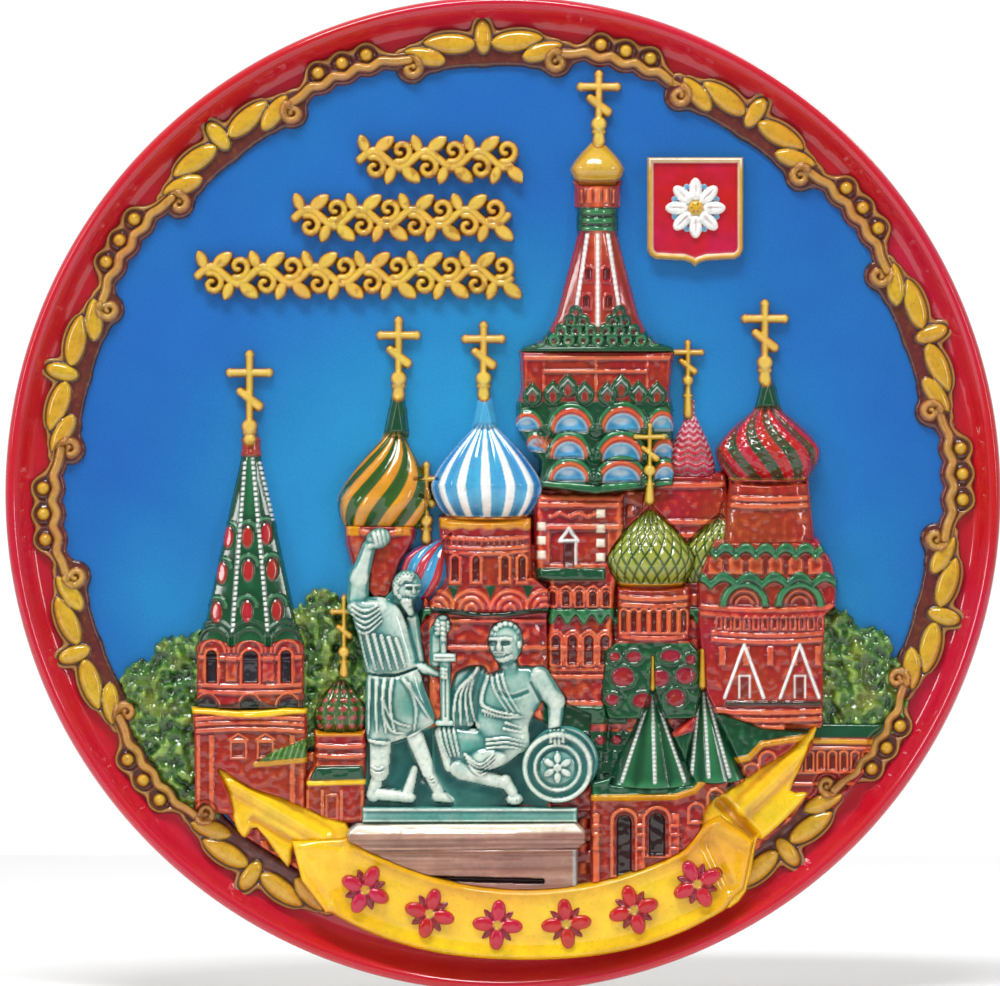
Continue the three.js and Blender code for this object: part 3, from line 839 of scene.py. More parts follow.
@dataclass
class Dome(Relief):
    """An onion dome on its seat, with a patterned skin and usually a finial."""

    name: str
    slot: str
    x: float
    foot: float
    seat: float
    radius: float
    height: float
    pattern: Pattern
    main: Paint
    second: Paint
    shadow: Paint
    widest: float = 0.32
    count: int = 16
    twist: float = 0.0
    depth: float = 6.5
    apex_shift: float = 0.0
    tilt: float = 0.0
    rim: Paint | None = None
    finial: Finial | None = None
    tip: float = 0.7
    neck: Paint | None = None
    neck_top: float = 0.0
    balance: float = 0.0

    def collar(self) -> Shape:
        """The plain neck between the dome and its finial."""
        tip_x = self.x + self.apex_shift
        start = (tip_x - 0.06 * self.apex_shift, self.foot + 0.84 * self.height)
        return limb(start, (tip_x, self.neck_top), 2.5, 1.4)

    def limits(self) -> tuple[float, float, float, float]:
        """The dome's and its finial's limits."""
        reach = self.radius + abs(self.apex_shift) + (self.height if self.tilt else 0) + 0.6
        left, right, low, high = self.x - reach, self.x + reach, self.foot - 1.4, self.foot + self.height
        if self.tilt:
            low, high = self.foot - self.radius, self.foot + self.height + 1
        if self.finial:
            f = self.finial
            left, right = min(left, f.x - f.arm - 2), max(right, f.x + f.arm + 2)
            high = max(high, f.top + 1.2)
        return left, right, low, high

    def upright(self, x: Grid, z: Grid) -> tuple[Grid, Grid]:
        """Turn the picture's x and z into across and up on the dome's own axis."""
        c, s = math.cos(math.radians(self.tilt)), math.sin(math.radians(self.tilt))
        across, up = x - self.x, z - self.foot
        across, up = across * c - up * s, up * c + across * s
        return across - self.apex_shift * np.clip(up / self.height, 0, 1.2) ** 1.6, up

    def half_width(self, up: Grid) -> Grid:
        """The dome's half width at a height above its seat."""
        belly = self.height * self.widest
        t = np.clip(up / belly, 0, 1)
        low = self.seat + (self.radius - self.seat) * np.sin(t * math.pi / 2) ** 0.85
        s = np.clip((up - belly) / (self.height - belly), 0, 1)
        round_part = np.cos(np.clip(s * 1.25, 0, 1) * math.pi / 2)
        drawn = self.tip + (self.radius - self.tip) * (0.62 * round_part + 0.38 * (1 - s) ** 1.5)
        return np.where(up < belly, low, drawn)

    def skin(self) -> Shape:
        """The outline of the dome alone."""

        def depth(x: Grid, z: Grid) -> Grid:
            """Give the depth inside the dome."""
            across, up = self.upright(x, z)
            side = self.half_width(up) - np.abs(across)
            slope = 0.35 + 0.65 * np.clip(1.6 - up / self.height, 0, 1)
            return np.minimum(side * slope, np.minimum(up + 0.3, self.height + 0.4 - up))

        return Shape(depth)

    def band(self) -> Shape:
        """The moulded rim under the dome."""

        def depth(x: Grid, z: Grid) -> Grid:
            """Give the depth inside the rim."""
            across, up = self.upright(x, z)
            dip = up - 0.35 * (across / self.seat) ** 2 + 0.5
            return np.minimum(self.seat + 0.5 - np.abs(across), 0.85 - np.abs(dip))

        return Shape(depth)

    def outline(self) -> Shape:
        """The dome with its rim and finial."""
        whole = self.skin()
        if self.rim:
            whole = whole | self.band()
        if self.neck:
            whole = whole.blend(self.collar(), 1.6)
        return whole | self.finial.outline() if self.finial else whole

    def model(self, clay: Clay) -> None:
        """Swell the dome, work its pattern, paint shade on its sides, then add the rim and the finial."""
        across, up = self.upright(clay.x, clay.z)
        half = np.maximum(self.half_width(up), 0.2)
        share = np.clip(across / half, -1, 1)
        size = np.clip(half / self.radius, 0, 1)
        skin = self.skin()(clay.x, clay.z)
        round_foot = 0.75 + 0.25 * step(up, -0.2, 0.2 * self.height)
        body = self.depth * size * round_foot * (
            0.72 * np.sqrt(1 - share ** 2) + 0.28 * step(skin, -0.3, 0.5))
        clay.h = np.where(skin > -0.45, body, 0)
        clay.dab(None, self.main)
        turn = np.degrees(np.arcsin(share))
        self.work(clay, turn, up, step(skin, 0.0, 0.8))
        # Painted shade on the sides, where the dome turns away from the light.
        shade = step(np.abs(share), 0.72, 1.0) * 0.4
        clay.tint(shade * (skin > -0.4), self.shadow)
        if self.rim:
            clay.raise_by(self.band(), 0.55, 0.5)
            clay.dab(self.band(), self.rim)
        if self.neck:
            above = step(clay.z, self.foot + 0.78 * self.height, self.foot + 0.86 * self.height)
            depth = self.collar().blend(self.skin(), 1.6)(clay.x, clay.z)
            clay.h = np.maximum(clay.h, above * 2.6 * np.sqrt(np.clip(depth / 1.4, 0, 1)))
            clay.tint(above * step(depth, -0.5, -0.1), self.neck)
        if self.finial:
            self.finial.model(clay)

    def work(self, clay: Clay, turn: Grid, up: Grid, edge: Grid) -> None:
        """Model and paint the pattern, with painted shade in its grooves and hollows and painted highlights
        on its high spots.

        Args:
            clay: The clay to work.
            turn: Angle round the dome at each point, in degrees, 0 at the front.
            up: Height above the seat.
            edge: Fades the relief out at the outline.
        """
        rise = up / self.height
        phase = (turn / 180 * self.count / 2 + self.twist * rise) * 2 * math.pi
        if self.pattern in (Pattern.RIBS, Pattern.WAVES):
            if self.pattern is Pattern.WAVES:
                phase = up * 2 * math.pi / 1.25 + 0.5 * np.sin(np.radians(turn) * 9) * math.pi
            wave = np.cos(phase)
            clay.h = clay.h + 0.38 * edge * wave * np.clip(1.15 - rise, 0.2, 1)
            clay.tint(step(-wave, -0.12 - self.balance, 0.12 - self.balance), self.second)
            if self.pattern is Pattern.RIBS:
                # Painted shade along the flanks of the ribs.
                clay.tint(step(-np.abs(wave), -0.2, 0.02) * 0.3, self.shadow)
        elif self.pattern is Pattern.STUDS:
            wave = np.cos(phase)
            clay.h = clay.h + 0.3 * edge * wave
            clay.tint(step(-wave, -0.1, 0.1), self.second)
            studs = np.cos(phase * 2) * np.cos(up * 2 * math.pi / 1.3 + phase * 0.5)
            clay.h = clay.h + 0.22 * edge * step(studs, 0.1, 0.9)
            # Painted highlight on the tops of the studs, then painted shade between them.
            clay.tint(step(studs, 0.72, 0.98) * 0.35 * step(-wave, -0.2, 0.2), Paint.LEAF_PALE)
            clay.tint(step(-studs, -0.2, 0.4) * 0.25 * step(wave, -0.2, 0.2), self.shadow)
        elif self.pattern is Pattern.SCALES:
            step_up = 2.0
            a = turn / 180 * self.count / 2 + up / step_up / 2
            b = turn / 180 * self.count / 2 - up / step_up / 2
            line = np.minimum(np.abs(a - np.round(a)), np.abs(b - np.round(b)))
            centre = np.minimum(1, line * 3.4)
            clay.h = clay.h + 0.42 * edge * np.sqrt(centre)
            clay.tint(step(-line, -0.16, -0.05), self.second)
            # Painted highlight on the middle of each scale.
            clay.tint(step(centre, 0.7, 1.0) * 0.12, Paint.LEAF_PALE)
            clay.tint(np.clip(clay.noise(2.0) * 0.2, 0, 0.5), Paint.LEAF)
        elif self.pattern is Pattern.SPOTS:
            wave = np.cos(phase)
            clay.h = clay.h + 0.22 * edge * wave
            clay.tint(step(-np.abs(wave), -0.2, 0.0) * 0.55, self.second)
            for row in range(6):
                for k in range(-3, 4):
                    angle = 26 * k + 13 * (row % 2) - 10 * row
                    level = self.height * (0.12 + 0.13 * row)
                    away = np.hypot((turn - angle) / 90 * self.radius, up - level)
                    clay.h = clay.h + 0.3 * step(-away, -0.75, -0.2) * edge
                    clay.tint(step(-away, -0.62, -0.4), Paint.BRICK)
        # Painted shade in the hollows and, on most patterns, a faint painted white highlight on the high
        # spots.
        pale = 0.0 if self.pattern in (Pattern.STUDS, Pattern.WAVES) else 0.03
        clay.wash_with_painted_light(self.shadow, Paint.WHITE, 0.6, 0.3, pale)


def brickwork(clay: Clay, within: Shape | None = None) -> None:
    """Give a brick wall its mottle, painted shade in its hollows, and a painted highlight with worn-pale
    paint on its high edges.
    """
    mottle = clay.noise(1.0) * 0.05 + clay.noise(3.0) * 0.05
    clay.h = clay.h + mottle * step(clay.out, 0.2, 1.0)
    clay.wash_with_painted_light(Paint.BRICK_DARK, Paint.BRICK_PALE, 0.6, 0.5, 0.7, within)


def moulding(clay: Clay, left: float, right: float, levels: Sequence[float], thick: float = 0.4,
             bow: float = 0.0, middle: float | None = None) -> None:
    """Run level string courses across a wall, bowed as on a round tower."""
    centre = (left + right) / 2 if middle is None else middle
    for level in levels:
        curve = clay.z - level + bow * (1 - ((clay.x - centre) / max(right - centre, 0.1)) ** 2)
        depth = np.minimum(thick - np.abs(curve), np.minimum(clay.x - left, right - clay.x))
        clay.h = clay.h + 0.45 * quarter_round(depth / thick + 0.4)


def niche(clay: Clay, shape: Shape, paint: Paint, sink: float = 0.8, frame_out: float = 0.5) -> None:
    """Sink an opening into a wall, with a raised frame round it."""
    clay.bead(Shape(lambda x, z: frame_out / 2 - np.abs(shape(x, z) + frame_out / 2)), 0.5, frame_out / 2)
    clay.raise_by(shape, -sink, 0.4)
    clay.dab(shape, paint, 0.35)


def gable_row(clay: Clay, centres: Sequence[Point], radius: float, paint: Paint, trim: Paint,
              rings: int = 2, amount: float = 0.5) -> None:
    """Set a row of semicircular gables, each of concentric rolls."""
    for cx, cz in centres:
        half = disc(cx, cz, radius) & above(cz - 0.3)
        clay.lay(half, amount, radius * 0.35, paint)
        for ring in range(rings):
            size = radius * (1 - 0.34 * ring) - 0.3
            roll = disc(cx, cz, size).line(0.34) & above(cz - 0.2)
            clay.lay(roll, 0.4, 0.34, trim)


@dataclass
class Drum(Relief):
    """The round brick drum under a dome, with string courses, dentils and window slits."""

    name: str
    x: float
    foot: float
    top: float
    half_foot: float
    half_top: float
    slits: Sequence[float] = ()
    slit_low: float = 0.0
    slit_high: float = 0.0
    courses: Sequence[float] = ()
    dentils: Sequence[float] = ()
    depth: float = 5.6
    cap: Paint | None = None
    lean: float = 0.0
    slot: str = "brick_glaze"

    def limits(self) -> tuple[float, float, float, float]:
        """The drum's limits."""
        reach = max(self.half_foot, self.half_top) + abs(self.lean)
        return self.x - reach, self.x + reach, self.foot, self.top

    def spans(self, z: Grid) -> tuple[Grid, Grid]:
        """The drum's middle and half width at a height."""
        share = np.clip((z - self.foot) / (self.top - self.foot), 0, 1)
        return self.x + self.lean * share, self.half_foot + (self.half_top - self.half_foot) * share

    def outline(self) -> Shape:
        """The drum's outline."""

        def depth(x: Grid, z: Grid) -> Grid:
            """Give the depth inside the drum."""
            centre, half = self.spans(z)
            return np.minimum(half - np.abs(x - centre), np.minimum(z - self.foot, self.top - z))

        return Shape(depth)

    def model(self, clay: Clay) -> None:
        """Turn the drum, then add its courses, dentils and slits."""
        centre, half = self.spans(clay.z)
        clay.turned(centre, half, self.depth, 0.45)
        clay.dab(None, Paint.BRICK)
        moulding(clay, self.x - self.half_foot, self.x + self.half_foot, self.courses, 0.42, 0.5, self.x)
        for level in self.dentils:
            curve = clay.z - level + 0.5 * (1 - ((clay.x - centre) / half) ** 2)
            turn = np.arcsin(np.clip((clay.x - centre) / half, -1, 1))
            tooth = np.cos(turn * 22)
            clay.h = clay.h + 0.35 * step(0.55 - np.abs(curve), 0, 0.25) * step(tooth, -0.2, 0.4)
        for offset in self.slits:
            slit = arch(self.x + offset, self.slit_low, 0.55, self.slit_high)
            niche(clay, slit, Paint.BRICK_DARK, 0.5, 0.7)
        brickwork(clay)
        if self.cap:
            rim = Shape(lambda x, z: 0.8 - np.abs(z - self.top + 0.6))
            clay.lay(rim, 0.4, 0.5, self.cap)


class TowerTent(Relief):
    """The middle tower's tent roof with its neck drum, white ribs and spreading foot."""

    name = "tower_tent"
    slot = "brick_glaze"
    x = 19.0
    foot = 28.6
    top = 62.6

    def limits(self) -> tuple[float, float, float, float]:
        """The roof's limits."""
        return self.x - 15.6, self.x + 15.6, self.foot - 0.4, self.top + 0.4

    def half(self, z: Grid) -> Grid:
        """Half width at a height."""
        levels = [28, 28.6, 29.8, 30.6, 33.0, 36, 52.6, 53.0, 57.4, 57.8, 62, 62.8]
        widths = [15.3, 15.4, 14.6, 11.4, 9.4, 7.9, 3.5, 3.9, 3.7, 4.2, 4.3, 4.6]
        return np.interp(z, levels, widths)

    def outline(self) -> Shape:
        """The roof's outline."""
        return Shape(lambda x, z: np.minimum((self.half(z) - np.abs(x - self.x)) * 0.95,
                                             np.minimum(z - self.foot + 0.3, self.top - z)))

    def model(self, clay: Clay) -> None:
        """Raise eight faceted sides and their dotted white ribs over a scaly green skirt."""
        half = self.half(clay.z)
        across = clay.x - self.x
        share = np.clip(across / half, -1, 1)
        facet = 1 - 0.55 * np.abs(share) ** 1.5
        clay.h = (2.4 + 3.4 * np.clip((60 - clay.z) / 30, 0.35, 1)) * facet * (
            0.45 + 0.55 * step(clay.out, -0.3, 0.5))
        clay.dab(None, Paint.BRICK)
        clay.wash_with_painted_light(Paint.BRICK_DARK, Paint.BRICK_PALE, 0.8, 0.6, 0.8)
        for ratio in (-0.62, 0.0, 0.62):
            line = Shape(lambda x, z, r=ratio: 0.42 - np.abs(x - self.x - r * self.half(z) * 0.92))
            run = line & box(self.x - 9, self.x + 9, 33.5, 52.4)
            clay.bead(run, 0.45, 0.4)
            notch = 0.5 + 0.5 * np.cos(clay.z * 2 * math.pi / 1.15)
            clay.tint(step(run(clay.x, clay.z), -0.05, 0.12) * (0.75 + 0.25 * notch), Paint.WHITE)
        for side in (-1, 1):
            for level in (38.5, 44.0):
                centre = self.x + side * 0.31 * float(self.half(np.array(level)))
                pane = arch(centre, level - 1.1, 0.6, level + 1.3)
                niche(clay, pane, Paint.BRICK_DARK, 0.25, 0.6)
        collar = box(self.x - 4.6, self.x + 4.6, 52.8, 57.6)
        clay.dab(collar, Paint.ROOF)
        moulding(clay, self.x - 4, self.x + 4, (53.4, 55.1, 56.9), 0.45, 0.3)
        for k in range(-2, 3):
            clay.bead(arch(self.x + 1.7 * k, 58.4, 0.55, 61.4), 0.25, 0.5)
        clay.wash_with_painted_light(Paint.ROOF_DARK, Paint.ROOF_PALE, 0.6, 0.8, 0.6, collar)
        drum = box(self.x - 5, self.x + 5, 57.6, 63)
        clay.wash_with_painted_light(Paint.BRICK_DARK, Paint.BRICK_PALE, 0.6, 0.8, 1.2, drum)
        skirt = Shape(lambda x, z: np.where(np.abs(x - self.x) < 10.4,
                                            31.8 + 3.6 * np.abs(np.sin((x - self.x) * 0.36)) - z, 31.4 - z))
        clay.dab(skirt, Paint.ROOF, 0.4)
        rows = [(self.x + 2.9 * k, 31.0) for k in range(-4, 5)] + \
               [(self.x + 1.45 + 2.9 * k, 32.9) for k in range(-3, 3)] + \
               [(self.x + side * off, 34.8) for side in (-1, 1) for off in (2.9, 5.4)] + \
               [(self.x + side * 4.4, 36.6) for side in (-1, 1)]
        for cx, cz in rows:
            clay.lay(disc(cx, cz, 1.35), 0.8, 0.8, Paint.ROOF)
            clay.raise_by(disc(cx, cz - 0.3, 0.6), -0.4, 0.3)
            clay.dab(disc(cx, cz - 0.3, 0.55), Paint.BRICK, 0.3, 0.75)
        clay.wash_with_painted_light(Paint.ROOF_DARK, Paint.ROOF_PALE, 0.5, 0.7, 0.5, skirt)
        eave = box(self.x - 15.6, self.x + 15.6, 28, 29.7)
        clay.lay(eave, 0.9, 0.7, Paint.ROOF)


@dataclass(frozen=True)
class Bay:
    """One arched bay of the middle tower: a green hood, an orange band and a blue pane."""

    x: float
    foot: float
    half: float
    rise: float

    def part(self, across: float, up: float) -> Shape:
        """A half oval standing on the bay's foot, as shares of its half width and rise."""
        return oval(self.x, self.foot, self.half * across, self.rise * up) & above(self.foot - 0.2)


class TowerArcade(Relief):
    """The middle tower's broad tier: brick frieze, a row of small gables, then three rows of bays."""

    name = "tower_arcade"
    slot = "roof_glaze"
    x = 19.0
    bays = (
        Bay(4.8, 13.0, 3.6, 4.2), Bay(13.7, 12.6, 5.0, 5.8), Bay(24.0, 12.8, 5.3, 5.9),
        Bay(32.0, 13.0, 3.4, 4.6),
        Bay(6.6, 8.8, 2.6, 4.0), Bay(13.2, 7.4, 4.6, 5.4), Bay(23.7, 6.8, 5.6, 6.2), Bay(32.4, 7.4, 3.4, 4.6),
        Bay(13.3, 2.8, 4.8, 4.6), Bay(23.7, 2.6, 5.6, 5.2), Bay(32.6, 2.8, 3.2, 4.6),
    )
    gables = ((5.9, 19.6), (10.0, 20.0), (13.0, 21.3), (16.4, 19.9), (20.9, 19.7), (23.7, 21.3), (27.2, 20.0),
              (30.9, 19.8))
    extent = (2.4, 35.0, -0.6, 28.8)

    def outline(self) -> Shape:
        """A block that narrows on the left towards its foot."""
        return polygon([(3.6, 28.7), (4.0, 21.4), (2.9, 17.6), (3.0, 13.6), (5.2, 9.4), (7.6, 6.6),
                        (7.4, 2.6), (8.0, 1.2), (18.6, -0.2), (34.2, 1.6), (34.4, 3), (33.8, 12),
                        (34.0, 17), (33.2, 20), (33.8, 26.6), (34.4, 28.7)])

    def model(self, clay: Clay) -> None:
        """Model two folded faces, the frieze, gables, bays and the ledge under them, with painted white
        highlights on the gables and in the panes.
        """
        fold = np.abs(clay.x - self.x + 0.4)
        clay.h = (5.6 - 0.11 * fold) * (0.35 + 0.65 * step(clay.out, -0.3, 0.5))
        clay.dab(None, Paint.BRICK)
        for post_x in (4.6, 8.2, 18.6, 28.8, 33.2):
            clay.bead(box(post_x - 0.3, post_x + 0.3, 20.4, 27), 0.18, 0.4)
        moulding(clay, 8.2, 28.8, (24.6,), 0.2)
        moulding(clay, 3.6, 34.2, (27.3,), 0.36)
        brickwork(clay)
        for cx, cz in self.gables:
            crown = disc(cx, cz, 2.0).blend(limb((cx, cz + 1.0), (cx, cz + 2.5), 0.9, 0.3), 1.2)
            clay.lay(crown, 0.9, 1.0, Paint.ROOF)
            slot = oval(cx, cz - 0.5, 0.7, 1.2)
            clay.raise_by(slot, -0.35, 0.3)
            clay.dab(slot, Paint.BRICK, 0.3, 0.8)
            # Painted white highlights along the gable's rolls, stronger on the left.
            clay.dab(limb((cx - 1.1, cz + 0.4), (cx, cz + 1.6), 0.12), Paint.WHITE, 0.2, 0.6)
            clay.dab(limb((cx + 1.1, cz + 0.4), (cx, cz + 1.6), 0.12), Paint.WHITE, 0.2, 0.4)
        clay.dab(below(18.6), Paint.ROOF, 0.6)
        for bay in self.bays:
            hood, band, pane = bay.part(1.0, 1.0), bay.part(0.84, 0.8), bay.part(0.64, 0.55)
            clay.lay(hood, 0.9, 0.8, Paint.ROOF, 0.25)
            clay.wash_with_painted_light(Paint.ROOF_DARK, Paint.ROOF_PALE, 0.6, 0.5, 0.4, hood)
            clay.lay(band, 0.25, 0.5, Paint.BRICK, 0.25)
            clay.dab(bay.part(0.8, 0.76) - bay.part(0.72, 0.66), Paint.BRICK_PALE, 0.3, 0.8)
            clay.raise_by(pane, -1.1, 0.5)
            clay.dab(pane, Paint.DOME_BLUE, 0.25)
            # Painted white highlights: round the pane's edge and a glint inside it.
            clay.dab(pane.grow(0.15) - pane.grow(-0.2), Paint.WHITE, 0.25, 0.55)
            clay.dab(oval(bay.x - 0.3, bay.foot + 0.32 * bay.rise, 0.3 * bay.half, 0.14 * bay.rise),
                     Paint.WHITE, 0.8, 0.5)
        for cx, cz in ((18.6, 12.6), (18.4, 7.6), (18.5, 3.4), (8.4, 12.4), (29, 12.4), (29.2, 7.4),
                       (29, 3.2)):
            clay.lay(disc(cx, cz, 1.5), 1.0, 1.1, Paint.ROOF, 0.4)
        for k in range(5):
            clay.dab(limb((8.2, 9.2), polar(2.2, 50 + 26 * k, 8.2, 9.2), 0.18), Paint.BRICK_PALE)
        ledge = Shape(lambda x, z: 1.15 - np.abs(z - 0.9 - 0.075 * np.abs(x - 18.6)))
        clay.lay(ledge, 1.0, 0.9, Paint.ROOF)
        clay.wash_with_painted_light(Paint.ROOF_DARK, Paint.ROOF_PALE, 0.6, 0.5, 0.4, ledge)


class TowerBody(Relief):
    """The middle tower's shaft: zigzag frieze, pedimented window, white quoins, lower arcades."""

    name = "tower_body"
    slot = "brick_glaze"
    x = 14.8
    extent = (-57, 67, -86, 1.8)

    def shaft(self) -> Shape:
        """The shaft's stepped outline."""
        return polygon([(5.9, 0.4), (6.2, -14.6), (6.6, -17.5), (8.6, -18.2), (8.6, -52), (21, -52),
                        (22.6, -26.5), (23.2, -18), (24.6, -14.5), (24.6, 0.4)])

    def outline(self) -> Shape:
        """The shaft, and the low wall that joins the buildings behind their fronts."""
        return self.shaft() | polygon([
            (7, 1.2), (43.4, 0.6), (44, -30), (46, -46), (64, -48), (66, -54), (58, -66), (44, -78),
            (20, -85), (-20, -85), (-36, -79), (-52, -69), (-56, -64), (-45, -58), (-41, -52), (-30, -50),
            (-24, -44), (-17, -28), (-15, -12), (-8, -10), (6, -10)])

    def model(self, clay: Clay) -> None:
        """Model the wall from the top down."""
        shaft = self.shaft()(clay.x, clay.z)
        low_wall = 2.7 + 0.3 * np.cos(clay.x * 2 * math.pi / 3.2) * step(np.sin(clay.z * 1.4), -0.2, 0.3)
        clay.h = np.maximum(4.4 * (0.6 + 0.4 * step(shaft, 0, 1.4)) * step(shaft, -0.3, 0.3),
                            low_wall * step(clay.out, -0.3, 0.5))
        clay.dab(None, Paint.BRICK)
        zigzag = Shape(lambda x, z: 0.4 - np.abs(z + 4.6 - 0.8 * np.abs(((x / 1.9) % 2) - 1)))
        clay.bead(zigzag & box(9, 20.5, -6, -2.5), 0.5, 0.35)
        moulding(clay, 7, 24, (-2.2, -6.6), 0.35)
        panel = box(9.4, 21.0, -14.0, -7.2)
        clay.raise_by(panel, -0.45, 0.4)
        brickwork(clay)
        door = box(12.2, 14.2, -14.6, -9.6)
        niche(clay, door, Paint.BROWN, 0.5, 0.6)
        gable = polygon([(11.4, -9.4), (15.0, -9.4), (13.2, -6.9)])
        clay.lay(gable.line(0.34), 0.4, 0.3, Paint.WHITE, 0.2)
        jamb = box(14.3, 14.9, -14.2, -9.6)
        clay.lay(jamb, 0.3, 0.3, Paint.WHITE, 0.2, 0.8)
        for qx, levels in ((7.7, (-6.5, -9.3, -12.2)), (19.6, (-3.9, -6.9, -9.8, -12.7))):
            for level in levels:
                stone = box(qx - 0.85, qx + 0.85, level - 0.8, level + 0.8)
                clay.lay(stone, 0.5, 0.5, Paint.CREAM, 0.3, 0.95)
        sill = box(6.6, 20.6, -17.4, -14.8)
        clay.lay(sill, 1.0, 0.9, Paint.ROOF)
        for k in range(5):
            clay.bead(arch(9.9 + 2.7 * k, -22.6, 1.1, -18.6).line(0.28), 0.5, 0.25)
            niche(clay, arch(9.9 + 2.7 * k, -22.4, 0.6, -19.6), Paint.BRICK_DARK, 0.3, 0.4)
        fringe = below(-22.9) & Shape(lambda x, z: z + 25.3 + 0.9 * np.cos((x - 9.6) * 2 * math.pi / 3.3))
        clay.bead(fringe, 0.9, 0.7)
        for k in range(4):
            opening = arch(10.6 + 3.3 * k, -34.2, 0.85, -28.4)
            clay.bead(arch(10.6 + 3.3 * k, -34.2, 1.5, -27.5).line(0.3), 0.45, 0.3)
            niche(clay, opening, Paint.BRICK_DARK, 0.6, 0.5)
        moulding(clay, 8, 23, (-31.0, -35.2, -36.6, -42.0), 0.35)
        brickwork(clay, below(-17.5))
        clay.dab(fringe, Paint.ROOF)
        clay.wash_with_painted_light(Paint.ROOF_DARK, Paint.ROOF_PALE, 0.6, 0.7, 0.6, fringe)
        band = box(8, 25, -46.2, -42.4)
        clay.lay(band, 0.9, 0.9, Paint.ROOF)
        yard = polygon([(13, -47.6), (44, -47.6), (56, -56), (50, -60), (13, -60)])
        clay.dab(yard, Paint.ROOF, 0.5)
        for cx in (16.4, 19.6, 22.8):
            clay.bead(oval(cx, -49.4, 1.2, 1.0), 0.6, 0.8)
            clay.dab(oval(cx, -49.4, 1.0, 0.9), Paint.CRIMSON_DARK)


def inflate(clay: Clay, shape: Shape, top: float, reach: float, base: float = 0.0) -> None:
    """Add a rounded form whose crown stands at the given height, webbed softly into the rest.

    Args:
        clay: The clay to work.
        shape: Outline of the form.
        top: Height of its crown above the dish.
        reach: Depth from the outline at which the crown is reached.
        base: Height that its edge starts from.
    """
    depth = shape(clay.x, clay.z)
    lift = base * step(depth, -0.25, 0.25) + (top - base) * quarter_round(depth / reach)
    near = np.clip(1 - np.abs(clay.h - lift) / 0.5, 0, 1)
    clay.h = np.maximum(clay.h, lift) + near * near * 0.12 * (depth > -0.2)


@dataclass
class GateSpire(Relief):
    """The gate tower's green tent spire: dotted ribs, red windows, scalloped eave and finial."""

    name: str = "gate_spire"
    slot: str = "roof_glaze"
    x: float = -50.7
    top: float = 7.7
    eave: float = -29.6
    finial: Finial = field(default_factory=lambda: Finial(-51.0, 11.0, 13.6, 28.2, 4.0))

    def limits(self) -> tuple[float, float, float, float]:
        """The spire's limits."""
        return self.x - 11.8, self.x + 11.8, self.eave - 2.4, 29.5

    def half(self, z: Grid) -> Grid:
        """Half width at a height."""
        return np.interp(z, [self.eave - 2, self.eave, -26.5, -25, self.top - 0.4, self.top, 11.2, 11.6],
                         [11.0, 10.8, 9.6, 8.9, 1.9, 1.9, 1.7, 1.2])

    def outline(self) -> Shape:
        """The spire with its scalloped eave and finial."""

        def depth(x: Grid, z: Grid) -> Grid:
            """Give the depth inside the spire."""
            scallop = 1.4 * np.abs(np.sin((x - self.x) * math.pi / 7.4 + math.pi / 2)) ** 0.7
            low = z - self.eave + 1.5 - scallop
            return np.minimum((self.half(z) - np.abs(x - self.x)) * 0.97, np.minimum(low, 11.8 - z))

        return Shape(depth) | self.finial.outline()

    def model(self, clay: Clay) -> None:
        """Raise the three faces and dress them."""
        half = self.half(clay.z)
        share = np.clip((clay.x - self.x) / half, -1, 1)
        grow = np.clip((self.top - clay.z) / 37, 0, 1)
        inside = step((half - np.abs(clay.x - self.x)), -0.3, 0.4)
        clay.h = (2.0 + 4.2 * grow) * (1 - 0.5 * np.abs(share) ** 1.6) * inside
        clay.h = np.where(clay.z > 11.9, 0, clay.h)
        clay.dab(None, Paint.ROOF)
        windows = [(-55.3, -8.7), (-51.3, -8.7), (-47.5, -8.0), (-56.5, -15.9), (-51.1, -15.4),
                   (-46.3, -15.2), (-57.5, -23.8), (-51.3, -23.6), (-45.3, -23.4)]
        for cx, cz in windows:
            clay.bead(disc(cx, cz + 1.2, 1.9).line(0.34) & above(cz + 0.9), 0.55, 0.4)
        clay.wash_with_painted_light(Paint.ROOF_DARK, Paint.ROOF_PALE, 0.8, 0.5, 0.5)
        for cx, cz in windows:
            pane = oval(cx, cz, 1.1, 2.1)
            clay.raise_by(pane, 0.4, 0.5)
            clay.dab(pane, Paint.BRICK)
            clay.dab(oval(cx, cz + 0.2, 0.5, 1.2), Paint.CRIMSON, 0.4, 0.5)
        for start, end in (((-51.9, 6.2), (-54.2, -27.6)), ((-50.3, 7.0), (-47.2, -27.2)),
                           ((-48.9, 6.2), (-46.2, -5))):
            line = limb(start, end, 0.3)
            depth = line(clay.x, clay.z)
            beads = 0.5 + 0.5 * np.cos(clay.z * 2 * math.pi / 1.05)
            clay.h = clay.h + 0.42 * step(depth, -0.1, 0.25) * (0.45 + 0.55 * beads)
            clay.tint(step(depth, -0.14, 0.08) * np.clip(beads * 2.2 - 0.2, 0.0, 1), Paint.WHITE)
        for cx in (self.x - 7.4, self.x, self.x + 7.4):
            for radius in (4.3, 3.0):
                clay.bead(disc(cx, self.eave - 0.2, radius).line(0.42) & above(self.eave - 1), 0.5, 0.4)
        collar = box(self.x - 3, self.x + 3, 7.6, 11.8)
        clay.dab(collar, Paint.BRICK)
        moulding(clay, self.x - 2.4, self.x + 2.4, (8.2, 11.0), 0.4)
        clay.bead(box(self.x - 0.5, self.x + 0.5, 8.6, 10.6), -0.4, 0.3)
        self.finial.model(clay)


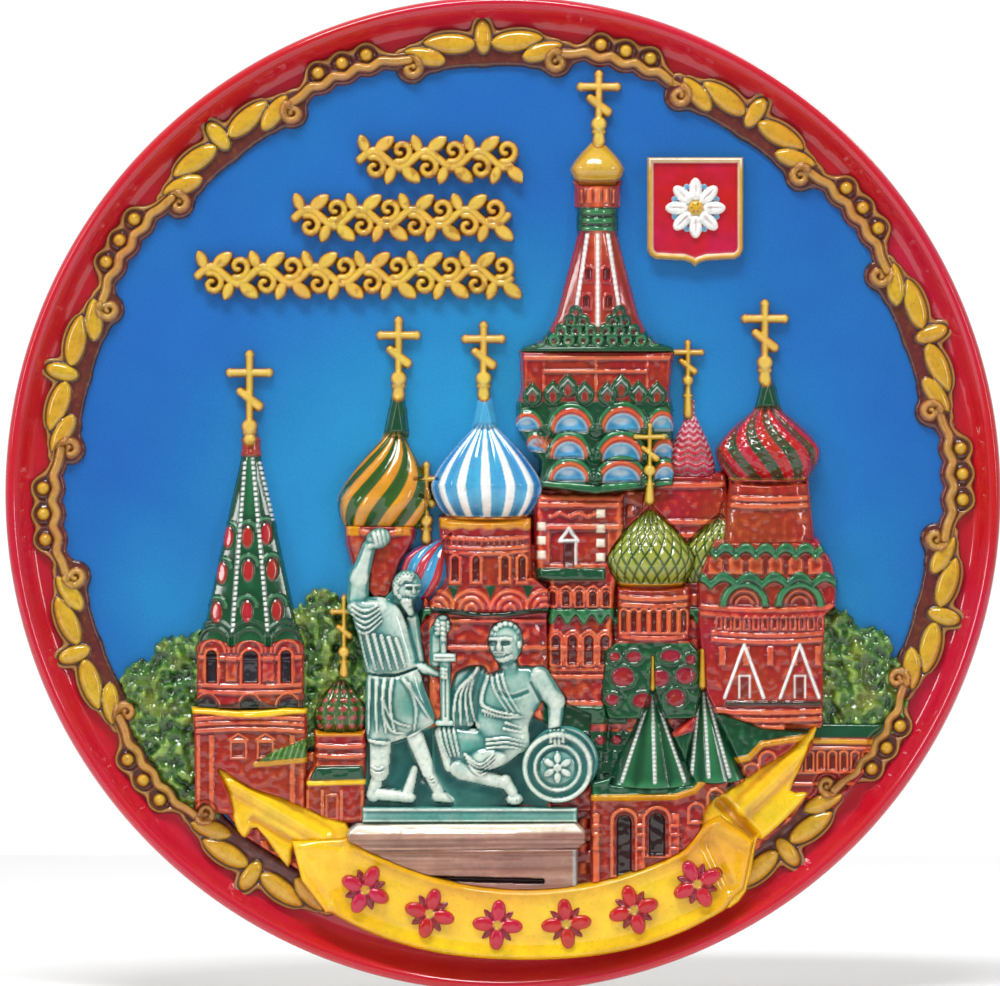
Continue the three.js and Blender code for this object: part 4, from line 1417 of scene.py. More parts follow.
class GateBelfry(Relief):
    """The gate tower's bell storey: three dark arches between brick piers, and a ledge below."""

    name = "gate_belfry"
    slot = "brick_glaze"
    x = -50.7

    def limits(self) -> tuple[float, float, float, float]:
        """The belfry's limits."""
        return self.x - 11.6, self.x + 11.6, -43.4, -27.6

    def outline(self) -> Shape:
        """A block under three round gables."""
        gables = [disc(self.x + off, -31.3, 3.4) for off in (-7.4, 0, 7.4)]
        return union([box(self.x - 10.9, self.x + 10.9, -43.2, -30.2), *gables])

    def model(self, clay: Clay) -> None:
        """Model the piers and openings."""
        clay.turned(self.x, 11.4, 6.4, 0.6)
        clay.dab(None, Paint.BRICK)
        for cx in (self.x - 7.4, self.x, self.x + 7.4):
            for radius in (3.2, 2.4):
                clay.bead(disc(cx, -31.6, radius).line(0.32) & above(-32), 0.35, 0.3)
        moulding(clay, self.x - 10.6, self.x + 10.6, (-32.6, -38.2, -39.4), 0.34, 0.4)
        for k in (-1, 1):
            pier = box(self.x + 3.7 * k - 1.2, self.x + 3.7 * k + 1.2, -37.6, -32.2)
            clay.bead(pier, 0.35, 0.4)
        bells = ((self.x - 7.7, 1.0), (self.x + 0.1, 1.55), (self.x + 7.2, 1.0))
        for cx, half in bells:
            niche(clay, arch(cx, -37.8, half, -31.4), Paint.SLATE, 1.4, 0.6)
        for cx, half in ((self.x - 8.6, 2.2), (self.x, 1.9), (self.x + 7.6, 2.0)):
            niche(clay, arch(cx, -42.8, half, -40.2), Paint.SLATE, 0.6, 0.4)
        brickwork(clay)
        for cx, half in bells:
            clay.dab(arch(cx, -37.6, half - 0.2, -31.6), Paint.SLATE)
        ledge = Shape(lambda x, z: -41.6 - z + 0.5 * np.cos((x - self.x) * 0.6))
        clay.dab(ledge, Paint.ROOF_DARK, 0.4, 0.8)


class GateBase(Relief):
    """The gate tower's base: yellow cornice, string courses, two framed windows, a lean-to roof."""

    name = "gate_base"
    slot = "brick_glaze"
    left = -62.6
    right = -39.2

    def limits(self) -> tuple[float, float, float, float]:
        """The base's limits."""
        return self.left, self.right + 1, -66.5, -42.2

    def outline(self) -> Shape:
        """The base's outline."""
        return polygon([(self.left, -42.6), (self.left + 0.5, -48), (self.left + 0.6, -63.6),
                        (self.right, -66.5), (self.right, -43), (-44, -42.4), (-52, -43)])

    def model(self, clay: Clay) -> None:
        """Model the wall."""
        clay.pillow(5.6, 1.2, 0.65)
        clay.dab(None, Paint.BRICK)
        moulding(clay, self.left, self.right, (-45.2, -46.3, -47.6), 0.36, -0.5)
        for px in (self.left + 1.4, -58.4, -42.2):
            clay.bead(box(px - 0.5, px + 0.5, -64, -48.2), 0.3, 0.3)
        for wx in (-53.0, -47.6):
            frame_out = box(wx - 1.5, wx + 1.5, -52.9, -49.6)
            clay.bead(frame_out.line(0.3), 0.35, 0.3)
            clay.bead(polygon([(wx - 1.8, -49.2), (wx + 1.8, -49.2), (wx, -48.0)]).line(0.25), 0.35, 0.25)
            clay.raise_by(frame_out.grow(-0.4), -0.25, 0.3)
        brickwork(clay)
        cornice = Shape(lambda x, z: 0.75 - np.abs(z + 43.6 + 0.4 * np.cos((x + 51) / 12 * math.pi)))
        clay.lay(cornice, 0.8, 0.6, Paint.YELLOW)
        roof = polygon([(-49.6, -54.0), (-46.5, -51.8), (-38.5, -48.6), (-38.5, -53.0)])
        clay.lay(roof, 0.9, 0.8, Paint.LEAF)
        for k in range(7):
            clay.dab(limb((-46.5 + 1.2 * k, -53.2), (-45.6 + 1.2 * k, -51.2 + 0.25 * k), 0.16),
                     Paint.LEAF_PALE, 0.3, 0.7)
        eave = limb((-49.6, -54.2), (-38.6, -53.2), 0.5)
        clay.lay(eave, 0.6, 0.4, Paint.YELLOW_DEEP)


class ChapelBody(Relief):
    """The small chapel under the red-spotted dome: yellow band, drum, green roof and wall."""

    name = "chapel_body"
    slot = "brick_glaze"
    extent = (-40.5, -27, -66.6, -46.6)

    def outline(self) -> Shape:
        """The chapel's outline."""
        return polygon([(-38.2, -47.2), (-38.0, -53.5), (-40.2, -57), (-40.2, -66), (-27.2, -66.4),
                        (-27.2, -46.8)])

    def model(self, clay: Clay) -> None:
        """Model the drum and the wall."""
        clay.pillow(4.8, 1.3, 0.5)
        clay.dab(None, Paint.BRICK)
        moulding(clay, -38, -27.4, (-50.4, -52.4), 0.35, 0.3)
        for px in (-39.2, -36.2, -32.4, -28.2):
            clay.bead(box(px - 0.4, px + 0.4, -65.5, -59.2), 0.3, 0.3)
        clay.bead(box(-35.4, -33.2, -65.2, -60.4).line(0.25), 0.3, 0.25)
        brickwork(clay)
        band = box(-37.6, -28.0, -48.6, -47.3)
        clay.lay(band, 0.5, 0.5, Paint.YELLOW_DEEP)
        roof = polygon([(-38.8, -57.4), (-37.6, -54.6), (-28.2, -54.4), (-27.6, -57.4)])
        clay.lay(roof, 0.8, 0.8, Paint.ROOF)
        eave = limb((-39.0, -58.0), (-27.6, -57.7), 0.5)
        clay.lay(eave, 0.5, 0.4, Paint.YELLOW)


class CrimsonTower(Relief):
    """The right-hand tower: scalloped green eaves, two ringed gables, an arcade, and white chevrons."""

    name = "crimson_tower_body"
    slot = "brick_glaze"
    extent = (38.5, 67.5, -49.2, -8.2)

    def outline(self) -> Shape:
        """The tower's outline."""
        return polygon([(42.4, -9.0), (40.0, -14.4), (38.9, -17.5), (39.2, -22.8), (39.0, -24.4),
                        (39.4, -29.5), (40.6, -40), (42.6, -45), (44, -49), (64.2, -48.8), (64.4, -30),
                        (64.8, -24.2), (66.7, -22.6), (67.0, -17.5), (66.0, -13.6), (63.2, -9.0)])

    def model(self, clay: Clay) -> None:
        """Model the tower from the top down."""
        clay.turned(53.0, 15.5, 6.6, 0.6)
        clay.dab(None, Paint.BRICK)
        for cx in (42.6, 46.6, 50.6, 54.6, 58.6, 62.6):
            clay.bead(arch(cx, -16.2, 1.5, -12.2), 0.4, 0.5)
        for cx in (48.3, 59.4):
            clay.raise_by(disc(cx, -22.2, 3.4) & above(-22.4), -0.5, 0.5)
            clay.bead(disc(cx, -22.2, 2.9).line(0.35) & above(-22.3), 0.4, 0.3)
            clay.bead(disc(cx, -22.2, 1.7).line(0.3) & above(-22.3), 0.3, 0.3)
        moulding(clay, 39, 67, (-22.6, -23.7), 0.42, 0.7)
        for k in range(12):
            cx = 43.2 + 1.85 * k
            clay.bead(arch(cx, -27.2, 0.55, -24.6).line(0.22), 0.35, 0.2)
        moulding(clay, 41.8, 64.8, (-27.8, -29.0), 0.38, 0.6)
        for k in range(5):
            clay.bead(box(43.2 + 4.8 * k, 44.6 + 4.8 * k, -34.4, -30.4), 0.3, 0.4)
        moulding(clay, 42.4, 64.4, (-43.4, -44.9, -46.4), 0.42, 0.4)
        brickwork(clay)
        eave = Shape(lambda x, z: 1.15 - np.abs(z + 12.2 - 1.5 * np.abs(np.sin((x - 42.6) * math.pi / 4.0))))
        arms = Shape(lambda x, z: 1.1 - np.abs(z + 18.2 - 1.6 * np.abs(np.sin((x - 41.6) * math.pi / 5.1))))
        outer, inner = (disc(48.3, -22.3, r) | disc(59.4, -22.3, r) for r in (5.0, 3.4))
        hoods = (outer & above(-22.6)) - inner | arms
        for green in (eave, hoods):
            clay.lay(green, 1.1, 0.9, Paint.ROOF)
            clay.wash_with_painted_light(Paint.ROOF_DARK, Paint.ROOF_PALE, 0.7, 0.6, 0.3, green)
        for cx in (48.3, 59.4):
            for side in (-1, 1):
                stroke = limb((cx, -30.2), (cx + side * 3.9, -40.8), 0.22)
                clay.raise_by(stroke, 0.3, 0.3)
                clay.dab(stroke.grow(0.06), Paint.WHITE, 0.22)
            door = box(cx - 1.0, cx + 1.1, -41.0, -36.4)
            left, right, head, sill = cx - 1, cx + 1.1, -36.4, -40.8
            for points in (((left, head), (right, head)), ((left, head), (left, sill)),
                           ((right, head), (right, sill))):
                clay.dab(limb(*points, 0.16), Paint.WHITE, 0.22, 0.9)
            clay.dab(door.grow(-0.3), Paint.BROWN, 0.3, 0.7)
            clay.dab(disc(cx, -35.2, 0.45), Paint.ROSE)
        ledge = box(44.5, 63.8, -42.4, -41.4)
        clay.lay(ledge, 0.5, 0.4, Paint.ROOF_DARK, 0.3, 0.9)


class ScaleDrum(Relief):
    """The drum under the scaled dome, and the green roof with red ovals below it."""

    name = "scale_dome_drum"
    slot = "brick_glaze"
    x = 30.2
    extent = (18.5, 40.5, -45.6, -18.2)

    def outline(self) -> Shape:
        """The drum standing on a bell-shaped roof."""
        return polygon([(22.8, -18.4), (22.8, -29.4), (20.2, -31.5), (19.4, -41.6), (21, -45.2),
                        (39, -45.2), (40.2, -41.6), (39.4, -31.5), (37.6, -29.4), (37.8, -18.4)])

    def model(self, clay: Clay) -> None:
        """Model the drum and its roof."""
        half = np.where(clay.z > -29.6, 7.8, 10.8)
        clay.turned(self.x, half, 6.2, 0.55)
        clay.dab(None, Paint.BRICK)
        moulding(clay, 22.6, 38, (-20.6, -22.0, -28.4), 0.4, 0.5, self.x)
        for k in range(-3, 4):
            niche(clay, arch(self.x + 2.0 * k, -27.6, 0.5, -23.4), Paint.BRICK_DARK, 0.35, 0.6)
        brickwork(clay)
        roof = below(-29.8)
        clay.dab(roof, Paint.ROOF)
        clay.wash_with_painted_light(Paint.ROOF_DARK, Paint.ROOF_PALE, 0.7, 0.6, 0.7, roof)
        for cx, cz, a, b in ((22.4, -32.6, 1.1, 0.9), (26.2, -32.6, 1.5, 1.1), (33.6, -32.4, 2.0, 1.2),
                             (37.6, -33.2, 1.0, 1.0), (24.0, -36.6, 2.2, 1.9), (31.4, -36.9, 1.9, 1.7),
                             (36.6, -36.4, 2.0, 1.7), (21.9, -41.2, 1.3, 1.1), (34.6, -40.8, 1.9, 1.7),
                             (28, -41.4, 2, 1.5)):
            ring = oval(cx, cz, a + 0.35, b + 0.35)
            clay.bead(ring.line(0.3), 0.45, 0.3)
            clay.lay(oval(cx, cz, a, b), 0.35, 0.8, Paint.CRIMSON_DARK)
            clay.dab(oval(cx, cz, a * 0.6, b * 0.6), Paint.BRICK, 0.6, 0.7)


class BlueDrum(Relief):
    """The large drum under the blue and white dome, with its gables and the wall below."""

    name = "blue_dome_drum"
    slot = "brick_glaze"
    x = -3.6
    extent = (-18.2, 18.6, -64.4, -4.6)

    def outline(self) -> Shape:
        """The drum on its wider wall."""
        return polygon([(-12.9, -4.6), (-12.3, -17), (-14.8, -21.6), (-14.6, -24), (-17.4, -27), (-17.6, -50),
                        (-9, -62), (18, -64), (18, -44), (9.4, -40), (9.0, -25), (9.4, -23.4), (9.2, -19),
                        (6.0, -16.5), (5.7, -4.6)])

    def model(self, clay: Clay) -> None:
        """Model the drum, its double gables and the wall."""
        half = np.where(clay.z > -17, 9.6, 12.4)
        centre = np.where(clay.z > -17, self.x, -2.6)
        clay.turned(centre, half, 6.4, 0.55)
        clay.dab(None, Paint.BRICK)
        moulding(clay, -12.8, 5.7, (-8.5, -10.4, -11.3), 0.3, 0.6, self.x)
        for k in range(14):
            clay.bead(box(-11.8 + 1.2 * k, -11.2 + 1.2 * k, -10.3, -8.9), 0.25, 0.25)
        for cx in (-9.6, -5.4, 0.4, 3.8):
            niche(clay, arch(cx, -17.4, 0.6, -12.6), Paint.BRICK_DARK, 0.4, 0.7)
        brickwork(clay)
        band = Shape(lambda x, z: 1.1 - np.abs(z + 5.9 + 0.2 * np.sin(x * 1.7)))
        clay.lay(band, 0.5, 0.8, Paint.YELLOW_DEEP, 0.4)
        gable_row(clay, [(-13.4, -23.2), (-6.4, -23.2), (1.4, -23.2), (8.4, -23.2)], 4.1, Paint.BRICK,
                  Paint.BRICK_PALE, 3, 0.9)
        for cx in (-9.9, -2.5, 5.0):
            patch = polygon([(cx - 1.2, -18.3), (cx + 1.2, -18.3), (cx, -21.2)])
            clay.dab(patch, Paint.ROOF, 0.4)
        eave = Shape(lambda x, z: 0.6 - np.abs(z + 23.8 + 0.5 * np.cos((x + 2.6) / 11 * math.pi)))
        clay.lay(eave, 0.8, 0.5, Paint.ROOF_DARK)
        moulding(clay, -12.6, 8.8, (-25.4, -30.8), 0.3)
        clay.wash_with_painted_light(Paint.BRICK_DARK, Paint.BRICK_PALE, 0.8, 0.8, 1.4, below(-24.6))
        low = polygon([(8, -41.5), (19, -43.6), (19, -48), (8, -48)])
        clay.dab(low, Paint.ROOF, 0.4)
        clay.lay(limb((8, -48.2), (19, -48.2), 0.5), 0.6, 0.4, Paint.ROOF_DARK)


class Gallery(Relief):
    """The arcaded gallery wall with its green skirt roof and yellow cornice."""

    name = "gallery_wall"
    slot = "brick_glaze"
    extent = (17.0, 62.6, -79, -42.4)

    def roofline(self) -> list[Point]:
        """The cornice's points, from left to right."""
        return [(17.6, -60.9), (34.5, -60.7), (38.4, -59.4), (42.7, -54.8), (44.2, -54.0), (49.2, -52.9),
                (51.8, -50.2), (56.2, -49.4), (62.4, -48.6)]

    def outline(self) -> Shape:
        """Wall and roof together."""
        return polygon([(17.4, -78.6), (17.4, -57.6), (22.5, -56.2), (38, -44.4), (44, -43.4), (52, -46.4),
                        (62, -47.4), (62.4, -50.5), (58, -58), (44, -70), (34, -78.6)])

    def model(self, clay: Clay) -> None:
        """Model roof, cornice, wall and arches."""
        clay.pillow(5.6, 1.0, 0.6)
        clay.dab(None, Paint.BRICK)
        line = self.roofline()
        doors = ((24.3, -76.6, 1.45, -64.4), (30.9, -72.6, 1.6, -64.0))
        for cx, foot, half, top in doors:
            clay.bead(arch(cx, foot, half + 1.0, top + 1.2).line(0.4), 0.5, 0.4)
        for px in (18.6, 27.8, 34.6):
            clay.bead(box(px - 0.8, px + 0.8, -78, -64), 0.5, 0.5)
            for level in (-66.4, -68.2, -71.0):
                clay.bead(box(px - 1.1, px + 1.1, level - 0.35, level + 0.35), 0.35, 0.3)
        for cx, cz in ((38.8, -63.4), (42.6, -60.6), (46.6, -58.2), (49.8, -55.4), (53.0, -53.0)):
            clay.bead(arch(cx, cz - 2.4, 1.6, cz + 1.4).line(0.3), 0.45, 0.3)
        brickwork(clay)
        for cx, foot, half, top in doors:
            niche(clay, arch(cx, foot, half, top), Paint.UMBER, 2.2, 0.3)
        for cx, cz in ((42.4, -61.6), (45.6, -58.9)):
            niche(clay, arch(cx, cz - 1.6, 0.85, cz + 1.3), Paint.UMBER, 0.9, 0.3)
        cornice = polygon([*line, *[(x, z + 12) for x, z in reversed(line)]])
        clay.dab(cornice, Paint.ROOF)
        clay.raise_by(cornice, 0.5, 0.5)
        clay.h = clay.h - 0.08 * np.clip(clay.z + 56, 0, 12) * (cornice(clay.x, clay.z) > 0)
        clay.wash_with_painted_light(Paint.ROOF_DARK, Paint.ROOF_PALE, 0.8, 0.4, 0.5, cornice)
        roll = chain(line, 0.62)
        clay.lay(roll, 0.8, 0.55, Paint.YELLOW_DEEP)


class GalleryRight(Relief):
    """The low gallery to the right, under a green roof with a yellow eave."""

    name = "gallery_right"
    slot = "brick_glaze"
    extent = (54, 79, -64, -45.4)

    def outline(self) -> Shape:
        """The gallery's outline."""
        return polygon([(56, -45.8), (78.8, -46.0), (75.6, -50.4), (73, -56), (66.5, -63.6), (56, -60)])

    def model(self, clay: Clay) -> None:
        """Model roof, eave and arcade."""
        clay.pillow(3.4, 0.9, 0.6)
        clay.dab(None, Paint.CRIMSON_DARK)
        for k in range(7):
            cx = 59.2 + 2.3 * k
            clay.bead(arch(cx, -55.4, 0.75, -51.6).line(0.25), 0.4, 0.25)
            clay.raise_by(arch(cx, -55.4, 0.5, -52), -0.3, 0.3)
        for level in (-51.0, -55.9, -58.2):
            clay.bead(box(56, 76, level - 0.3, level + 0.3), 0.35, 0.3)
        clay.dab(None, Paint.BRICK, 0.3, 0.35)
        clay.wash_with_painted_light(Paint.BRICK_DARK, Paint.BRICK_PALE, 0.7, 0.9, 1.3)
        roof = box(50, 80, -48.9, -45)
        clay.dab(roof, Paint.ROOF)
        eave = limb((56, -49.4), (77, -49.9), 0.5)
        clay.lay(eave, 0.6, 0.45, Paint.YELLOW_DEEP)


@dataclass
class Tent(Relief):
    """A faceted green tent roof with dotted white ribs and a gilded point."""

    name: str
    x: float
    foot: float
    top: float
    half_foot: float
    tip: float
    ribs: Sequence[tuple[float, float]]
    lean: float = 0.0
    height: float = 7.0
    slot: str = "roof_glaze"

    def limits(self) -> tuple[float, float, float, float]:
        """The tent's limits."""
        return self.x - self.half_foot - 1, self.x + self.half_foot + 1, self.foot - 1.2, self.tip + 0.6

    def outline(self) -> Shape:
        """The tent and its gilded point."""

        def depth(x: Grid, z: Grid) -> Grid:
            """Give the depth inside the cone."""
            share = np.clip((z - self.foot) / (self.top - self.foot), 0, 1)
            half = self.half_foot * (1 - share) ** 1.08 + 0.7
            dip = 0.7 * (1 - ((x - self.x) / self.half_foot) ** 2)
            return np.minimum((half - np.abs(x - self.x - self.lean * share)) * 0.93,
                              np.minimum(z - self.foot + dip, self.top + 0.6 - z))

        tip_x = self.x + self.lean
        return Shape(depth) | limb((tip_x, self.top - 0.6), (tip_x, self.tip), 0.85, 0.6)

    def model(self, clay: Clay) -> None:
        """Raise the cone, its facets and ribs."""
        share = np.clip((clay.z - self.foot) / (self.top - self.foot), 0, 1)
        half = self.half_foot * (1 - share) + 0.9
        across = np.clip((clay.x - self.x - self.lean * share) / half, -1, 1)
        facet = 0.35 * np.abs(np.cos(across * 4.4))
        clay.h = (self.height - (self.height - 2.2) * share) * (1 - 0.5 * across ** 2) * (
            0.5 + 0.5 * step(clay.out, -0.3, 0.4)) + facet * (1.1 - share)
        clay.dab(None, Paint.ROOF)
        clay.wash_with_painted_light(Paint.ROOF_DARK, Paint.ROOF_PALE, 1.0, 0.3, 0.6)
        for head, foot in self.ribs:
            low = self.foot + 0.9 + 0.36 * (foot / self.half_foot) ** 2
            high = self.top - 1.6 - abs(head) * 0.8
            stroke = limb((self.x + self.lean + head, high), (self.x + foot, low), 0.24, 0.3)
            depth = stroke(clay.x, clay.z)
            beads = 0.5 + 0.5 * np.cos(clay.z * 2 * math.pi / 0.85)
            clay.h = clay.h + 0.45 * step(depth, -0.15, 0.25) * (0.55 + 0.45 * beads)
            clay.tint(step(depth, -0.15, 0.1) * (0.45 + 0.55 * beads), Paint.WHITE)
        point = limb((self.x + self.lean, self.top - 0.2), (self.x + self.lean, self.tip), 0.85, 0.6)
        inflate(clay, point, 6.4, 0.8, 3.0)
        # Painted shade round the gilded point's edge.
        clay.dab(point.grow(0.2), Paint.GOLD_DARK)
        clay.dab(point, Paint.GOLD)


@dataclass
class Trees(Relief):
    """A stand of trees with knobbly foliage."""

    name: str
    crowns: Sequence[tuple[float, float, float]]
    block: Sequence[Point]
    depth: float = 2.6
    slot: str = "leaf_glaze"

    def limits(self) -> tuple[float, float, float, float]:
        """The trees' limits."""
        return span([*self.block, *[(x + side * r, z + r) for x, z, r in self.crowns for side in (-1, 1)]])

    def outline(self) -> Shape:
        """The crowns joined to the block below them, with a frayed edge."""
        whole = curved(self.block)
        for cx, cz, radius in self.crowns:
            whole = whole.blend(disc(cx, cz, radius), 1.2)
        return Shape(lambda x, z: whole(x, z) + 0.22 * np.sin(x * 3.1 + 1.3 * z)
                     + 0.2 * np.sin(2.3 * z - 2.2 * x))

    def model(self, clay: Clay) -> None:
        """Raise the foliage and stipple it, with painted shade in the stipple's hollows and painted highlight
        specks on its knobs.
        """
        clay.pillow(self.depth, 3.0, 0.4)
        fine, coarse = clay.noise(0.8), clay.noise(2.2)
        clay.h = clay.h + (0.32 * fine + 0.16 * coarse) * step(clay.out, 0.0, 0.8)
        clay.dab(None, Paint.LEAF)
        # Painted shade where the stipple sinks, painted highlight specks where it rises.
        clay.tint(np.clip(-fine * 0.7 - 0.1, 0, 0.9), Paint.LEAF_DARK)
        clay.tint(np.clip((fine - 0.5) * 0.75, 0, 0.85), Paint.LEAF_PALE)
        clay.tint(np.clip(coarse * 0.25, 0, 0.5), Paint.LIME)


# ---------------------------------------------------------------------------------------------
# Gilded ornaments
# ---------------------------------------------------------------------------------------------


def curl(cx: float, cz: float, radius: float, start: float, turns: float, thick: float) -> Shape:
    """A stroke that winds inwards.

    Args:
        cx: Centre of the curl.
        cz: Centre of the curl.
        radius: Radius it starts at.
        start: Angle it starts at, in degrees.
        turns: How far it winds, in whole turns (negative for clockwise).
        thick: Half width of the stroke where it starts.

    Returns:
        The curl's region.
    """
    steps = max(8, round(abs(turns) * 12))
    points = []
    for k in range(steps + 1):
        share = k / steps
        points.append(polar(radius * (1 - 0.78 * share), start + 360 * turns * share, cx, cz))
    return chain(points, thick, thick * 0.75)


@dataclass
class Garland(Relief):
    """One repeat of the rim's garland: five leaves, two scrolls and a beaded ribbon."""

    name: str
    angle: float
    ribbon: bool = True
    slot: str = "gold_glaze"
    scroll_radius: float = 87.6
    scroll_turn: float = 9.6
    bead_radius: float = 92.5
    bead_turns: Sequence[float] = (-14.8, -18.0, -21.2)
    repeat: float = 36.0

    def at(self, radius: float, turn: float) -> Point:
        """A point by its radius and its angle from the middle leaf."""
        return polar(radius, self.angle + turn)

    def limits(self) -> tuple[float, float, float, float]:
        """The repeat's limits."""
        first = -29 if self.ribbon else -14
        return span(self.at(r, t) for r in (83.5, 97) for t in range(first, 16, 2))

    def leaves(self) -> list[Shape]:
        """The five leaves, the middle one first."""
        made = [oval(*self.at(92.0, 0), 3.5, 1.75, self.angle)]
        for side in (-1, 1):
            heading = self.angle + side * 90
            made.append(leaf(*self.at(91.2, 4.3 * side), 10.4, 3.9, heading - 8 * side + 4.3 * side))
            made.append(leaf(*self.at(89.4, 7.6 * side), 8.4, 3.4, heading - 24 * side + 7.4 * side))
        return made

    def scrolls(self) -> list[Shape]:
        """The two curls."""
        made = []
        for side in (-1, 1):
            turn = self.scroll_turn * side
            made.append(curl(*self.at(self.scroll_radius, turn), 2.0, self.angle + turn, -side * 1.2, 0.7))
        return made

    def ribbons(self) -> Shape:
        """The ribbon that leads from curl to curl under the beads."""
        start = -self.scroll_turn
        path = [(self.scroll_radius + 1.75, start - 0.1), (89.7, start - 2.0), (90.5, start - 3.6)]
        for k, turn in enumerate(self.bead_turns):
            path.append((89.9, turn))
            if k < 2:
                path.append((90.7, turn - 1.6))
        end = self.scroll_turn - self.repeat
        path += [(90.5, end + 3.6), (89.7, end + 2.0), (self.scroll_radius + 1.75, end + 0.1)]
        return chain(smooth_path([self.at(r, t) for r, t in path], 4), 0.92)

    def ground(self) -> Shape:
        """The painted ground that everything stands on."""
        whole = self.leaves()[0].grow(0.8)
        for one in self.leaves()[1:]:
            whole = whole.blend(one.grow(0.85), 1.6)
        for side in (-1, 1):
            whole = whole.blend(disc(*self.at(self.scroll_radius, self.scroll_turn * side), 3.0), 1.4)
            whole = whole.blend(disc(*self.at(90.6, 10.8 * side), 1.1), 1.6)
        stem = chain([self.at(87.6, t) for t in (-10, -6, -3, 0, 3, 6, 10)], 1.3)
        whole = whole.blend(stem, 1.2)
        if self.ribbon:
            whole = whole.blend(self.ribbons().grow(0.75), 1.4)
            for turn in self.bead_turns:
                whole = whole.blend(disc(*self.at(self.bead_radius, turn), 2.6), 2.4)
        return whole

    def outline(self) -> Shape:
        """The ground with its shadow."""
        return self.ground().grow(0.2)

    def model(self, clay: Clay) -> None:
        """Raise the ground, then leaves, curls, ribbon and beads, with painted shade along the ground's inner
        side, in the grooves round the beads and round the foot of each leaf.
        """
        ground = self.ground()
        clay.pillow(1.0, 0.9, 0.2)
        clay.dab(None, Paint.BROWN)
        reach = np.hypot(clay.x, clay.z)
        depth = ground(clay.x, clay.z)
        outer = step(reach, 89.0, 91.5) * step(-np.abs(depth - 0.35), -0.42, -0.1)
        clay.h = clay.h + 0.4 * outer
        # Painted shadow along the inner side of the ground.
        clay.tint(step(-reach, -88.6, -87.4) * step(-depth, -0.9, 0.2), Paint.UMBER)
        for one in self.leaves():
            clay.bead(one, 1.35, 1.5)
        curls = self.scrolls()
        for one in curls:
            clay.bead(one, 1.1, 0.6)
        if self.ribbon:
            ribbon = self.ribbons()
            clay.bead(ribbon, 1.0, 0.8)
            clay.bead(ribbon.line(0.16), -0.25, 0.15)
            beads = [self.at(self.bead_radius, turn) for turn in self.bead_turns]
            for bead in beads:
                clay.bead(disc(*bead, 1.2), 1.3, 1.1)
                clay.raise_by(disc(*bead, 1.9).line(0.35), -0.35, 0.4)
                # Painted shade in the groove round each bead.
                clay.dab(disc(*bead, 1.95).line(0.3), Paint.UMBER, 0.4, 0.6)
            clay.dab(ribbon, Paint.GOLD_DARK)
            clay.dab(ribbon.grow(-0.15), Paint.TAN)
            for bead in beads:
                clay.dab(disc(*bead, 1.15), Paint.GOLD, 0.4)
        for one in self.leaves():
            clay.dab(one.grow(-0.05), Paint.GOLD, 0.35)
            # Painted shade round the foot of each leaf.
            clay.dab(one.grow(0.3) - one.grow(-0.12), Paint.UMBER, 0.3, 0.75)
        for one in curls:
            clay.dab(one.grow(0.2), Paint.GOLD_DARK)
            clay.dab(one.grow(-0.05), Paint.TAN)
        clay.tint(outer * 0.75, Paint.TAN)
        streaks = clay.noise(0.5)
        clay.tint(np.clip(streaks * 0.12, 0, 0.3), Paint.GOLD_DARK)


@dataclass
class TitleVine(Relief):
    """A running gilded vine: a wavy stem with curls and leaves on both sides."""

    name: str
    left: float
    right: float
    middle: float
    slot: str = "gold_glaze"
    wave: float = 1.7
    pitch: float = 10.6

    def limits(self) -> tuple[float, float, float, float]:
        """The vine's limits."""
        return self.left - 1.5, self.right + 1.5, self.middle - 5.4, self.middle + 5.4

    def stem(self) -> Shape:
        """The wavy stem."""
        count = round((self.right - self.left) / 1.3)
        points = []
        for i in range(count + 1):
            x = self.left + (self.right - self.left) * i / count
            points.append((x, self.middle + self.wave * math.sin(2 * math.pi * (x - self.left) / self.pitch)))
        return chain(points, 0.85, 0.75)

    def sprigs(self) -> list[Shape]:
        """Curls and leaves, one pair to each half wave."""
        made: list[Shape] = []
        halves = int((self.right - self.left) / (self.pitch / 2) + 0.35)
        for i in range(halves):
            x = self.left + self.pitch * (0.5 * i + 0.25)
            if x > self.right - 0.5:
                break
            side = 1 if i % 2 == 0 else -1
            made.append(curl(x + 0.2, self.middle - side * 1.7, 2.3, 110 * side, -side * 1.05, 0.72))
            made.append(leaf(x + 2.3, self.middle + side * 3.1, 4.6, 2.5, side * 38))
            made.append(leaf(x - 2.0, self.middle + side * 3.2, 3.8, 2.1, side * 112))
        return made

    def outline(self) -> Shape:
        """Stem, curls and leaves together."""
        return union([self.stem(), *self.sprigs()]).grow(0.12)

    def model(self, clay: Clay) -> None:
        """Raise and gild the vine, with painted shade at its edges and a painted highlight along its middle.
        """
        clay.pillow(2.1, 0.95, 0.45)
        # Painted shade at the edges, gold inside, a painted highlight along the middle.
        clay.dab(None, Paint.GOLD_DARK)
        clay.dab(self.outline().grow(-0.2), Paint.GOLD, 0.35)
        clay.dab(self.outline().grow(-0.62), Paint.GOLD_PALE, 0.4, 0.4)
        marks = clay.noise(0.7)
        clay.tint(np.clip((-marks - 0.9) * 0.5, 0, 0.6), Paint.GOLD_DARK)


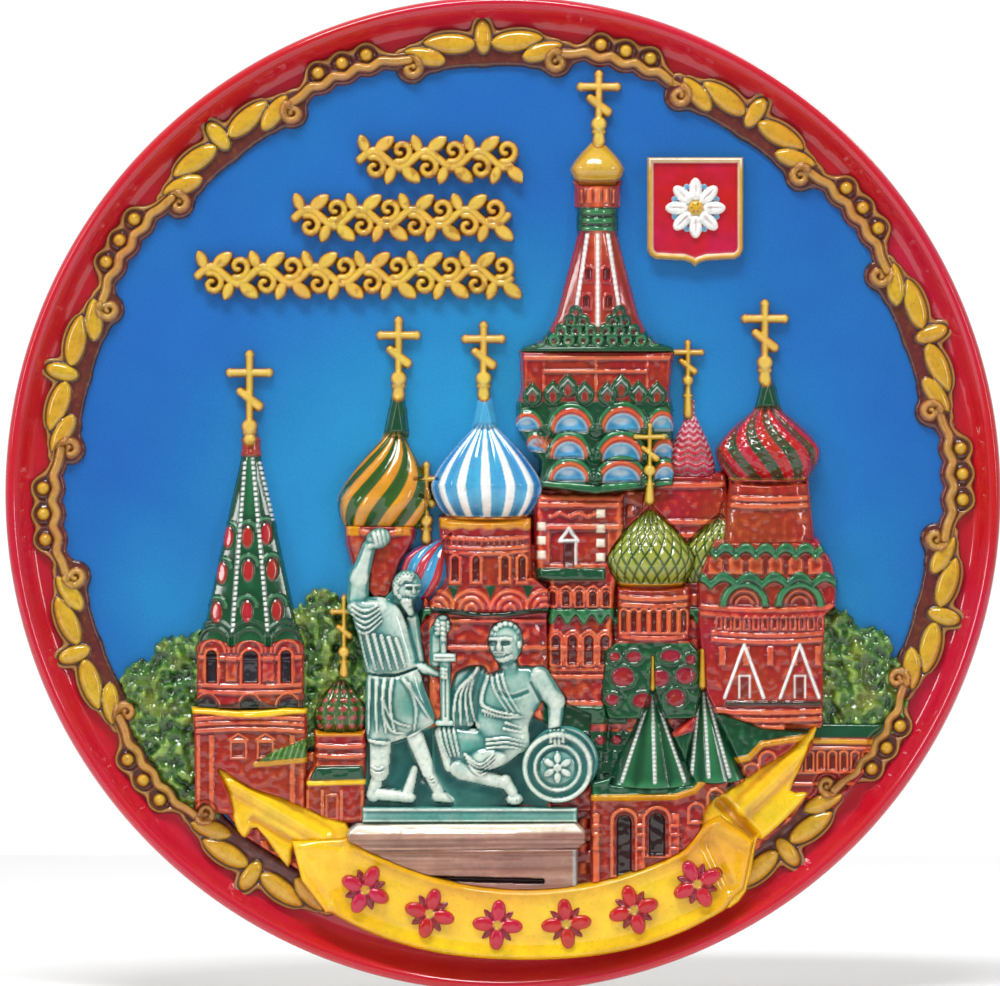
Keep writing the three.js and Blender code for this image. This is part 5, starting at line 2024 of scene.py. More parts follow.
@dataclass
class CrestShield(Relief):
    """The crest: a crimson shield with a gold and white border."""

    name: str = "crest_shield"
    slot: str = "crimson_glaze"
    x: float = 38.7
    top: float = 67.7
    half: float = 9.6
    height: float = 21.8

    def limits(self) -> tuple[float, float, float, float]:
        """The shield's limits."""
        return self.x - self.half, self.x + self.half, self.top - self.height, self.top

    def outline(self) -> Shape:
        """A square shield with rounded lower corners and a point."""
        x, top, half, low = self.x, self.top, self.half, self.top - self.height
        return polygon([(x - half, top), (x - half, low + 3.4), (x - half + 0.5, low + 2.2),
                        (x - half + 1.6, low + 1.5), (x - 2.2, low + 1.2), (x - 0.8, low + 0.7), (x, low),
                        (x + 0.8, low + 0.7), (x + 2.2, low + 1.2), (x + half - 1.6, low + 1.5),
                        (x + half - 0.5, low + 2.2), (x + half, low + 3.4), (x + half, top)])

    def model(self, clay: Clay) -> None:
        """Raise the field and the border, with a painted white highlight along the top of the border."""
        rim = self.outline()
        clay.pillow(1.5, 0.5, 0.5)
        clay.dab(None, Paint.GOLD)
        clay.bead(rim.grow(0.1) - rim.grow(-1.0), 0.9, 0.55)
        clay.raise_by(rim.grow(-1.4), 0.1, 0.5)
        clay.dab(rim.grow(-0.95), Paint.GOLD_DARK, 0.25)
        clay.dab(rim.grow(-1.05), Paint.CRIMSON, 0.25)
        # Painted white highlight along the top of the border.
        edge = rim.grow(-0.45)(clay.x, clay.z)
        upper = step(clay.z, self.top - 3, self.top - 0.6) * step(edge, -0.3, 0.0) * step(-edge, -0.3, 0)
        clay.tint(upper * 0.9, Paint.WHITE)
        clay.tint(step(-np.abs(rim(clay.x, clay.z) - 0.95), -0.22, -0.05) * 0.65, Paint.CREAM)


@dataclass
class CrestRosette(Relief):
    """A plain eight-petalled flower laid on the crest."""

    name: str = "crest_rosette"
    slot: str = "stone_glaze"
    x: float = 38.7
    z: float = 57.5
    petals: int = 8
    base: float = 1.9

    def limits(self) -> tuple[float, float, float, float]:
        """The flower's limits."""
        return self.x - 7, self.x + 7, self.z - 7, self.z + 7

    def at(self, radius: float, step_round: float) -> Point:
        """A point by its radius and its place round the flower, in petals."""
        return polar(radius, 360 * step_round / self.petals, self.x, self.z)

    def shapes(self) -> list[Shape]:
        """The petals."""
        return [oval(*self.at(3.75, k), 2.3, 1.3, 360 * k / self.petals) for k in range(self.petals)]

    def outline(self) -> Shape:
        """All the petals and the middle."""
        sepals = [disc(*self.at(4.6, k + 0.5), 0.62) for k in range(self.petals)]
        return union([disc(self.x, self.z, 2.6), *self.shapes(), *sepals]).grow(0.1)

    def model(self, clay: Clay) -> None:
        """Raise petals with a vein each and a round heart."""
        clay.h = self.base * (0.45 + 0.55 * step(clay.out, -0.2, 0.25))
        clay.dab(None, Paint.STONE_PALE)
        clay.bead(disc(self.x, self.z, 3.0), 0.4, 1.0)
        for k, one in enumerate(self.shapes()):
            clay.bead(one, 0.95, 1.0)
            clay.bead(limb(self.at(2.6, k), self.at(5.2, k), 0.2), -0.3, 0.2)
            clay.dab(one.grow(0.1), Paint.WHITE)
            clay.dab(limb(self.at(2.4, k), self.at(4.4, k), 0.2), Paint.ROSE, 0.4, 0.35)
        for k in range(self.petals):
            clay.dab(disc(*self.at(4.6, k + 0.5), 0.6), Paint.DOME_BLUE, 0.3, 0.8)
        clay.bead(disc(self.x, self.z, 1.5), 1.0, 1.3)
        clay.dab(disc(self.x, self.z, 1.55), Paint.GOLD)
        for k in range(6):
            clay.dab(disc(*polar(0.85, 60 * k, self.x, self.z), 0.22), Paint.GOLD_DARK, 0.2)


# ---------------------------------------------------------------------------------------------
# Banner
# ---------------------------------------------------------------------------------------------


@dataclass(frozen=True)
class BannerArc:
    """Where the banner's arc lies."""

    x: float = 4.5
    z: float = -12.0
    inner: float = 67.0
    outer: float = 82.0
    start: float = 239.2
    end: float = 301.6

    @property
    def middle(self) -> float:
        """Radius of the banner's middle line."""
        return (self.inner + self.outer) / 2

    def reach(self, x: Grid, z: Grid) -> Grid:
        """Distance from the arc's centre."""
        return np.hypot(x - self.x, z - self.z)

    def angle(self, x: Grid, z: Grid) -> Grid:
        """Angle round the arc's centre, in degrees from 0 to 360."""
        return np.degrees(np.arctan2(z - self.z, x - self.x)) % 360


ARC = BannerArc()


class BannerBand(Relief):
    """The banner's front: a yellow band bowed across the foot of the picture."""

    name = "banner_band"
    slot = "yellow_glaze"
    extent = (-44, 52, -95.5, -63)

    def outline(self) -> Shape:
        """The band's outline with soft corners."""

        def depth(x: Grid, z: Grid) -> Grid:
            """Give the depth inside the band."""
            reach, angle = ARC.reach(x, z), ARC.angle(x, z)
            wave = 0.35 * np.sin(np.radians(angle * 9))
            across = np.minimum(reach - ARC.inner, ARC.outer + wave - reach)
            lean = (reach - ARC.middle) * 0.22
            turn = np.minimum(angle - ARC.start - lean, ARC.end - 0.6 * lean - angle)
            along = turn * math.radians(1) * reach
            near = np.clip(1 - np.abs(across - along) / 2.5, 0, 1)
            return np.minimum(across, along) - near * near * 2.5 / 4

        left_end = polygon([(-31, -68.9), (-42.6, -69.4), (-40.6, -77.6), (-35.6, -84.2), (-28, -80)])
        right_end = polygon([(37, -70.5), (40.2, -65.8), (43.6, -64.2), (50.6, -69.4), (48.4, -79.4),
                             (44, -82.6), (36, -80)])
        return Shape(depth).blend(left_end, 1.5).blend(right_end, 1.5)

    def model(self, clay: Clay) -> None:
        """Bow the band, fold over its rims, and paint shade along them, at the right end and at the outline.
        """
        angle, reach = ARC.angle(clay.x, clay.z), ARC.reach(clay.x, clay.z)
        share = np.clip((reach - ARC.inner) / (ARC.outer - ARC.inner), 0, 1)
        clay.pillow(6.4, 1.3, 0.55)
        clay.h = clay.h + 0.4 * np.cos(np.radians((angle - 270) * 5.5)) * step(clay.out, 0, 2)
        for start, end, width, amount in (((-42.4, -70.6), (-35.6, -82.6), 2.0, -0.9),
                                          ((-41.6, -69.8), (-31.4, -70.4), 1.2, -0.6),
                                          ((41.6, -66.0), (49.6, -70.6), 2.0, 0.8),
                                          ((40.8, -69.4), (46.0, -80.4), 2.2, -0.9)):
            stroke = limb(start, end, width)(clay.x, clay.z)
            clay.h = clay.h + amount * step(stroke, 0, width) * step(clay.out, -0.2, 1.2)
        rim = np.exp(-((clay.out - 1.1) / 0.55) ** 2)
        clay.h = clay.h + 0.3 * rim - 0.25 * step(clay.out, 1.4, 3.4)
        clay.dab(None, Paint.YELLOW)
        # Painted shade: deeper yellow along both rims, patchy olive on the outer half, deeper at the right
        # end and darker at the outline.
        clay.tint(step(1 - share, 0.72, 1.0) * 0.6, Paint.YELLOW_DEEP)
        clay.tint(step(share, 0.86, 1.0) * 0.5, Paint.YELLOW_DEEP)
        green = np.clip(clay.noise(5) * 0.12 + 0.1, 0, 0.3) * step(share, 0.5, 0.9)
        clay.tint(green, Paint.OLIVE)
        clay.tint(step(angle, 292, 301) * 0.45, Paint.YELLOW_DEEP)
        clay.tint(step(-clay.out, -0.8, 0.0) * 0.25, Paint.GOLD_DARK)


@dataclass
class BannerTail(Relief):
    """A folded end of the banner, with a swallow-tailed cut."""

    name: str
    points: Sequence[Point]
    folds: Sequence[tuple[Point, Point, float, float]]
    shades: Sequence[tuple[Point, float, float]]
    slot: str = "yellow_glaze"

    def limits(self) -> tuple[float, float, float, float]:
        """The tail's limits."""
        return span(self.points)

    def outline(self) -> Shape:
        """The tail's outline with slightly softened corners."""
        return polygon(smooth_path(self.points, 3, closed=True)).grow(0.15)

    def model(self, clay: Clay) -> None:
        """Raise the cloth and its folds, with painted shade in patches, in the hollows and at the edge."""
        clay.pillow(4.6, 1.2, 0.6)
        clay.dab(None, Paint.YELLOW)
        for start, end, width, amount in self.folds:
            stroke = limb(start, end, width)
            clay.h = clay.h + amount * step(stroke(clay.x, clay.z), 0, width) * step(clay.out, -0.2, 1.2)
        # Painted shade in patches over the cloth.
        for (cx, cz), size, strength in self.shades:
            shade = step(disc(cx, cz, size)(clay.x, clay.z), -size * 0.4, size * 0.7)
            clay.tint(shade * strength, Paint.GOLD_DARK if strength > 0.5 else Paint.OLIVE)
        clay.wash_with_painted_light(Paint.YELLOW_DEEP, Paint.YELLOW, 1.0, 0.5, 0.2)
        clay.tint(step(-clay.out, -0.8, 0.0) * 0.25, Paint.GOLD_DARK)


@dataclass
class BannerMotif(Relief):
    """A crimson four-lobed flower painted and raised on the banner."""

    name: str
    index: int
    slot: str = "crimson_glaze"

    @property
    def turn(self) -> float:
        """Angle of the motif round the banner's arc."""
        return 244.5 + 10.6 * self.index

    def centre(self) -> Point:
        """Centre of the motif."""
        return polar(ARC.middle, self.turn, ARC.x, ARC.z)

    def limits(self) -> tuple[float, float, float, float]:
        """The motif's limits."""
        x, z = self.centre()
        return x - 6.5, x + 6.5, z - 6.5, z + 6.5

    def lobes(self) -> list[Shape]:
        """Four lobes along and across the banner."""
        x, z = self.centre()
        return [oval(*polar(2.9, self.turn + 90 * k, x, z), 2.3, 1.55, self.turn + 90 * k) for k in range(4)]

    def outline(self) -> Shape:
        """Lobes, middle and four small points between the lobes."""
        x, z = self.centre()
        turns = [self.turn + 45 + 90 * k for k in range(4)]
        points = [leaf(*polar(2.6, turn, x, z), 3.4, 1.5, turn) for turn in turns]
        return union([disc(x, z, 1.9), *self.lobes(), *points])

    def model(self, clay: Clay) -> None:
        """Raise the lobes over the banner."""
        x, z = self.centre()
        clay.h = 5.4 + 0.9 * step(clay.out, -0.25, 0.3)
        clay.dab(None, Paint.CRIMSON_DARK)
        for one in self.lobes():
            clay.bead(one, 0.8, 1.1)
            clay.dab(one.grow(-0.1), Paint.CRIMSON)
        clay.bead(self.outline(), 0.5, 0.5)
        clay.bead(disc(x, z, 1.2), 0.5, 1.0)
        clay.dab(disc(x, z, 0.9), Paint.GOLD)


# ---------------------------------------------------------------------------------------------
# Monument
# ---------------------------------------------------------------------------------------------


@dataclass(frozen=True)
class Form:
    """One rounded form of a figure: its outline, the height of its crown and how soon it is reached."""

    shape: Shape
    top: float
    reach: float


Fold = tuple[Sequence[Point], float, float]


def pleats(first: Sequence[Point], shifts: Sequence[Point], count: int, width: float,
           amount: float) -> list[Fold]:
    """Repeat one fold of cloth, each a little further on than the last.

    Args:
        first: Points of the first fold.
        shifts: How far each of its points moves from one fold to the next.
        count: How many folds.
        width: Half width of a fold.
        amount: How far it stands out.

    Returns:
        The folds, each as its points, its half width and how far it stands out.
    """
    return [([(x + dx * k, z + dz * k) for (x, z), (dx, dz) in zip(first, shifts)], width, amount)
            for k in range(count)]


@dataclass
class Statue(Relief):
    """A figure in verdigris with painted highlights and shade: rounded forms first, then cloth folds and cut
    lines.
    """

    name: str
    forms: Sequence[Form]
    folds: Sequence[Fold] = ()
    cuts: Sequence[Fold] = ()
    slot: str = "verdigris_glaze"
    base: float = 2.8

    def outline(self) -> Shape:
        """All the forms with soft webs between them."""
        whole = self.forms[0].shape
        for form in self.forms[1:]:
            whole = whole.blend(form.shape, 0.9)
        return whole.grow(0.08)

    def carve(self, clay: Clay) -> None:
        """Add what only this figure has."""

    def model(self, clay: Clay) -> None:
        """Raise the forms and paint them, with painted highlights on the high parts and patina with painted
        shade in the hollows.
        """
        clay.h = self.base * step(clay.out, -0.3, 0.3)
        for form in self.forms:
            inflate(clay, form.shape, form.top, form.reach, max(self.base, 0.64 * form.top))
        for path, width, amount in self.folds:
            clay.bead(chain(smooth_path(path, 4), width, width * 0.45), amount, width)
        for path, width, amount in self.cuts:
            clay.bead(chain(smooth_path(path, 4), width), -amount, width)
        self.carve(clay)
        clay.dab(None, Paint.VERDIGRIS)
        # Painted highlight on the highest forms, broken up in patches.
        worn = np.clip(0.55 + 0.3 * clay.noise(3.0), 0.2, 1.0)
        clay.tint(step(clay.h, 5.0, 7.2) * 0.4 * worn, Paint.VERDIGRIS_PALE)
        clay.wash_with_painted_light(Paint.VERDIGRIS_DARK, Paint.VERDIGRIS_PALE, 2.8, 0.1, 0.1)
        clay.wash_with_painted_light(Paint.VERDIGRIS_DARK, Paint.VERDIGRIS_PALE, 1.2, 0.3, 0.2)
        clay.wash_with_painted_light(Paint.VERDIGRIS_DARK, Paint.VERDIGRIS_PALE, 0.5, 1.1, 0.9)
        # Painted shade over the low parts, away from the outline.
        clay.tint(step(-clay.h, -3.9, -3.0) * 0.3 * step(clay.out, 0.6, 1.8), Paint.VERDIGRIS_DARK)
        clay.tint(np.clip(clay.noise(1.6) * 0.16, 0, 0.35), Paint.VERDIGRIS)
        clay.tint(np.clip(clay.noise(0.6) * 0.1, 0, 0.3), Paint.VERDIGRIS_DARK)


def carve_face(clay: Clay, cx: float, cz: float, size: float, turn: float) -> None:
    """Carve a calm, plain face: eyes at half height, nose to two thirds, mouth between nose and chin.

    Args:
        clay: The clay that already holds the head's egg.
        cx: Centre of the head.
        cz: Centre of the head.
        size: Half height of the head.
        turn: Shift of the face's middle line, as a share of the size (positive to the right).
    """
    mid = cx + turn * size
    for side in (-1, 1):
        eye = mid + side * size * 0.31
        clay.bead(oval(eye, cz + 0.02 * size, 0.26 * size, 0.16 * size), -0.5, 0.16 * size)
        clay.bead(oval(eye, cz - 0.02 * size, 0.15 * size, 0.07 * size), 0.28, 0.08 * size)
        brow = [(eye + end * 0.24 * size, cz + 0.2 * size) for end in (-1, 1)]
        clay.bead(limb(*brow, 0.09 * size), 0.42, 0.09 * size)
        clay.bead(oval(mid + side * size * 0.42, cz - 0.28 * size, 0.2 * size, 0.2 * size), 0.3, 0.2 * size)
    nose = limb((mid, cz + 0.12 * size), (mid, cz - 0.24 * size), 0.07 * size, 0.13 * size)
    clay.bead(nose, 0.75, 0.13 * size)
    mouth = [(mid + end * 0.2 * size, cz - 0.47 * size) for end in (-1, 1)]
    clay.bead(limb(*mouth, 0.1 * size), 0.3, 0.1 * size)
    clay.bead(limb(*mouth, 0.035 * size), -0.35, 0.04 * size)


def curls(clay: Clay, spots: Iterable[Point], radius: float, amount: float) -> None:
    """Add small round locks of hair."""
    for cx, cz in spots:
        clay.bead(disc(cx, cz, radius), amount, radius)
        clay.bead(disc(cx, cz, radius * 0.3), -amount * 0.25, radius * 0.3)


class StandingFigure(Statue):
    """The standing figure: arm raised high, curly head turned away, belted tunic and boots."""

    extent = (-32.4, -5.8, -64, -5.6)

    def __init__(self) -> None:
        """Lay out the forms."""
        torso = curved([(-30.6, -22.4), (-27.6, -20.8), (-24.0, -20.6), (-20.6, -23.0), (-18.6, -28.4),
                        (-17.4, -35.0), (-22.4, -36.6), (-27.4, -36.0), (-28.6, -31.0)])
        skirt = curved([(-27.0, -35.4), (-22, -36.0), (-17.4, -34.6), (-15.4, -39.4), (-13.4, -45.4),
                        (-16.4, -47.6), (-19.6, -49.0), (-23.2, -50.0), (-27.1, -49.8), (-27.7, -43.0)])
        forms = [
            Form(torso, 6.6, 3.6), Form(skirt, 6.7, 3.6),
            Form(limb((-29.2, -21.4), (-28.8, -16.4), 2.35, 2.15), 6.2, 2.0),
            Form(limb((-28.9, -17.2), (-26.9, -10.6), 2.1, 1.55), 6.2, 1.7),
            Form(oval(-25.0, -8.9, 2.7, 2.2, 20), 6.6, 1.9),
            Form(limb((-29.6, -22.8), (-24.6, -22.8), 1.9), 6.6, 1.7),
            Form(limb((-22.6, -21.6), (-20.2, -19.6), 1.7), 5.0, 1.6),
            Form(oval(-19.3, -18.4, 3.1, 3.3, -12), 6.8, 2.6),
            Form(limb((-19.4, -21.4), (-18.6, -23.6), 1.5, 0.9), 6.3, 1.2),
            Form(limb((-18.2, -25.2), (-17.4, -33.6), 1.5, 1.7), 4.8, 1.6),
            Form(limb((-17.8, -34.4), (-13.2, -36.0), 1.25, 1.0), 5.4, 1.2),
            Form(limb((-24.6, -49.2), (-24.8, -55.8), 2.4, 2.0), 6.0, 2.0),
            Form(limb((-25.2, -56.6), (-26.0, -60.4), 1.3, 1.6), 5.2, 1.4),
            Form(limb((-24.8, -60.2), (-18.6, -60.9), 1.35, 1.2), 5.6, 1.2),
            Form(limb((-19.2, -60.2), (-17.7, -55.2), 1.3, 0.85), 5.2, 1.1),
            Form(limb((-17.6, -48.8), (-14.9, -55.8), 1.9, 1.5), 6.0, 1.7),
            Form(limb((-14.6, -56.4), (-13.0, -59.6), 1.25), 5.8, 1.1),
            Form(limb((-13.2, -60.6), (-8.0, -61.5), 1.3, 0.7), 5.8, 1.1),
            Form(polygon([(-27.4, -50), (-18, -48), (-13.6, -46), (-6.6, -58), (-6.6, -63.6),
                          (-28.2, -63.6)]), 3.0, 1.0),
            Form(polygon([(-25, -20), (-17.5, -24), (-15.4, -34), (-16.6, -40), (-24, -36)]), 3.0, 1.0),
        ]
        folds = pleats([(-30.2, -22.2), (-27.6, -23.4), (-24.9, -22.2)],
                       [(0, -1.0), (0, -1.15), (0.15, -0.8)], 5, 0.34, 0.5)
        folds += pleats([(-28.9, -27.6), (-28.0, -31.6), (-27.0, -35.2)], [(1.5, -0.3), (1.5, 0), (1.5, 0)],
                        6, 0.4, 0.55)
        folds += pleats([(-26.8, -36.8), (-26.9, -42.0), (-27.0, -48.0)], [(1.55, 0), (1.4, 0), (1.8, 0)],
                        4, 0.42, 0.6)
        folds += [([(-20.0, -37.0), (-17.2, -41.0), (-14.4, -45.4)], 0.42, 0.65),
                  ([(-18.8, -38.0), (-17.4, -43.0), (-17.8, -47.4)], 0.38, 0.6),
                  ([(-24.2, -41.0), (-22.2, -45.2), (-18.6, -46.6)], 0.36, 0.5),
                  ([(-24.0, -44.0), (-22.4, -47.4), (-19.6, -48.0)], 0.36, 0.5),
                  ([(-27.2, -49.4), (-23.2, -49.9), (-18.8, -48.6), (-14.0, -45.8)], 0.38, 0.6)]
        folds += pleats([(-26.6, -55.4), (-25.0, -56.0), (-23.0, -55.2)], [(0, 0.9)] * 3, 2, 0.3, 0.4)
        folds += pleats([(-16.2, -56.2), (-14.4, -56.9), (-12.8, -56.0)], [(0, -0.75), (0, -0.75), (0, -0.7)],
                        3, 0.3, 0.45)
        cuts = [([(-27.6, -35.9), (-22.4, -36.5), (-17.4, -34.9)], 0.3, 0.8)]
        super().__init__("standing_figure", forms, folds, cuts)

    def carve(self, clay: Clay) -> None:
        """Carve the fist's fingers and the curls of hair and beard."""
        for k in range(4):
            clay.bead(limb((-26.0 + 0.95 * k, -7.5 + 0.1 * k), (-25.3 + 0.85 * k, -9.9), 0.42), 0.55, 0.42)
        clay.bead(limb((-26.6, -10.4), (-23.4, -10.6), 0.5), 0.4, 0.5)
        carve_face(clay, -18.5, -18.9, 2.9, 0.22)
        spots = [polar(2.9 - 0.75 * row, 62 + 22 * k, -19.3, -18.2)
                 for row in range(3) for k in range(9 - 2 * row)]
        curls(clay, spots, 0.62, 0.5)
        curls(clay, [(-20.0 + 0.7 * (k % 3), -21.4 - 0.68 * (k // 3)) for k in range(8)], 0.48, 0.5)


class SeatedFigure(Statue):
    """The seated figure: short hair and beard, bare shoulder, draped cloak, one leg drawn up."""

    extent = (-16, 14, -64, -23.4)

    def __init__(self) -> None:
        """Lay out the forms."""
        chest = curved([(-3.6, -36.4), (0.4, -34.6), (5.4, -34.2), (8.8, -36.2), (8.0, -41.5), (5.4, -46.0),
                        (5.0, -51.4), (-2.0, -52.4), (-5.6, -46.6), (-5.4, -40.0)])
        cloak = curved([(-5.2, -34.0), (-2.8, -35.4), (-3.6, -40.6), (-6.0, -46.6), (-10.4, -47.4),
                        (-12.6, -46.4), (-11.0, -40.2), (-9.6, -35.6)])
        lap = curved([(-12.4, -46.6), (-6.0, -46.8), (1.6, -47.6), (4.6, -50.6), (0.0, -54.6), (-5.0, -55.8),
                      (-9.6, -54.2), (-11.6, -51.0)])
        forms = [
            Form(chest, 6.5, 4.0), Form(cloak, 5.8, 2.4), Form(lap, 5.9, 2.6),
            Form(oval(0.5, -29.6, 3.7, 4.7, 3), 7.4, 3.2),
            Form(limb((0.8, -33.0), (1.4, -35.2), 2.2), 6.0, 1.9),
            Form(limb((7.2, -36.8), (10.6, -41.6), 2.5, 2.1), 6.8, 2.1),
            Form(limb((10.6, -41.4), (10.4, -47.2), 2.0, 1.4), 6.4, 1.7),
            Form(oval(10.4, -48.6, 2.1, 1.5), 7.2, 1.3),
            Form(limb((-13.4, -33.6), (-13.2, -27.6), 1.5, 1.7), 5.4, 1.5),
            Form(oval(-12.1, -26.3, 1.9, 2.3), 6.4, 1.6),
            Form(oval(-3.4, -53.0, 4.6, 2.5, 8), 6.8, 2.2),
            Form(limb((-8.9, -55.0), (-4.6, -56.4), 2.0, 1.6), 6.4, 1.7),
            Form(limb((-8.2, -55.6), (0.4, -58.0), 1.9, 1.35), 6.2, 1.6),
            Form(limb((0.4, -57.6), (2.0, -60.0), 1.45, 1.15), 5.8, 1.2),
            Form(oval(2.3, -61.2, 1.9, 1.3), 5.8, 1.1),
            Form(limb((-12.2, -48.0), (-10.6, -54.6), 1.7, 1.4), 5.4, 1.4),
            Form(polygon([(-14.6, -46.6), (-5, -44), (6, -44), (13.6, -48), (14.6, -52), (9, -63.6),
                          (-9.6, -63.6), (-14.4, -56)]), 3.0, 1.0),
        ]
        folds = pleats([(-5.0, -34.6), (-6.6, -40.0), (-5.4, -46.4)], [(-0.2, -0.4), (-0.9, 0), (-1.5, 0)],
                       4, 0.42, 0.65)
        folds += [([(-3.0, -36.0), (-4.4, -41.6), (-1.8, -43.4), (3.0, -44.4)], 0.5, 0.6),
                  ([(-4.0, -43.4), (0.0, -44.6), (4.6, -44.6)], 0.32, 0.45)]
        folds += pleats([(-3.8, -43.2), (-3.6, -44.4)], [(0.62, -0.1), (0.62, -0.08)], 9, 0.2, 0.35)
        folds += pleats([(-3.2, -49.2), (1.0, -48.9), (4.6, -49.8)], [(0, -0.85), (0, -0.85), (0, -0.8)],
                        3, 0.32, 0.45)
        folds += pleats([(-7.6, -52.2), (-4.6, -54.2), (-1.6, -51.8)], [(0.3, -0.75), (0, -0.7), (0, -0.9)],
                        4, 0.32, 0.5)
        folds += pleats([(-12.8, -47.0), (-12.2, -50.0), (-11.2, -52.6)], [(0.95, 0), (0.95, 0), (0.8, 0)],
                        4, 0.34, 0.5)
        folds += [([(0.6, -45.8), (3.6, -46.8)], 0.3, 0.3), ([(0.2, -47.0), (4.0, -47.8)], 0.3, 0.3)]
        folds += pleats([(-2.4, -35.8), (-1.6, -39.6), (1.0, -43.6)], [(1.1, -0.2), (1.2, 0), (1.1, 0)],
                        3, 0.3, 0.28)
        cuts = [([(5.6, -37.8), (7.6, -41.6)], 0.3, 0.3),
                ([(-0.6, -39.8), (1.8, -40.6), (4.8, -39.6)], 0.5, 0.22)]
        super().__init__("seated_figure", forms, folds, cuts)

    def carve(self, clay: Clay) -> None:
        """Carve the face, hair, fingers and toes."""
        carve_face(clay, 0.2, -29.9, 4.3, -0.24)
        spots = [polar(3.7, 20 + 19 * k, 0.8, -29.4) for k in range(8)] + \
                [polar(2.9, 30 + 22 * k, 0.8, -28.8) for k in range(6)]
        curls(clay, spots, 0.62, 0.35)
        curls(clay, [(-2.4 + 0.8 * k, -33.0 - 0.45 * math.sin(k * 0.8)) for k in range(6)], 0.55, 0.4)
        clay.bead(oval(3.4, -30.2, 0.5, 0.85), 0.6, 0.45)
        for k in range(4):
            clay.bead(limb((-13.3, -25.3 - 0.85 * k), (-10.9, -25.7 - 0.85 * k), 0.4), 0.5, 0.4)
            clay.bead(limb((9.3 + 0.75 * k, -48.2), (9.3 + 0.75 * k, -50.2), 0.36), 0.5, 0.36)
            clay.bead(limb((1.2 + 0.65 * k, -61.0), (1.0 + 0.7 * k, -62.2), 0.32), 0.4, 0.32)


class RoundShield(Statue):
    """The round shield: two raised rings round a plain flower boss, and its rim seen behind."""

    extent = (3.2, 19.8, -62.6, -45.8)

    def __init__(self) -> None:
        """Lay out the two discs."""
        forms = [Form(disc(12.0, -53.6, 7.3), 5.4, 0.9), Form(disc(10.9, -54.8, 7.3), 6.4, 0.7)]
        super().__init__("round_shield", forms)

    def carve(self, clay: Clay) -> None:
        """Add rings, boss and the hand on the rim."""
        x, z = 10.9, -54.8
        clay.bead(disc(x, z, 6.6).line(0.55), 0.9, 0.55)
        clay.bead(disc(x, z, 4.5).line(0.36), 0.75, 0.36)
        clay.bead(disc(x, z, 3.5), 0.5, 2.6)
        for k in range(6):
            clay.bead(oval(*polar(1.9, 30 + 60 * k, x, z), 1.15, 0.62, 30 + 60 * k), 0.5, 0.5)
        clay.bead(disc(x, z, 0.85), 0.7, 0.8)
        for k in range(4):
            tip = (9.6 + 0.8 * k, -49.9 + 0.25 * abs(k - 1.5))
            clay.bead(limb((9.5 + 0.8 * k, -47.4), tip, 0.42), 0.95, 0.42)


class Sword(Statue):
    """The sword held upright between the figures: pommel, grip, guard and ridged blade."""

    extent = (-15, -8.4, -47.4, -23.6)

    def __init__(self) -> None:
        """Lay out the sword."""
        forms = [Form(limb((-11.6, -32.8), (-11.5, -45.2), 1.35, 1.2), 6.6, 1.2),
                 Form(box(-14.3, -9.2, -33.8, -31.7), 7.0, 0.7),
                 Form(limb((-11.9, -31.6), (-12.0, -25.6), 0.85), 6.6, 0.8),
                 Form(oval(-12.0, -24.8, 1.2, 0.8), 6.8, 0.7),
                 Form(limb((-13.0, -45.9), (-10.4, -45.9), 0.85), 6.4, 0.7)]
        cuts = [([(-11.6, -34.6), (-11.5, -44.6)], 0.2, 0.3), ([(-13.6, -32.8), (-9.9, -32.8)], 0.16, 0.25)]
        super().__init__("statue_sword", forms, (), cuts)

    def carve(self, clay: Clay) -> None:
        """Wrap both hands' fingers round the sword."""
        for k in range(4):
            clay.bead(limb((-13.5, -25.7 - 1.0 * k), (-10.4, -26.3 - 1.0 * k), 0.5), 0.9, 0.5)
        for k in range(3):
            clay.bead(limb((-13.8 + 0.3 * k, -35.0 - 0.75 * k), (-11.4, -35.2 - 0.75 * k), 0.4), 0.7, 0.4)


class StatuePlinth(Statue):
    """The bronze plate under the figures."""

    extent = (-29, 15.6, -66.6, -62)

    def __init__(self) -> None:
        """Lay out the plate."""
        super().__init__("statue_plinth", [Form(box(-28.4, 15.1, -66.0, -62.6), 6.2, 0.7)])

    def carve(self, clay: Clay) -> None:
        """Run two mouldings along it."""
        clay.bead(box(-28.2, 14.9, -63.5, -62.8), 0.35, 0.3)
        clay.bead(box(-28.2, 14.9, -65.9, -65.2), 0.25, 0.3)


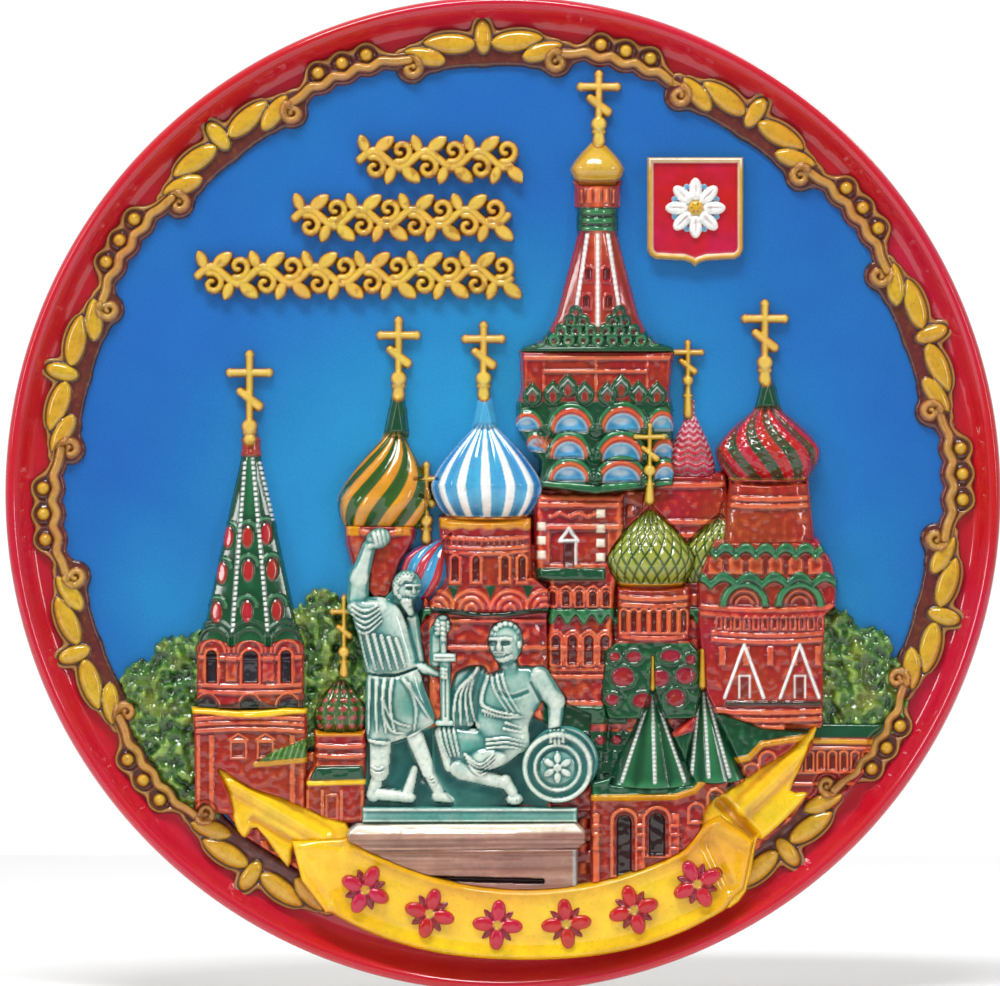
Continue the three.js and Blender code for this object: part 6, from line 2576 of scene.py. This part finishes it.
class Pedestal(Relief):
    """The stone pedestal: a three-stepped slab over a die with lengthwise brush streaks."""

    name = "statue_pedestal"
    slot = "stone_glaze"
    extent = (-32.8, 17.6, -83, -65.4)

    def outline(self) -> Shape:
        """Slab and die."""
        slab = polygon([(-29.4, -65.7), (14.6, -65.4), (17.0, -67.9), (16.9, -70.2), (15.0, -71.4),
                        (-30.6, -72.0), (-32.4, -70.0), (-32.6, -68.4)])
        die = polygon([(-30.0, -71), (15.2, -70.6), (15.2, -82), (-30.0, -82)])
        return slab | die

    def model(self, clay: Clay) -> None:
        """Model the steps and paint the streaks, a painted highlight on the slab's top face and painted shade
        under each step.
        """
        z = clay.z - 0.006 * clay.x
        steps = np.interp(z, [-82, -72.1, -71.8, -71.5, -70.3, -70.1, -69.3, -69.1, -68.0, -66.2, -65.6],
                          [5.9, 5.9, 6.5, 6.6, 6.6, 7.0, 7.0, 7.3, 7.3, 6.2, 6.0])
        clay.h = steps * (0.55 + 0.45 * step(clay.out, 0, 0.7)) * step(clay.out, -0.4, 0.2)
        clay.dab(None, Paint.STONE)
        noise = clay.noise(0.4)
        streaks = np.cumsum(noise, axis=1)
        window = 45
        pad = np.pad(streaks, ((0, 0), (window, window)), mode="edge")
        streaks = pad[:, 2 * window:] - pad[:, :-2 * window]
        streaks = streaks / max(float(streaks.std()), 1e-6)
        clay.tint(np.clip(streaks * 0.24, 0, 0.6), Paint.STONE_PALE)
        clay.tint(np.clip(-streaks * 0.24, 0, 0.6), Paint.STONE_DARK)
        clay.h = clay.h + 0.05 * streaks
        # Painted highlight on the slab's top face.
        clay.tint(step(z, -68.2, -67.4) * 0.85 * (0.6 + 0.4 * np.clip(streaks + 0.8, 0, 1)), Paint.CREAM)
        # Painted shade under each step's ledge.
        for level in (-69.2, -70.2, -71.7):
            clay.tint(step(-np.abs(z - level), -0.28, -0.05) * 0.5, Paint.STONE_DARK)
        gap = limb((-15.4, -77.0), (7.8, -77.6), 0.55)
        clay.bead(gap, -2.2, 0.5)
        clay.dab(gap.grow(0.1), Paint.UMBER, 0.4)
        clay.dab(box(14.0, 16, -79, -71.3), Paint.SILVER, 0.6, 0.85)
        clay.dab(limb((-32.4, -68.6), (-29.6, -66.0), 0.8), Paint.SILVER, 0.6, 0.8)


# ---------------------------------------------------------------------------------------------
# Dish and hanger
# ---------------------------------------------------------------------------------------------


@dataclass
class Dish:
    """The turned dish: flat painted field, raised lip, sloping back and foot ring."""

    sides: int = 256
    rim_from: float = 89.5
    hole_z: float = 42.0
    hole_y: float = -3.0
    hole_radius: float = 1.25

    def profile(self) -> list[Point]:
        """Radius and depth of the dish's section, from the middle of the front round to the back."""
        front = [(r, FIELD_Y) for r in (*range(2, 87, 3), 88, 89.3, 89.7, 91, 92.6, 93.6)]
        lip = [(94.6, -10.75), (95.5, -11.35), (96.3, -12.35), (96.9, -13.4), (97.5, -14.25), (98.1, -14.75),
               (98.7, -14.95), (99.3, -14.65), (99.75, -14.0), (99.98, -13.2), (99.95, -12.4), (99.6, -11.4),
               (99.0, -10.85), (98.0, -10.45), (95, -9.7), (90, -8.6), (86, -7.84), (82, -7.2)]
        slope = [(r, -6.75 + 0.058 * (75 - r) + 0.035 * (-1) ** k) for k, r in enumerate(range(78, 59, -2))]
        ring = [(57.2, -5.85), (56.0, -5.6), (55.3, -5.15), (55.0, -4.5), (55.0, -0.8), (54.8, -0.25),
                (54.3, 0.0), (49.7, 0.0), (49.2, -0.25), (49.0, -0.8), (49.0, -5.2), (48.7, -5.75),
                (48.0, -6.0)]
        back = [(r, -6.0 - 0.03 * (-1) ** k) for k, r in enumerate(range(46, 1, -2))]
        return [*front, *lip, *slope, *ring, *back]

    def lathe(self) -> bpy.types.Object:
        """Turn the section into a closed solid of quads, with a small disc of quads at each pole."""
        rows = self.profile()
        turns = np.arange(self.sides) * 2 * math.pi / self.sides
        points = np.array([[r * np.cos(turns), np.full(self.sides, y), r * np.sin(turns)] for r, y in rows])
        points = points.transpose(0, 2, 1).reshape(-1, 3)
        ring = np.arange(self.sides)
        following = (ring + 1) % self.sides
        faces = []
        for k in range(len(rows) - 1):
            a, b = k * self.sides, (k + 1) * self.sides
            faces.append(np.stack([a + ring, a + following, b + following, b + ring], 1))
        last = (len(rows) - 1) * self.sides
        middle_front, middle_back = len(points), len(points) + 1
        points = np.concatenate([points, [[0, rows[0][1], 0], [0, rows[-1][1], 0]]])
        half = np.arange(0, self.sides, 2)
        for start, centre, flip in ((0, middle_front, True), (last, middle_back, False)):
            a, b, c = start + half, start + half + 1, start + (half + 2) % self.sides
            fan = np.stack([np.full(len(half), centre), a, b, c], 1)
            faces.append(fan[:, ::-1] if flip else fan)
        quads = np.concatenate(faces)[:, ::-1]
        return solid("plate_body_glazed", points * MM, quads)

    def drill(self, dish: bpy.types.Object) -> None:
        """Cut the two hanger holes through the foot ring."""
        through = 0.11
        bm = bmesh.new()
        bmesh.ops.create_cone(bm, cap_ends=True, segments=48, radius1=self.hole_radius * MM,
                              radius2=self.hole_radius * MM, depth=through)
        bmesh.ops.rotate(bm, verts=bm.verts, matrix=Matrix.Rotation(math.pi / 2, 3, "Y"))
        bmesh.ops.translate(bm, verts=bm.verts, vec=(0, self.hole_y * MM, self.hole_z * MM))
        mesh = bpy.data.meshes.new("hole_cutter")
        bm.to_mesh(mesh)
        bm.free()
        cutter = bpy.data.objects.new("hole_cutter", mesh)
        bpy.context.scene.collection.objects.link(cutter)
        cut = dish.modifiers.new("holes", "BOOLEAN")
        cut.operation, cut.solver, cut.object = "DIFFERENCE", "EXACT", cutter
        graph = bpy.context.evaluated_depsgraph_get()
        drilled = bpy.data.meshes.new_from_object(dish.evaluated_get(graph))
        dish.modifiers.clear()
        old, dish.data = dish.data, drilled
        bpy.data.objects.remove(cutter)
        for spare in (old, mesh):
            bpy.data.meshes.remove(spare)
        for face in dish.data.polygons:
            face.use_smooth = True

    def paint(self, dish: bpy.types.Object) -> None:
        """Paint sky, flange and back by where each vertex lies."""
        count = len(dish.data.vertices)
        place = np.empty(count * 3, np.float32)
        dish.data.vertices.foreach_get("co", place)
        x, y, z = (place.reshape(-1, 3) / MM).T
        reach = np.hypot(x, z)
        pale = np.clip(1 - np.hypot((x - 1) / 80, (z + 7) / 71), 0, 1)
        low = 0.55 * step(-z, -6, 26) * (1 - 0.7 * step(reach, 72, 87))
        glow = np.maximum(step(pale, 0.0, 0.66) * 0.85, low)[:, None]
        rgb = Paint.SKY_DEEP.rgb * (1 - glow) + Paint.SKY_PALE.rgb * glow
        edge = (step(reach, 70, 88) * 0.35)[:, None]
        rgb = rgb * (1 - edge) + Paint.SKY_DEEP.rgb * 0.9 * edge
        flange = (reach > self.rim_from)[:, None]
        shade = (0.35 * step(-reach, -93.5, -90.0))[:, None]
        red = Paint.CRIMSON.rgb * (1 - shade) + Paint.BROWN.rgb * shade
        rgb = np.where(flange, red, rgb)
        behind = (y > -10.3) & (reach < 98.9)
        corner = behind & (y > -6.3) & (y < -4.9) & (np.abs(reach - 52) < 6)
        worn = (y > -0.5) & (reach < 56)
        shaded = Paint.BACK.rgb * 0.8
        for where, colour in ((behind, Paint.BACK.rgb), (corner, shaded), (worn, Paint.BISCUIT.rgb)):
            rgb = np.where(where[:, None], colour, rgb)
        layer = dish.data.color_attributes.get("paint") or \
            dish.data.color_attributes.new("paint", "FLOAT_COLOR", "POINT")
        full = np.concatenate([rgb, np.ones((count, 1))], 1)
        layer.data.foreach_set("color", full.astype(np.float32).ravel())

    def build(self) -> bpy.types.Object:
        """Make the finished dish."""
        dish = self.lathe()
        self.drill(dish)
        self.paint(dish)
        return dish


@dataclass
class WallHanger:
    """The bent wire bail that the plate hangs by."""

    wire: float = 1.8
    pivot_z: float = 42.0
    leg_x: float = 14.0
    end_x: float = 32.5
    bend: float = 3.0
    drop: float = 24.0
    y: float = -3.0
    sides: int = 24

    def half_path(self) -> list[Point]:
        """The wire's middle line from its end to the bottom of the loop."""
        top, bottom = self.pivot_z, self.pivot_z - self.drop
        points = [(-self.end_x + (self.end_x - self.leg_x - self.bend) * k / 8, top) for k in range(8)]
        for k in range(9):
            t = k / 8
            points.append((-self.leg_x - self.bend * (1 - t) ** 2, top - self.bend * t * t))
        leg = self.drop - self.leg_x - self.bend
        points += [(-self.leg_x, top - self.bend - leg * k / 3) for k in (1, 2)]
        bow = self.leg_x * 0.55
        ends = ((-self.leg_x, bottom + self.leg_x), (-self.leg_x, bottom + self.leg_x - bow), (-bow, bottom),
                (0.0, bottom))
        for k in range(25):
            t = k / 24
            w = ((1 - t) ** 3, 3 * t * (1 - t) ** 2, 3 * t * t * (1 - t), t ** 3)
            points.append((sum(a * p[0] for a, p in zip(w, ends)), sum(a * p[1] for a, p in zip(w, ends))))
        return points

    def build(self) -> bpy.types.Object:
        """Sweep a round section along the wire, with rounded ends."""
        left = self.half_path()
        path = np.array([*left, *[(-x, z) for x, z in reversed(left[:-1])]])
        ahead = np.gradient(path, axis=0)
        ahead /= np.linalg.norm(ahead, axis=1)[:, None]
        radius = self.wire / 2
        last = len(path) - 1
        rows = [(0, 0.0, 0.35), (0, 0.12, 0.8), (0, 0.25, 1.0), *[(i, 0.0, 1.0) for i in range(1, last)],
                (last, -0.25, 1.0), (last, -0.12, 0.8), (last, 0.0, 0.35)]
        turns = np.arange(self.sides) * 2 * math.pi / self.sides
        rings = []
        for i, along, scale in rows:
            at = path[i] + ahead[i] * along
            side = np.array([-ahead[i][1], ahead[i][0]])
            out = radius * scale
            rings.append(np.stack([at[0] + out * np.cos(turns) * side[0], self.y + out * np.sin(turns),
                                   at[1] + out * np.cos(turns) * side[1]], 1))
        points = np.concatenate(rings)
        ring, following = np.arange(self.sides), (np.arange(self.sides) + 1) % self.sides
        faces = [np.stack([k * self.sides + ring, k * self.sides + following,
                           (k + 1) * self.sides + following, (k + 1) * self.sides + ring], 1)
                 for k in range(len(rings) - 1)]
        end_ring = (len(rings) - 1) * self.sides
        for start, flip in ((0, True), (end_ring, False)):
            for k in range(self.sides // 2 - 1):
                far = start + self.sides - 1 - k
                quad = np.array([[start + k, start + k + 1, far - 1, far]])
                faces.append(quad[:, ::-1] if flip else quad)
        return solid("wall_hanger_drawn", points * MM, np.concatenate(faces))


# ---------------------------------------------------------------------------------------------
# The picture, from back to front
# ---------------------------------------------------------------------------------------------


@dataclass
class LeaningDome(Dome):
    """A dome that leans out from behind its neighbour and carries a plain gilded post."""

    post: Finial = field(default_factory=lambda: Finial(-15.4, -9.0, -5.4, 5.9, 2.3, bar=0.72, lift=2.6))

    def outline(self) -> Shape:
        """The dome and its post."""
        return self.skin() | self.post.outline()

    def limits(self) -> tuple[float, float, float, float]:
        """The dome's and the post's limits."""
        left, right, low, high = super().limits()
        return left, right, low, max(high, self.post.top + 1)

    def model(self, clay: Clay) -> None:
        """Model the dome, then gild the post."""
        super().model(clay)
        self.post.model(clay)


class YellowDrum(Drum):
    """The drum under the yellow dome, half hidden behind the raised arm."""

    def __init__(self) -> None:
        """Set the drum's sizes."""
        super().__init__("yellow_dome_drum", -24.4, -21.4, -6.4, 4.2, 7.6, courses=(-7.6,), depth=4.6)

    def outline(self) -> Shape:
        """The drum tapers in a curve to the left."""
        return polygon([(-31.8, -6.2), (-17.6, -6.2), (-17.8, -9), (-20.6, -13.6), (-23.0, -20.8),
                        (-25.6, -21.6), (-30.5, -14), (-31.6, -10)])

    def model(self, clay: Clay) -> None:
        """Add a gold band and short gold patches under the dome."""
        super().model(clay)
        for left, right in ((-31.4, -28.9), (-21.6, -18.6)):
            clay.dab(box(left, right, -8.3, -6.0), Paint.YELLOW_DEEP, 0.5)


# The garland unit that would lie wholly under the banner, and the pieces that are laid on others.
HIDDEN_UNIT = 5
LAID_ON = ("crest_rosette", "banner_motif")


def picture() -> list[Relief]:
    """Lay out every piece of the picture, from the back to the front."""
    domes = Pattern
    return [
        Trees("trees_left", [(-72.6, -37.6, 4.2), (-66, -33.2, 4.6), (-60.6, -31.6, 4.2)],
              [(-76.6, -42), (-70, -38), (-58, -34), (-57, -66), (-62, -64), (-67.5, -60), (-73.5, -50)]),
        Trees("trees_middle", [(-36.4, -22.6, 3.6), (-40, -25.4, 2.8), (-32.4, -26, 3.4)],
              [(-42.4, -28), (-36, -24), (-26.6, -30), (-24.6, -50), (-42.4, -50)]),
        Trees("trees_right", [(66.6, -28.2, 5.0), (73.6, -31.6, 4.8), (78.4, -37.2, 3.8)],
              [(61, -28), (70, -31), (80.6, -38), (81, -44), (77, -49.6), (61, -49.6)]),
        TowerBody(),
        Drum("rose_dome_drum", 36.6, -16.0, 4.2, 10.6, 8.2, slits=(33.0, 36.4, 39.8), slit_low=-4.0,
             slit_high=0.4, courses=(-5.2, -7.8, 2.2), depth=3.6),
        Dome("rose_dome", "rose_glaze", 37.8, 3.4, 4.4, 4.9, 15.0, domes.WAVES, Paint.ROSE, Paint.BLUSH,
             Paint.CRIMSON_DARK, widest=0.16, balance=-0.3, depth=4.4,
             finial=Finial(37.2, 16, 22.8, 30.5, 2.8, bar=0.6)),
        Dome("back_dome", "lime_glaze", 41.4, -18.0, 5.2, 6.8, 16.0, domes.SCALES, Paint.LIME,
             Paint.LIME_DARK, Paint.ROOF_DARK, widest=0.4, count=20, depth=4.2, apex_shift=2.8),
        TowerTent(),
        TowerArcade(),
        Dome("tower_gold_dome", "gold_glaze", 19.0, 62.6, 3.9, 5.3, 9.8, domes.SMOOTH, Paint.GOLD, Paint.GOLD,
             Paint.GOLD_DARK, widest=0.3, depth=4.6, rim=Paint.GOLD_DARK,
             finial=Finial(19.3, 71, 74.4, 84.6, 3.7)),
        CrimsonTower(),
        Drum("crimson_dome_drum", 53.4, -10.2, 3.4, 9.4, 8.0, slits=(46.9, 50.2, 56.6, 59.9),
             slit_low=-8.4, slit_high=-3.4, courses=(-0.6, -2.0), depth=6.2),
        Dome("crimson_dome", "crimson_glaze", 53.3, 2.6, 7.6, 10.5, 17.8, domes.STUDS, Paint.CRIMSON,
             Paint.ROOF, Paint.CRIMSON_DARK, widest=0.36, count=11, twist=2.4, depth=7.2,
             rim=Paint.YELLOW_DEEP, neck=Paint.ROOF, neck_top=21.6, finial=Finial(52.7, 23, 26.4, 38.4, 4.0)),
        YellowDrum(),
        Dome("yellow_dome", "yellow_glaze", -24.0, -6.6, 7.8, 9.5, 22.6, domes.RIBS, Paint.YELLOW_DEEP,
             Paint.LEAF_DEEP, Paint.LEAF_DARK, widest=0.26, count=9, twist=-2.4, depth=6.4, apex_shift=2.8,
             neck=Paint.ROOF, neck_top=19.0, finial=Finial(-21.0, 20, 23.2, 35.0, 3.7)),
        BlueDrum(),
        Dome("blue_dome", "sky_glaze", -3.2, -4.9, 7.8, 11.4, 22.6, domes.RIBS, Paint.WHITE, Paint.DOME_BLUE,
             Paint.SKY_DEEP, widest=0.3, count=14, twist=0.12, depth=7.6, apex_shift=-0.4,
             rim=Paint.YELLOW_DEEP, neck=Paint.DOME_BLUE, neck_top=18.6, balance=0.35,
             finial=Finial(-3.9, 20, 23.2, 34.0, 3.7)),
        LeaningDome("striped_dome", "rose_glaze", -18.2, -19.4, 4.4, 5.6, 14.0, domes.RIBS, Paint.CRIMSON,
                    Paint.DOME_BLUE, Paint.SKY_DEEP, widest=0.35, count=9, twist=0.8, depth=4.4, tilt=34),
        ScaleDrum(),
        Dome("scale_dome", "lime_glaze", 29.7, -18.4, 6.6, 9.2, 18.4, domes.SCALES, Paint.LIME,
             Paint.LIME_DARK, Paint.ROOF_DARK, widest=0.3, count=22, depth=7.4, rim=Paint.YELLOW_DEEP,
             finial=Finial(29.4, -1.2, 4.7, 13.8, 2.9, bar=0.75, lift=6.6)),
        GateBase(),
        GateBelfry(),
        GateSpire(),
        ChapelBody(),
        Dome("chapel_dome", "leaf_glaze", -32.6, -48.2, 4.8, 5.7, 13.4, domes.SPOTS, Paint.LEAF_DEEP,
             Paint.OLIVE, Paint.LEAF_DARK, widest=0.33, count=12, twist=0.6, depth=5.2,
             finial=Finial(-31.9, -36.0, -31.7, -20.8, 2.4, bar=0.7, lift=5.4)),
        GalleryRight(),
        Gallery(),
        Tent("tent_rear", 42.4, -57.6, -38.2, 6.6, -31.4, [(-0.7, -4.6), (0.3, -1.2), (1.2, 3.0)], lean=-2.4,
             height=5.6),
        Tent("tent_front", 30.0, -58.6, -38.6, 8.7, -32.6, [(-0.5, -6.2), (0.0, 0.4), (0.6, 6.4)]),
        *[Garland(f"rim_garland_{i + 1}", 92.5 + 36 * k, k != HIDDEN_UNIT + 1)
          for i, k in enumerate(k for k in range(10) if k != HIDDEN_UNIT)],
        TitleVine("title_vine_upper", -28.7, 1.5, 67.3),
        TitleVine("title_vine_middle", -41.8, 1.0, 55.6),
        TitleVine("title_vine_lower", -61.3, 1.5, 44.0),
        CrestShield(),
        CrestRosette(),
        StandingFigure(),
        SeatedFigure(),
        RoundShield(),
        Sword(),
        StatuePlinth(),
        Pedestal(),
        BannerTail("banner_tail_left",
                   [(-57.4, -54.6), (-50.6, -58.6), (-44, -60.8), (-36, -64.4), (-30.6, -67.4),
                    (-34.6, -80.6), (-38.2, -78.6), (-42, -70.6), (-43.2, -74.9), (-49.4, -67),
                    (-51.8, -69), (-53.8, -66.4), (-55.2, -60.4)],
                   [((-54, -58), (-36, -68.6), 2.4, 0.9), ((-50, -65.4), (-40, -71), 1.6, -0.7)],
                   [((-39, -74), 4.2, 0.6), ((-47, -66.4), 3.4, 0.3)]),
        BannerTail("banner_tail_right",
                   [(39.4, -68.6), (40.6, -62.4), (46.8, -58.2), (52, -54.4), (57, -51.4), (62.9, -46.2),
                    (61.2, -52), (57.8, -59.4), (61.2, -60.0), (57.0, -65.0), (52.2, -69.3), (50.9, -69.6),
                    (48.8, -79.8), (44, -83.2), (40.2, -76)],
                   [((45, -66), (60, -51.6), 2.4, 1.1), ((43.6, -61.8), (50, -68.6), 2.0, -1.6),
                    ((47, -79), (47.6, -70), 1.6, -0.5)],
                   [((47.2, -64.6), 3.8, 0.75), ((43.6, -62.2), 2.0, 0.7), ((54, -64), 3.0, 0.25)]),
        BannerBand(),
        *[BannerMotif(f"banner_motif_{k + 1}", k) for k in range(6)],
    ]


# ---------------------------------------------------------------------------------------------
# Studio
# ---------------------------------------------------------------------------------------------


@dataclass(frozen=True)
class SoftBox:
    """One rectangular studio light that faces the plate."""

    name: str
    place: tuple[float, float, float]
    across: float
    up: float
    watts: float
    aim: tuple[float, float, float] = (0.0, 0.0, 0.0)
    colour: tuple[float, float, float] = (1.0, 1.0, 1.0)

    def build(self) -> None:
        """Hang the light."""
        data = bpy.data.lights.new(self.name, "AREA")
        data.shape, data.size, data.size_y = "RECTANGLE", self.across, self.up
        data.energy, data.color = self.watts, self.colour
        lamp = bpy.data.objects.new(self.name, data)
        lamp.location = self.place
        lamp.rotation_euler = (Vector(self.aim) - Vector(self.place)).to_track_quat("-Z", "Y").to_euler()
        bpy.context.scene.collection.objects.link(lamp)


class Studio:
    """Floor, surrounding light, soft boxes and camera."""

    floor_z = -0.1006
    boxes = (
        SoftBox("softbox_top", (-0.1, -0.42, 0.8), 0.5, 0.16, 6.6),
        SoftBox("softbox_left", (-0.9, -0.6, 0.35), 0.12, 0.5, 2.2),
        SoftBox("softbox_right", (0.85, -0.7, 0.2), 0.1, 0.4, 1.4),
        SoftBox("softbox_back", (0.5, 0.8, 0.7), 0.4, 0.3, 2.0),
    )

    def floor(self) -> None:
        """Lay a pale floor that reaches a little way round the plate."""
        half, thick = 0.6, 0.004
        corners = [(-half, -0.5), (half, -0.5), (half, 0.45), (-half, 0.45)]
        points = np.array([(x, y, z) for z in (self.floor_z, self.floor_z - thick) for x, y in corners])
        quads = np.array([(0, 1, 2, 3), (7, 6, 5, 4), (0, 4, 5, 1), (1, 5, 6, 2), (2, 6, 7, 3), (3, 7, 4, 0)])
        slab = solid("studio_floor", points, quads)
        for face in slab.data.polygons:
            face.use_smooth = False
        slab.data.materials.append(StudioFloor().make())

    def surround(self) -> None:
        """Light the room white, brightest behind the plate and overhead."""
        world = bpy.data.worlds.new("studio_surround")
        bpy.context.scene.world = world
        world.use_nodes = True
        tree = world.node_tree
        background = tree.nodes["Background"]
        place = tree.nodes.new("ShaderNodeTexCoord")
        parts = tree.nodes.new("ShaderNodeSeparateXYZ")
        tree.links.new(place.outputs["Generated"], parts.inputs[0])
        total = tree.nodes.new("ShaderNodeMath")
        total.operation = "ADD"
        for slot, (low, high, dim, bright) in enumerate(((-0.6, 0.1, 0.26, 0.7), (0.86, 0.96, 0.0, 0.36))):
            part = tree.nodes.new("ShaderNodeMapRange")
            for key, value in (("From Min", low), ("From Max", high), ("To Min", dim), ("To Max", bright)):
                part.inputs[key].default_value = value
            tree.links.new(parts.outputs["Y"], part.inputs["Value"])
            tree.links.new(part.outputs["Result"], total.inputs[slot])
        tree.links.new(total.outputs["Value"], background.inputs["Strength"])
        background.inputs["Color"].default_value = (1.0, 1.0, 1.0, 1.0)

    def camera(self) -> None:
        """Stand the camera square in front of the plate."""
        data = bpy.data.cameras.new("studio_camera")
        data.lens, data.sensor_width = 214.7, 36.0
        data.shift_x, data.shift_y = -0.003, 0.001
        data.clip_start, data.clip_end = 0.05, 50.0
        stand = bpy.data.objects.new("studio_camera", data)
        stand.location = (0.0, -1.211, 0.0)
        stand.rotation_euler = (math.pi / 2, 0.0, 0.0)
        bpy.context.scene.collection.objects.link(stand)
        bpy.context.scene.camera = stand

    def build(self) -> None:
        """Set up the whole studio."""
        self.floor()
        self.surround()
        for one in self.boxes:
            one.build()
        self.camera()
        bpy.context.scene.view_settings.view_transform = "Standard"


# ---------------------------------------------------------------------------------------------
# Assembly
# ---------------------------------------------------------------------------------------------


def finish_piece(piece: bpy.types.Object, node: str, body: str,
                 material: bpy.types.Material) -> None:
    """Dress a piece, let it ride on its body and stand in for its node."""
    dress(piece, material)
    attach(piece, body)
    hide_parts(node)
    log.info("%s: %d faces on %s", piece.name, len(piece.data.polygons), body)


def main() -> None:
    """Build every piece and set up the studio."""
    logging.basicConfig(level=logging.INFO, format="%(message)s")
    glaze, dish_glaze, wire = PaintedGlaze().make(), DishGlaze().make(), DrawnWire().make()
    finish_piece(Dish().build(), "plate_body", PLATE_BODY, dish_glaze)
    finish_piece(WallHanger().build(), "wall_hanger", HANGER_BODY, wire)
    parts = picture()
    for number, part in enumerate(parts):
        fronts = [other for other in parts[number + 1:] if not other.name.startswith(LAID_ON)]
        piece = part.build(fronts, number + 1)
        finish_piece(piece, part.name, PLATE_BODY, glaze)
    Studio().build()
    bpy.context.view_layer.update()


if __name__ == "__main__":
    main()
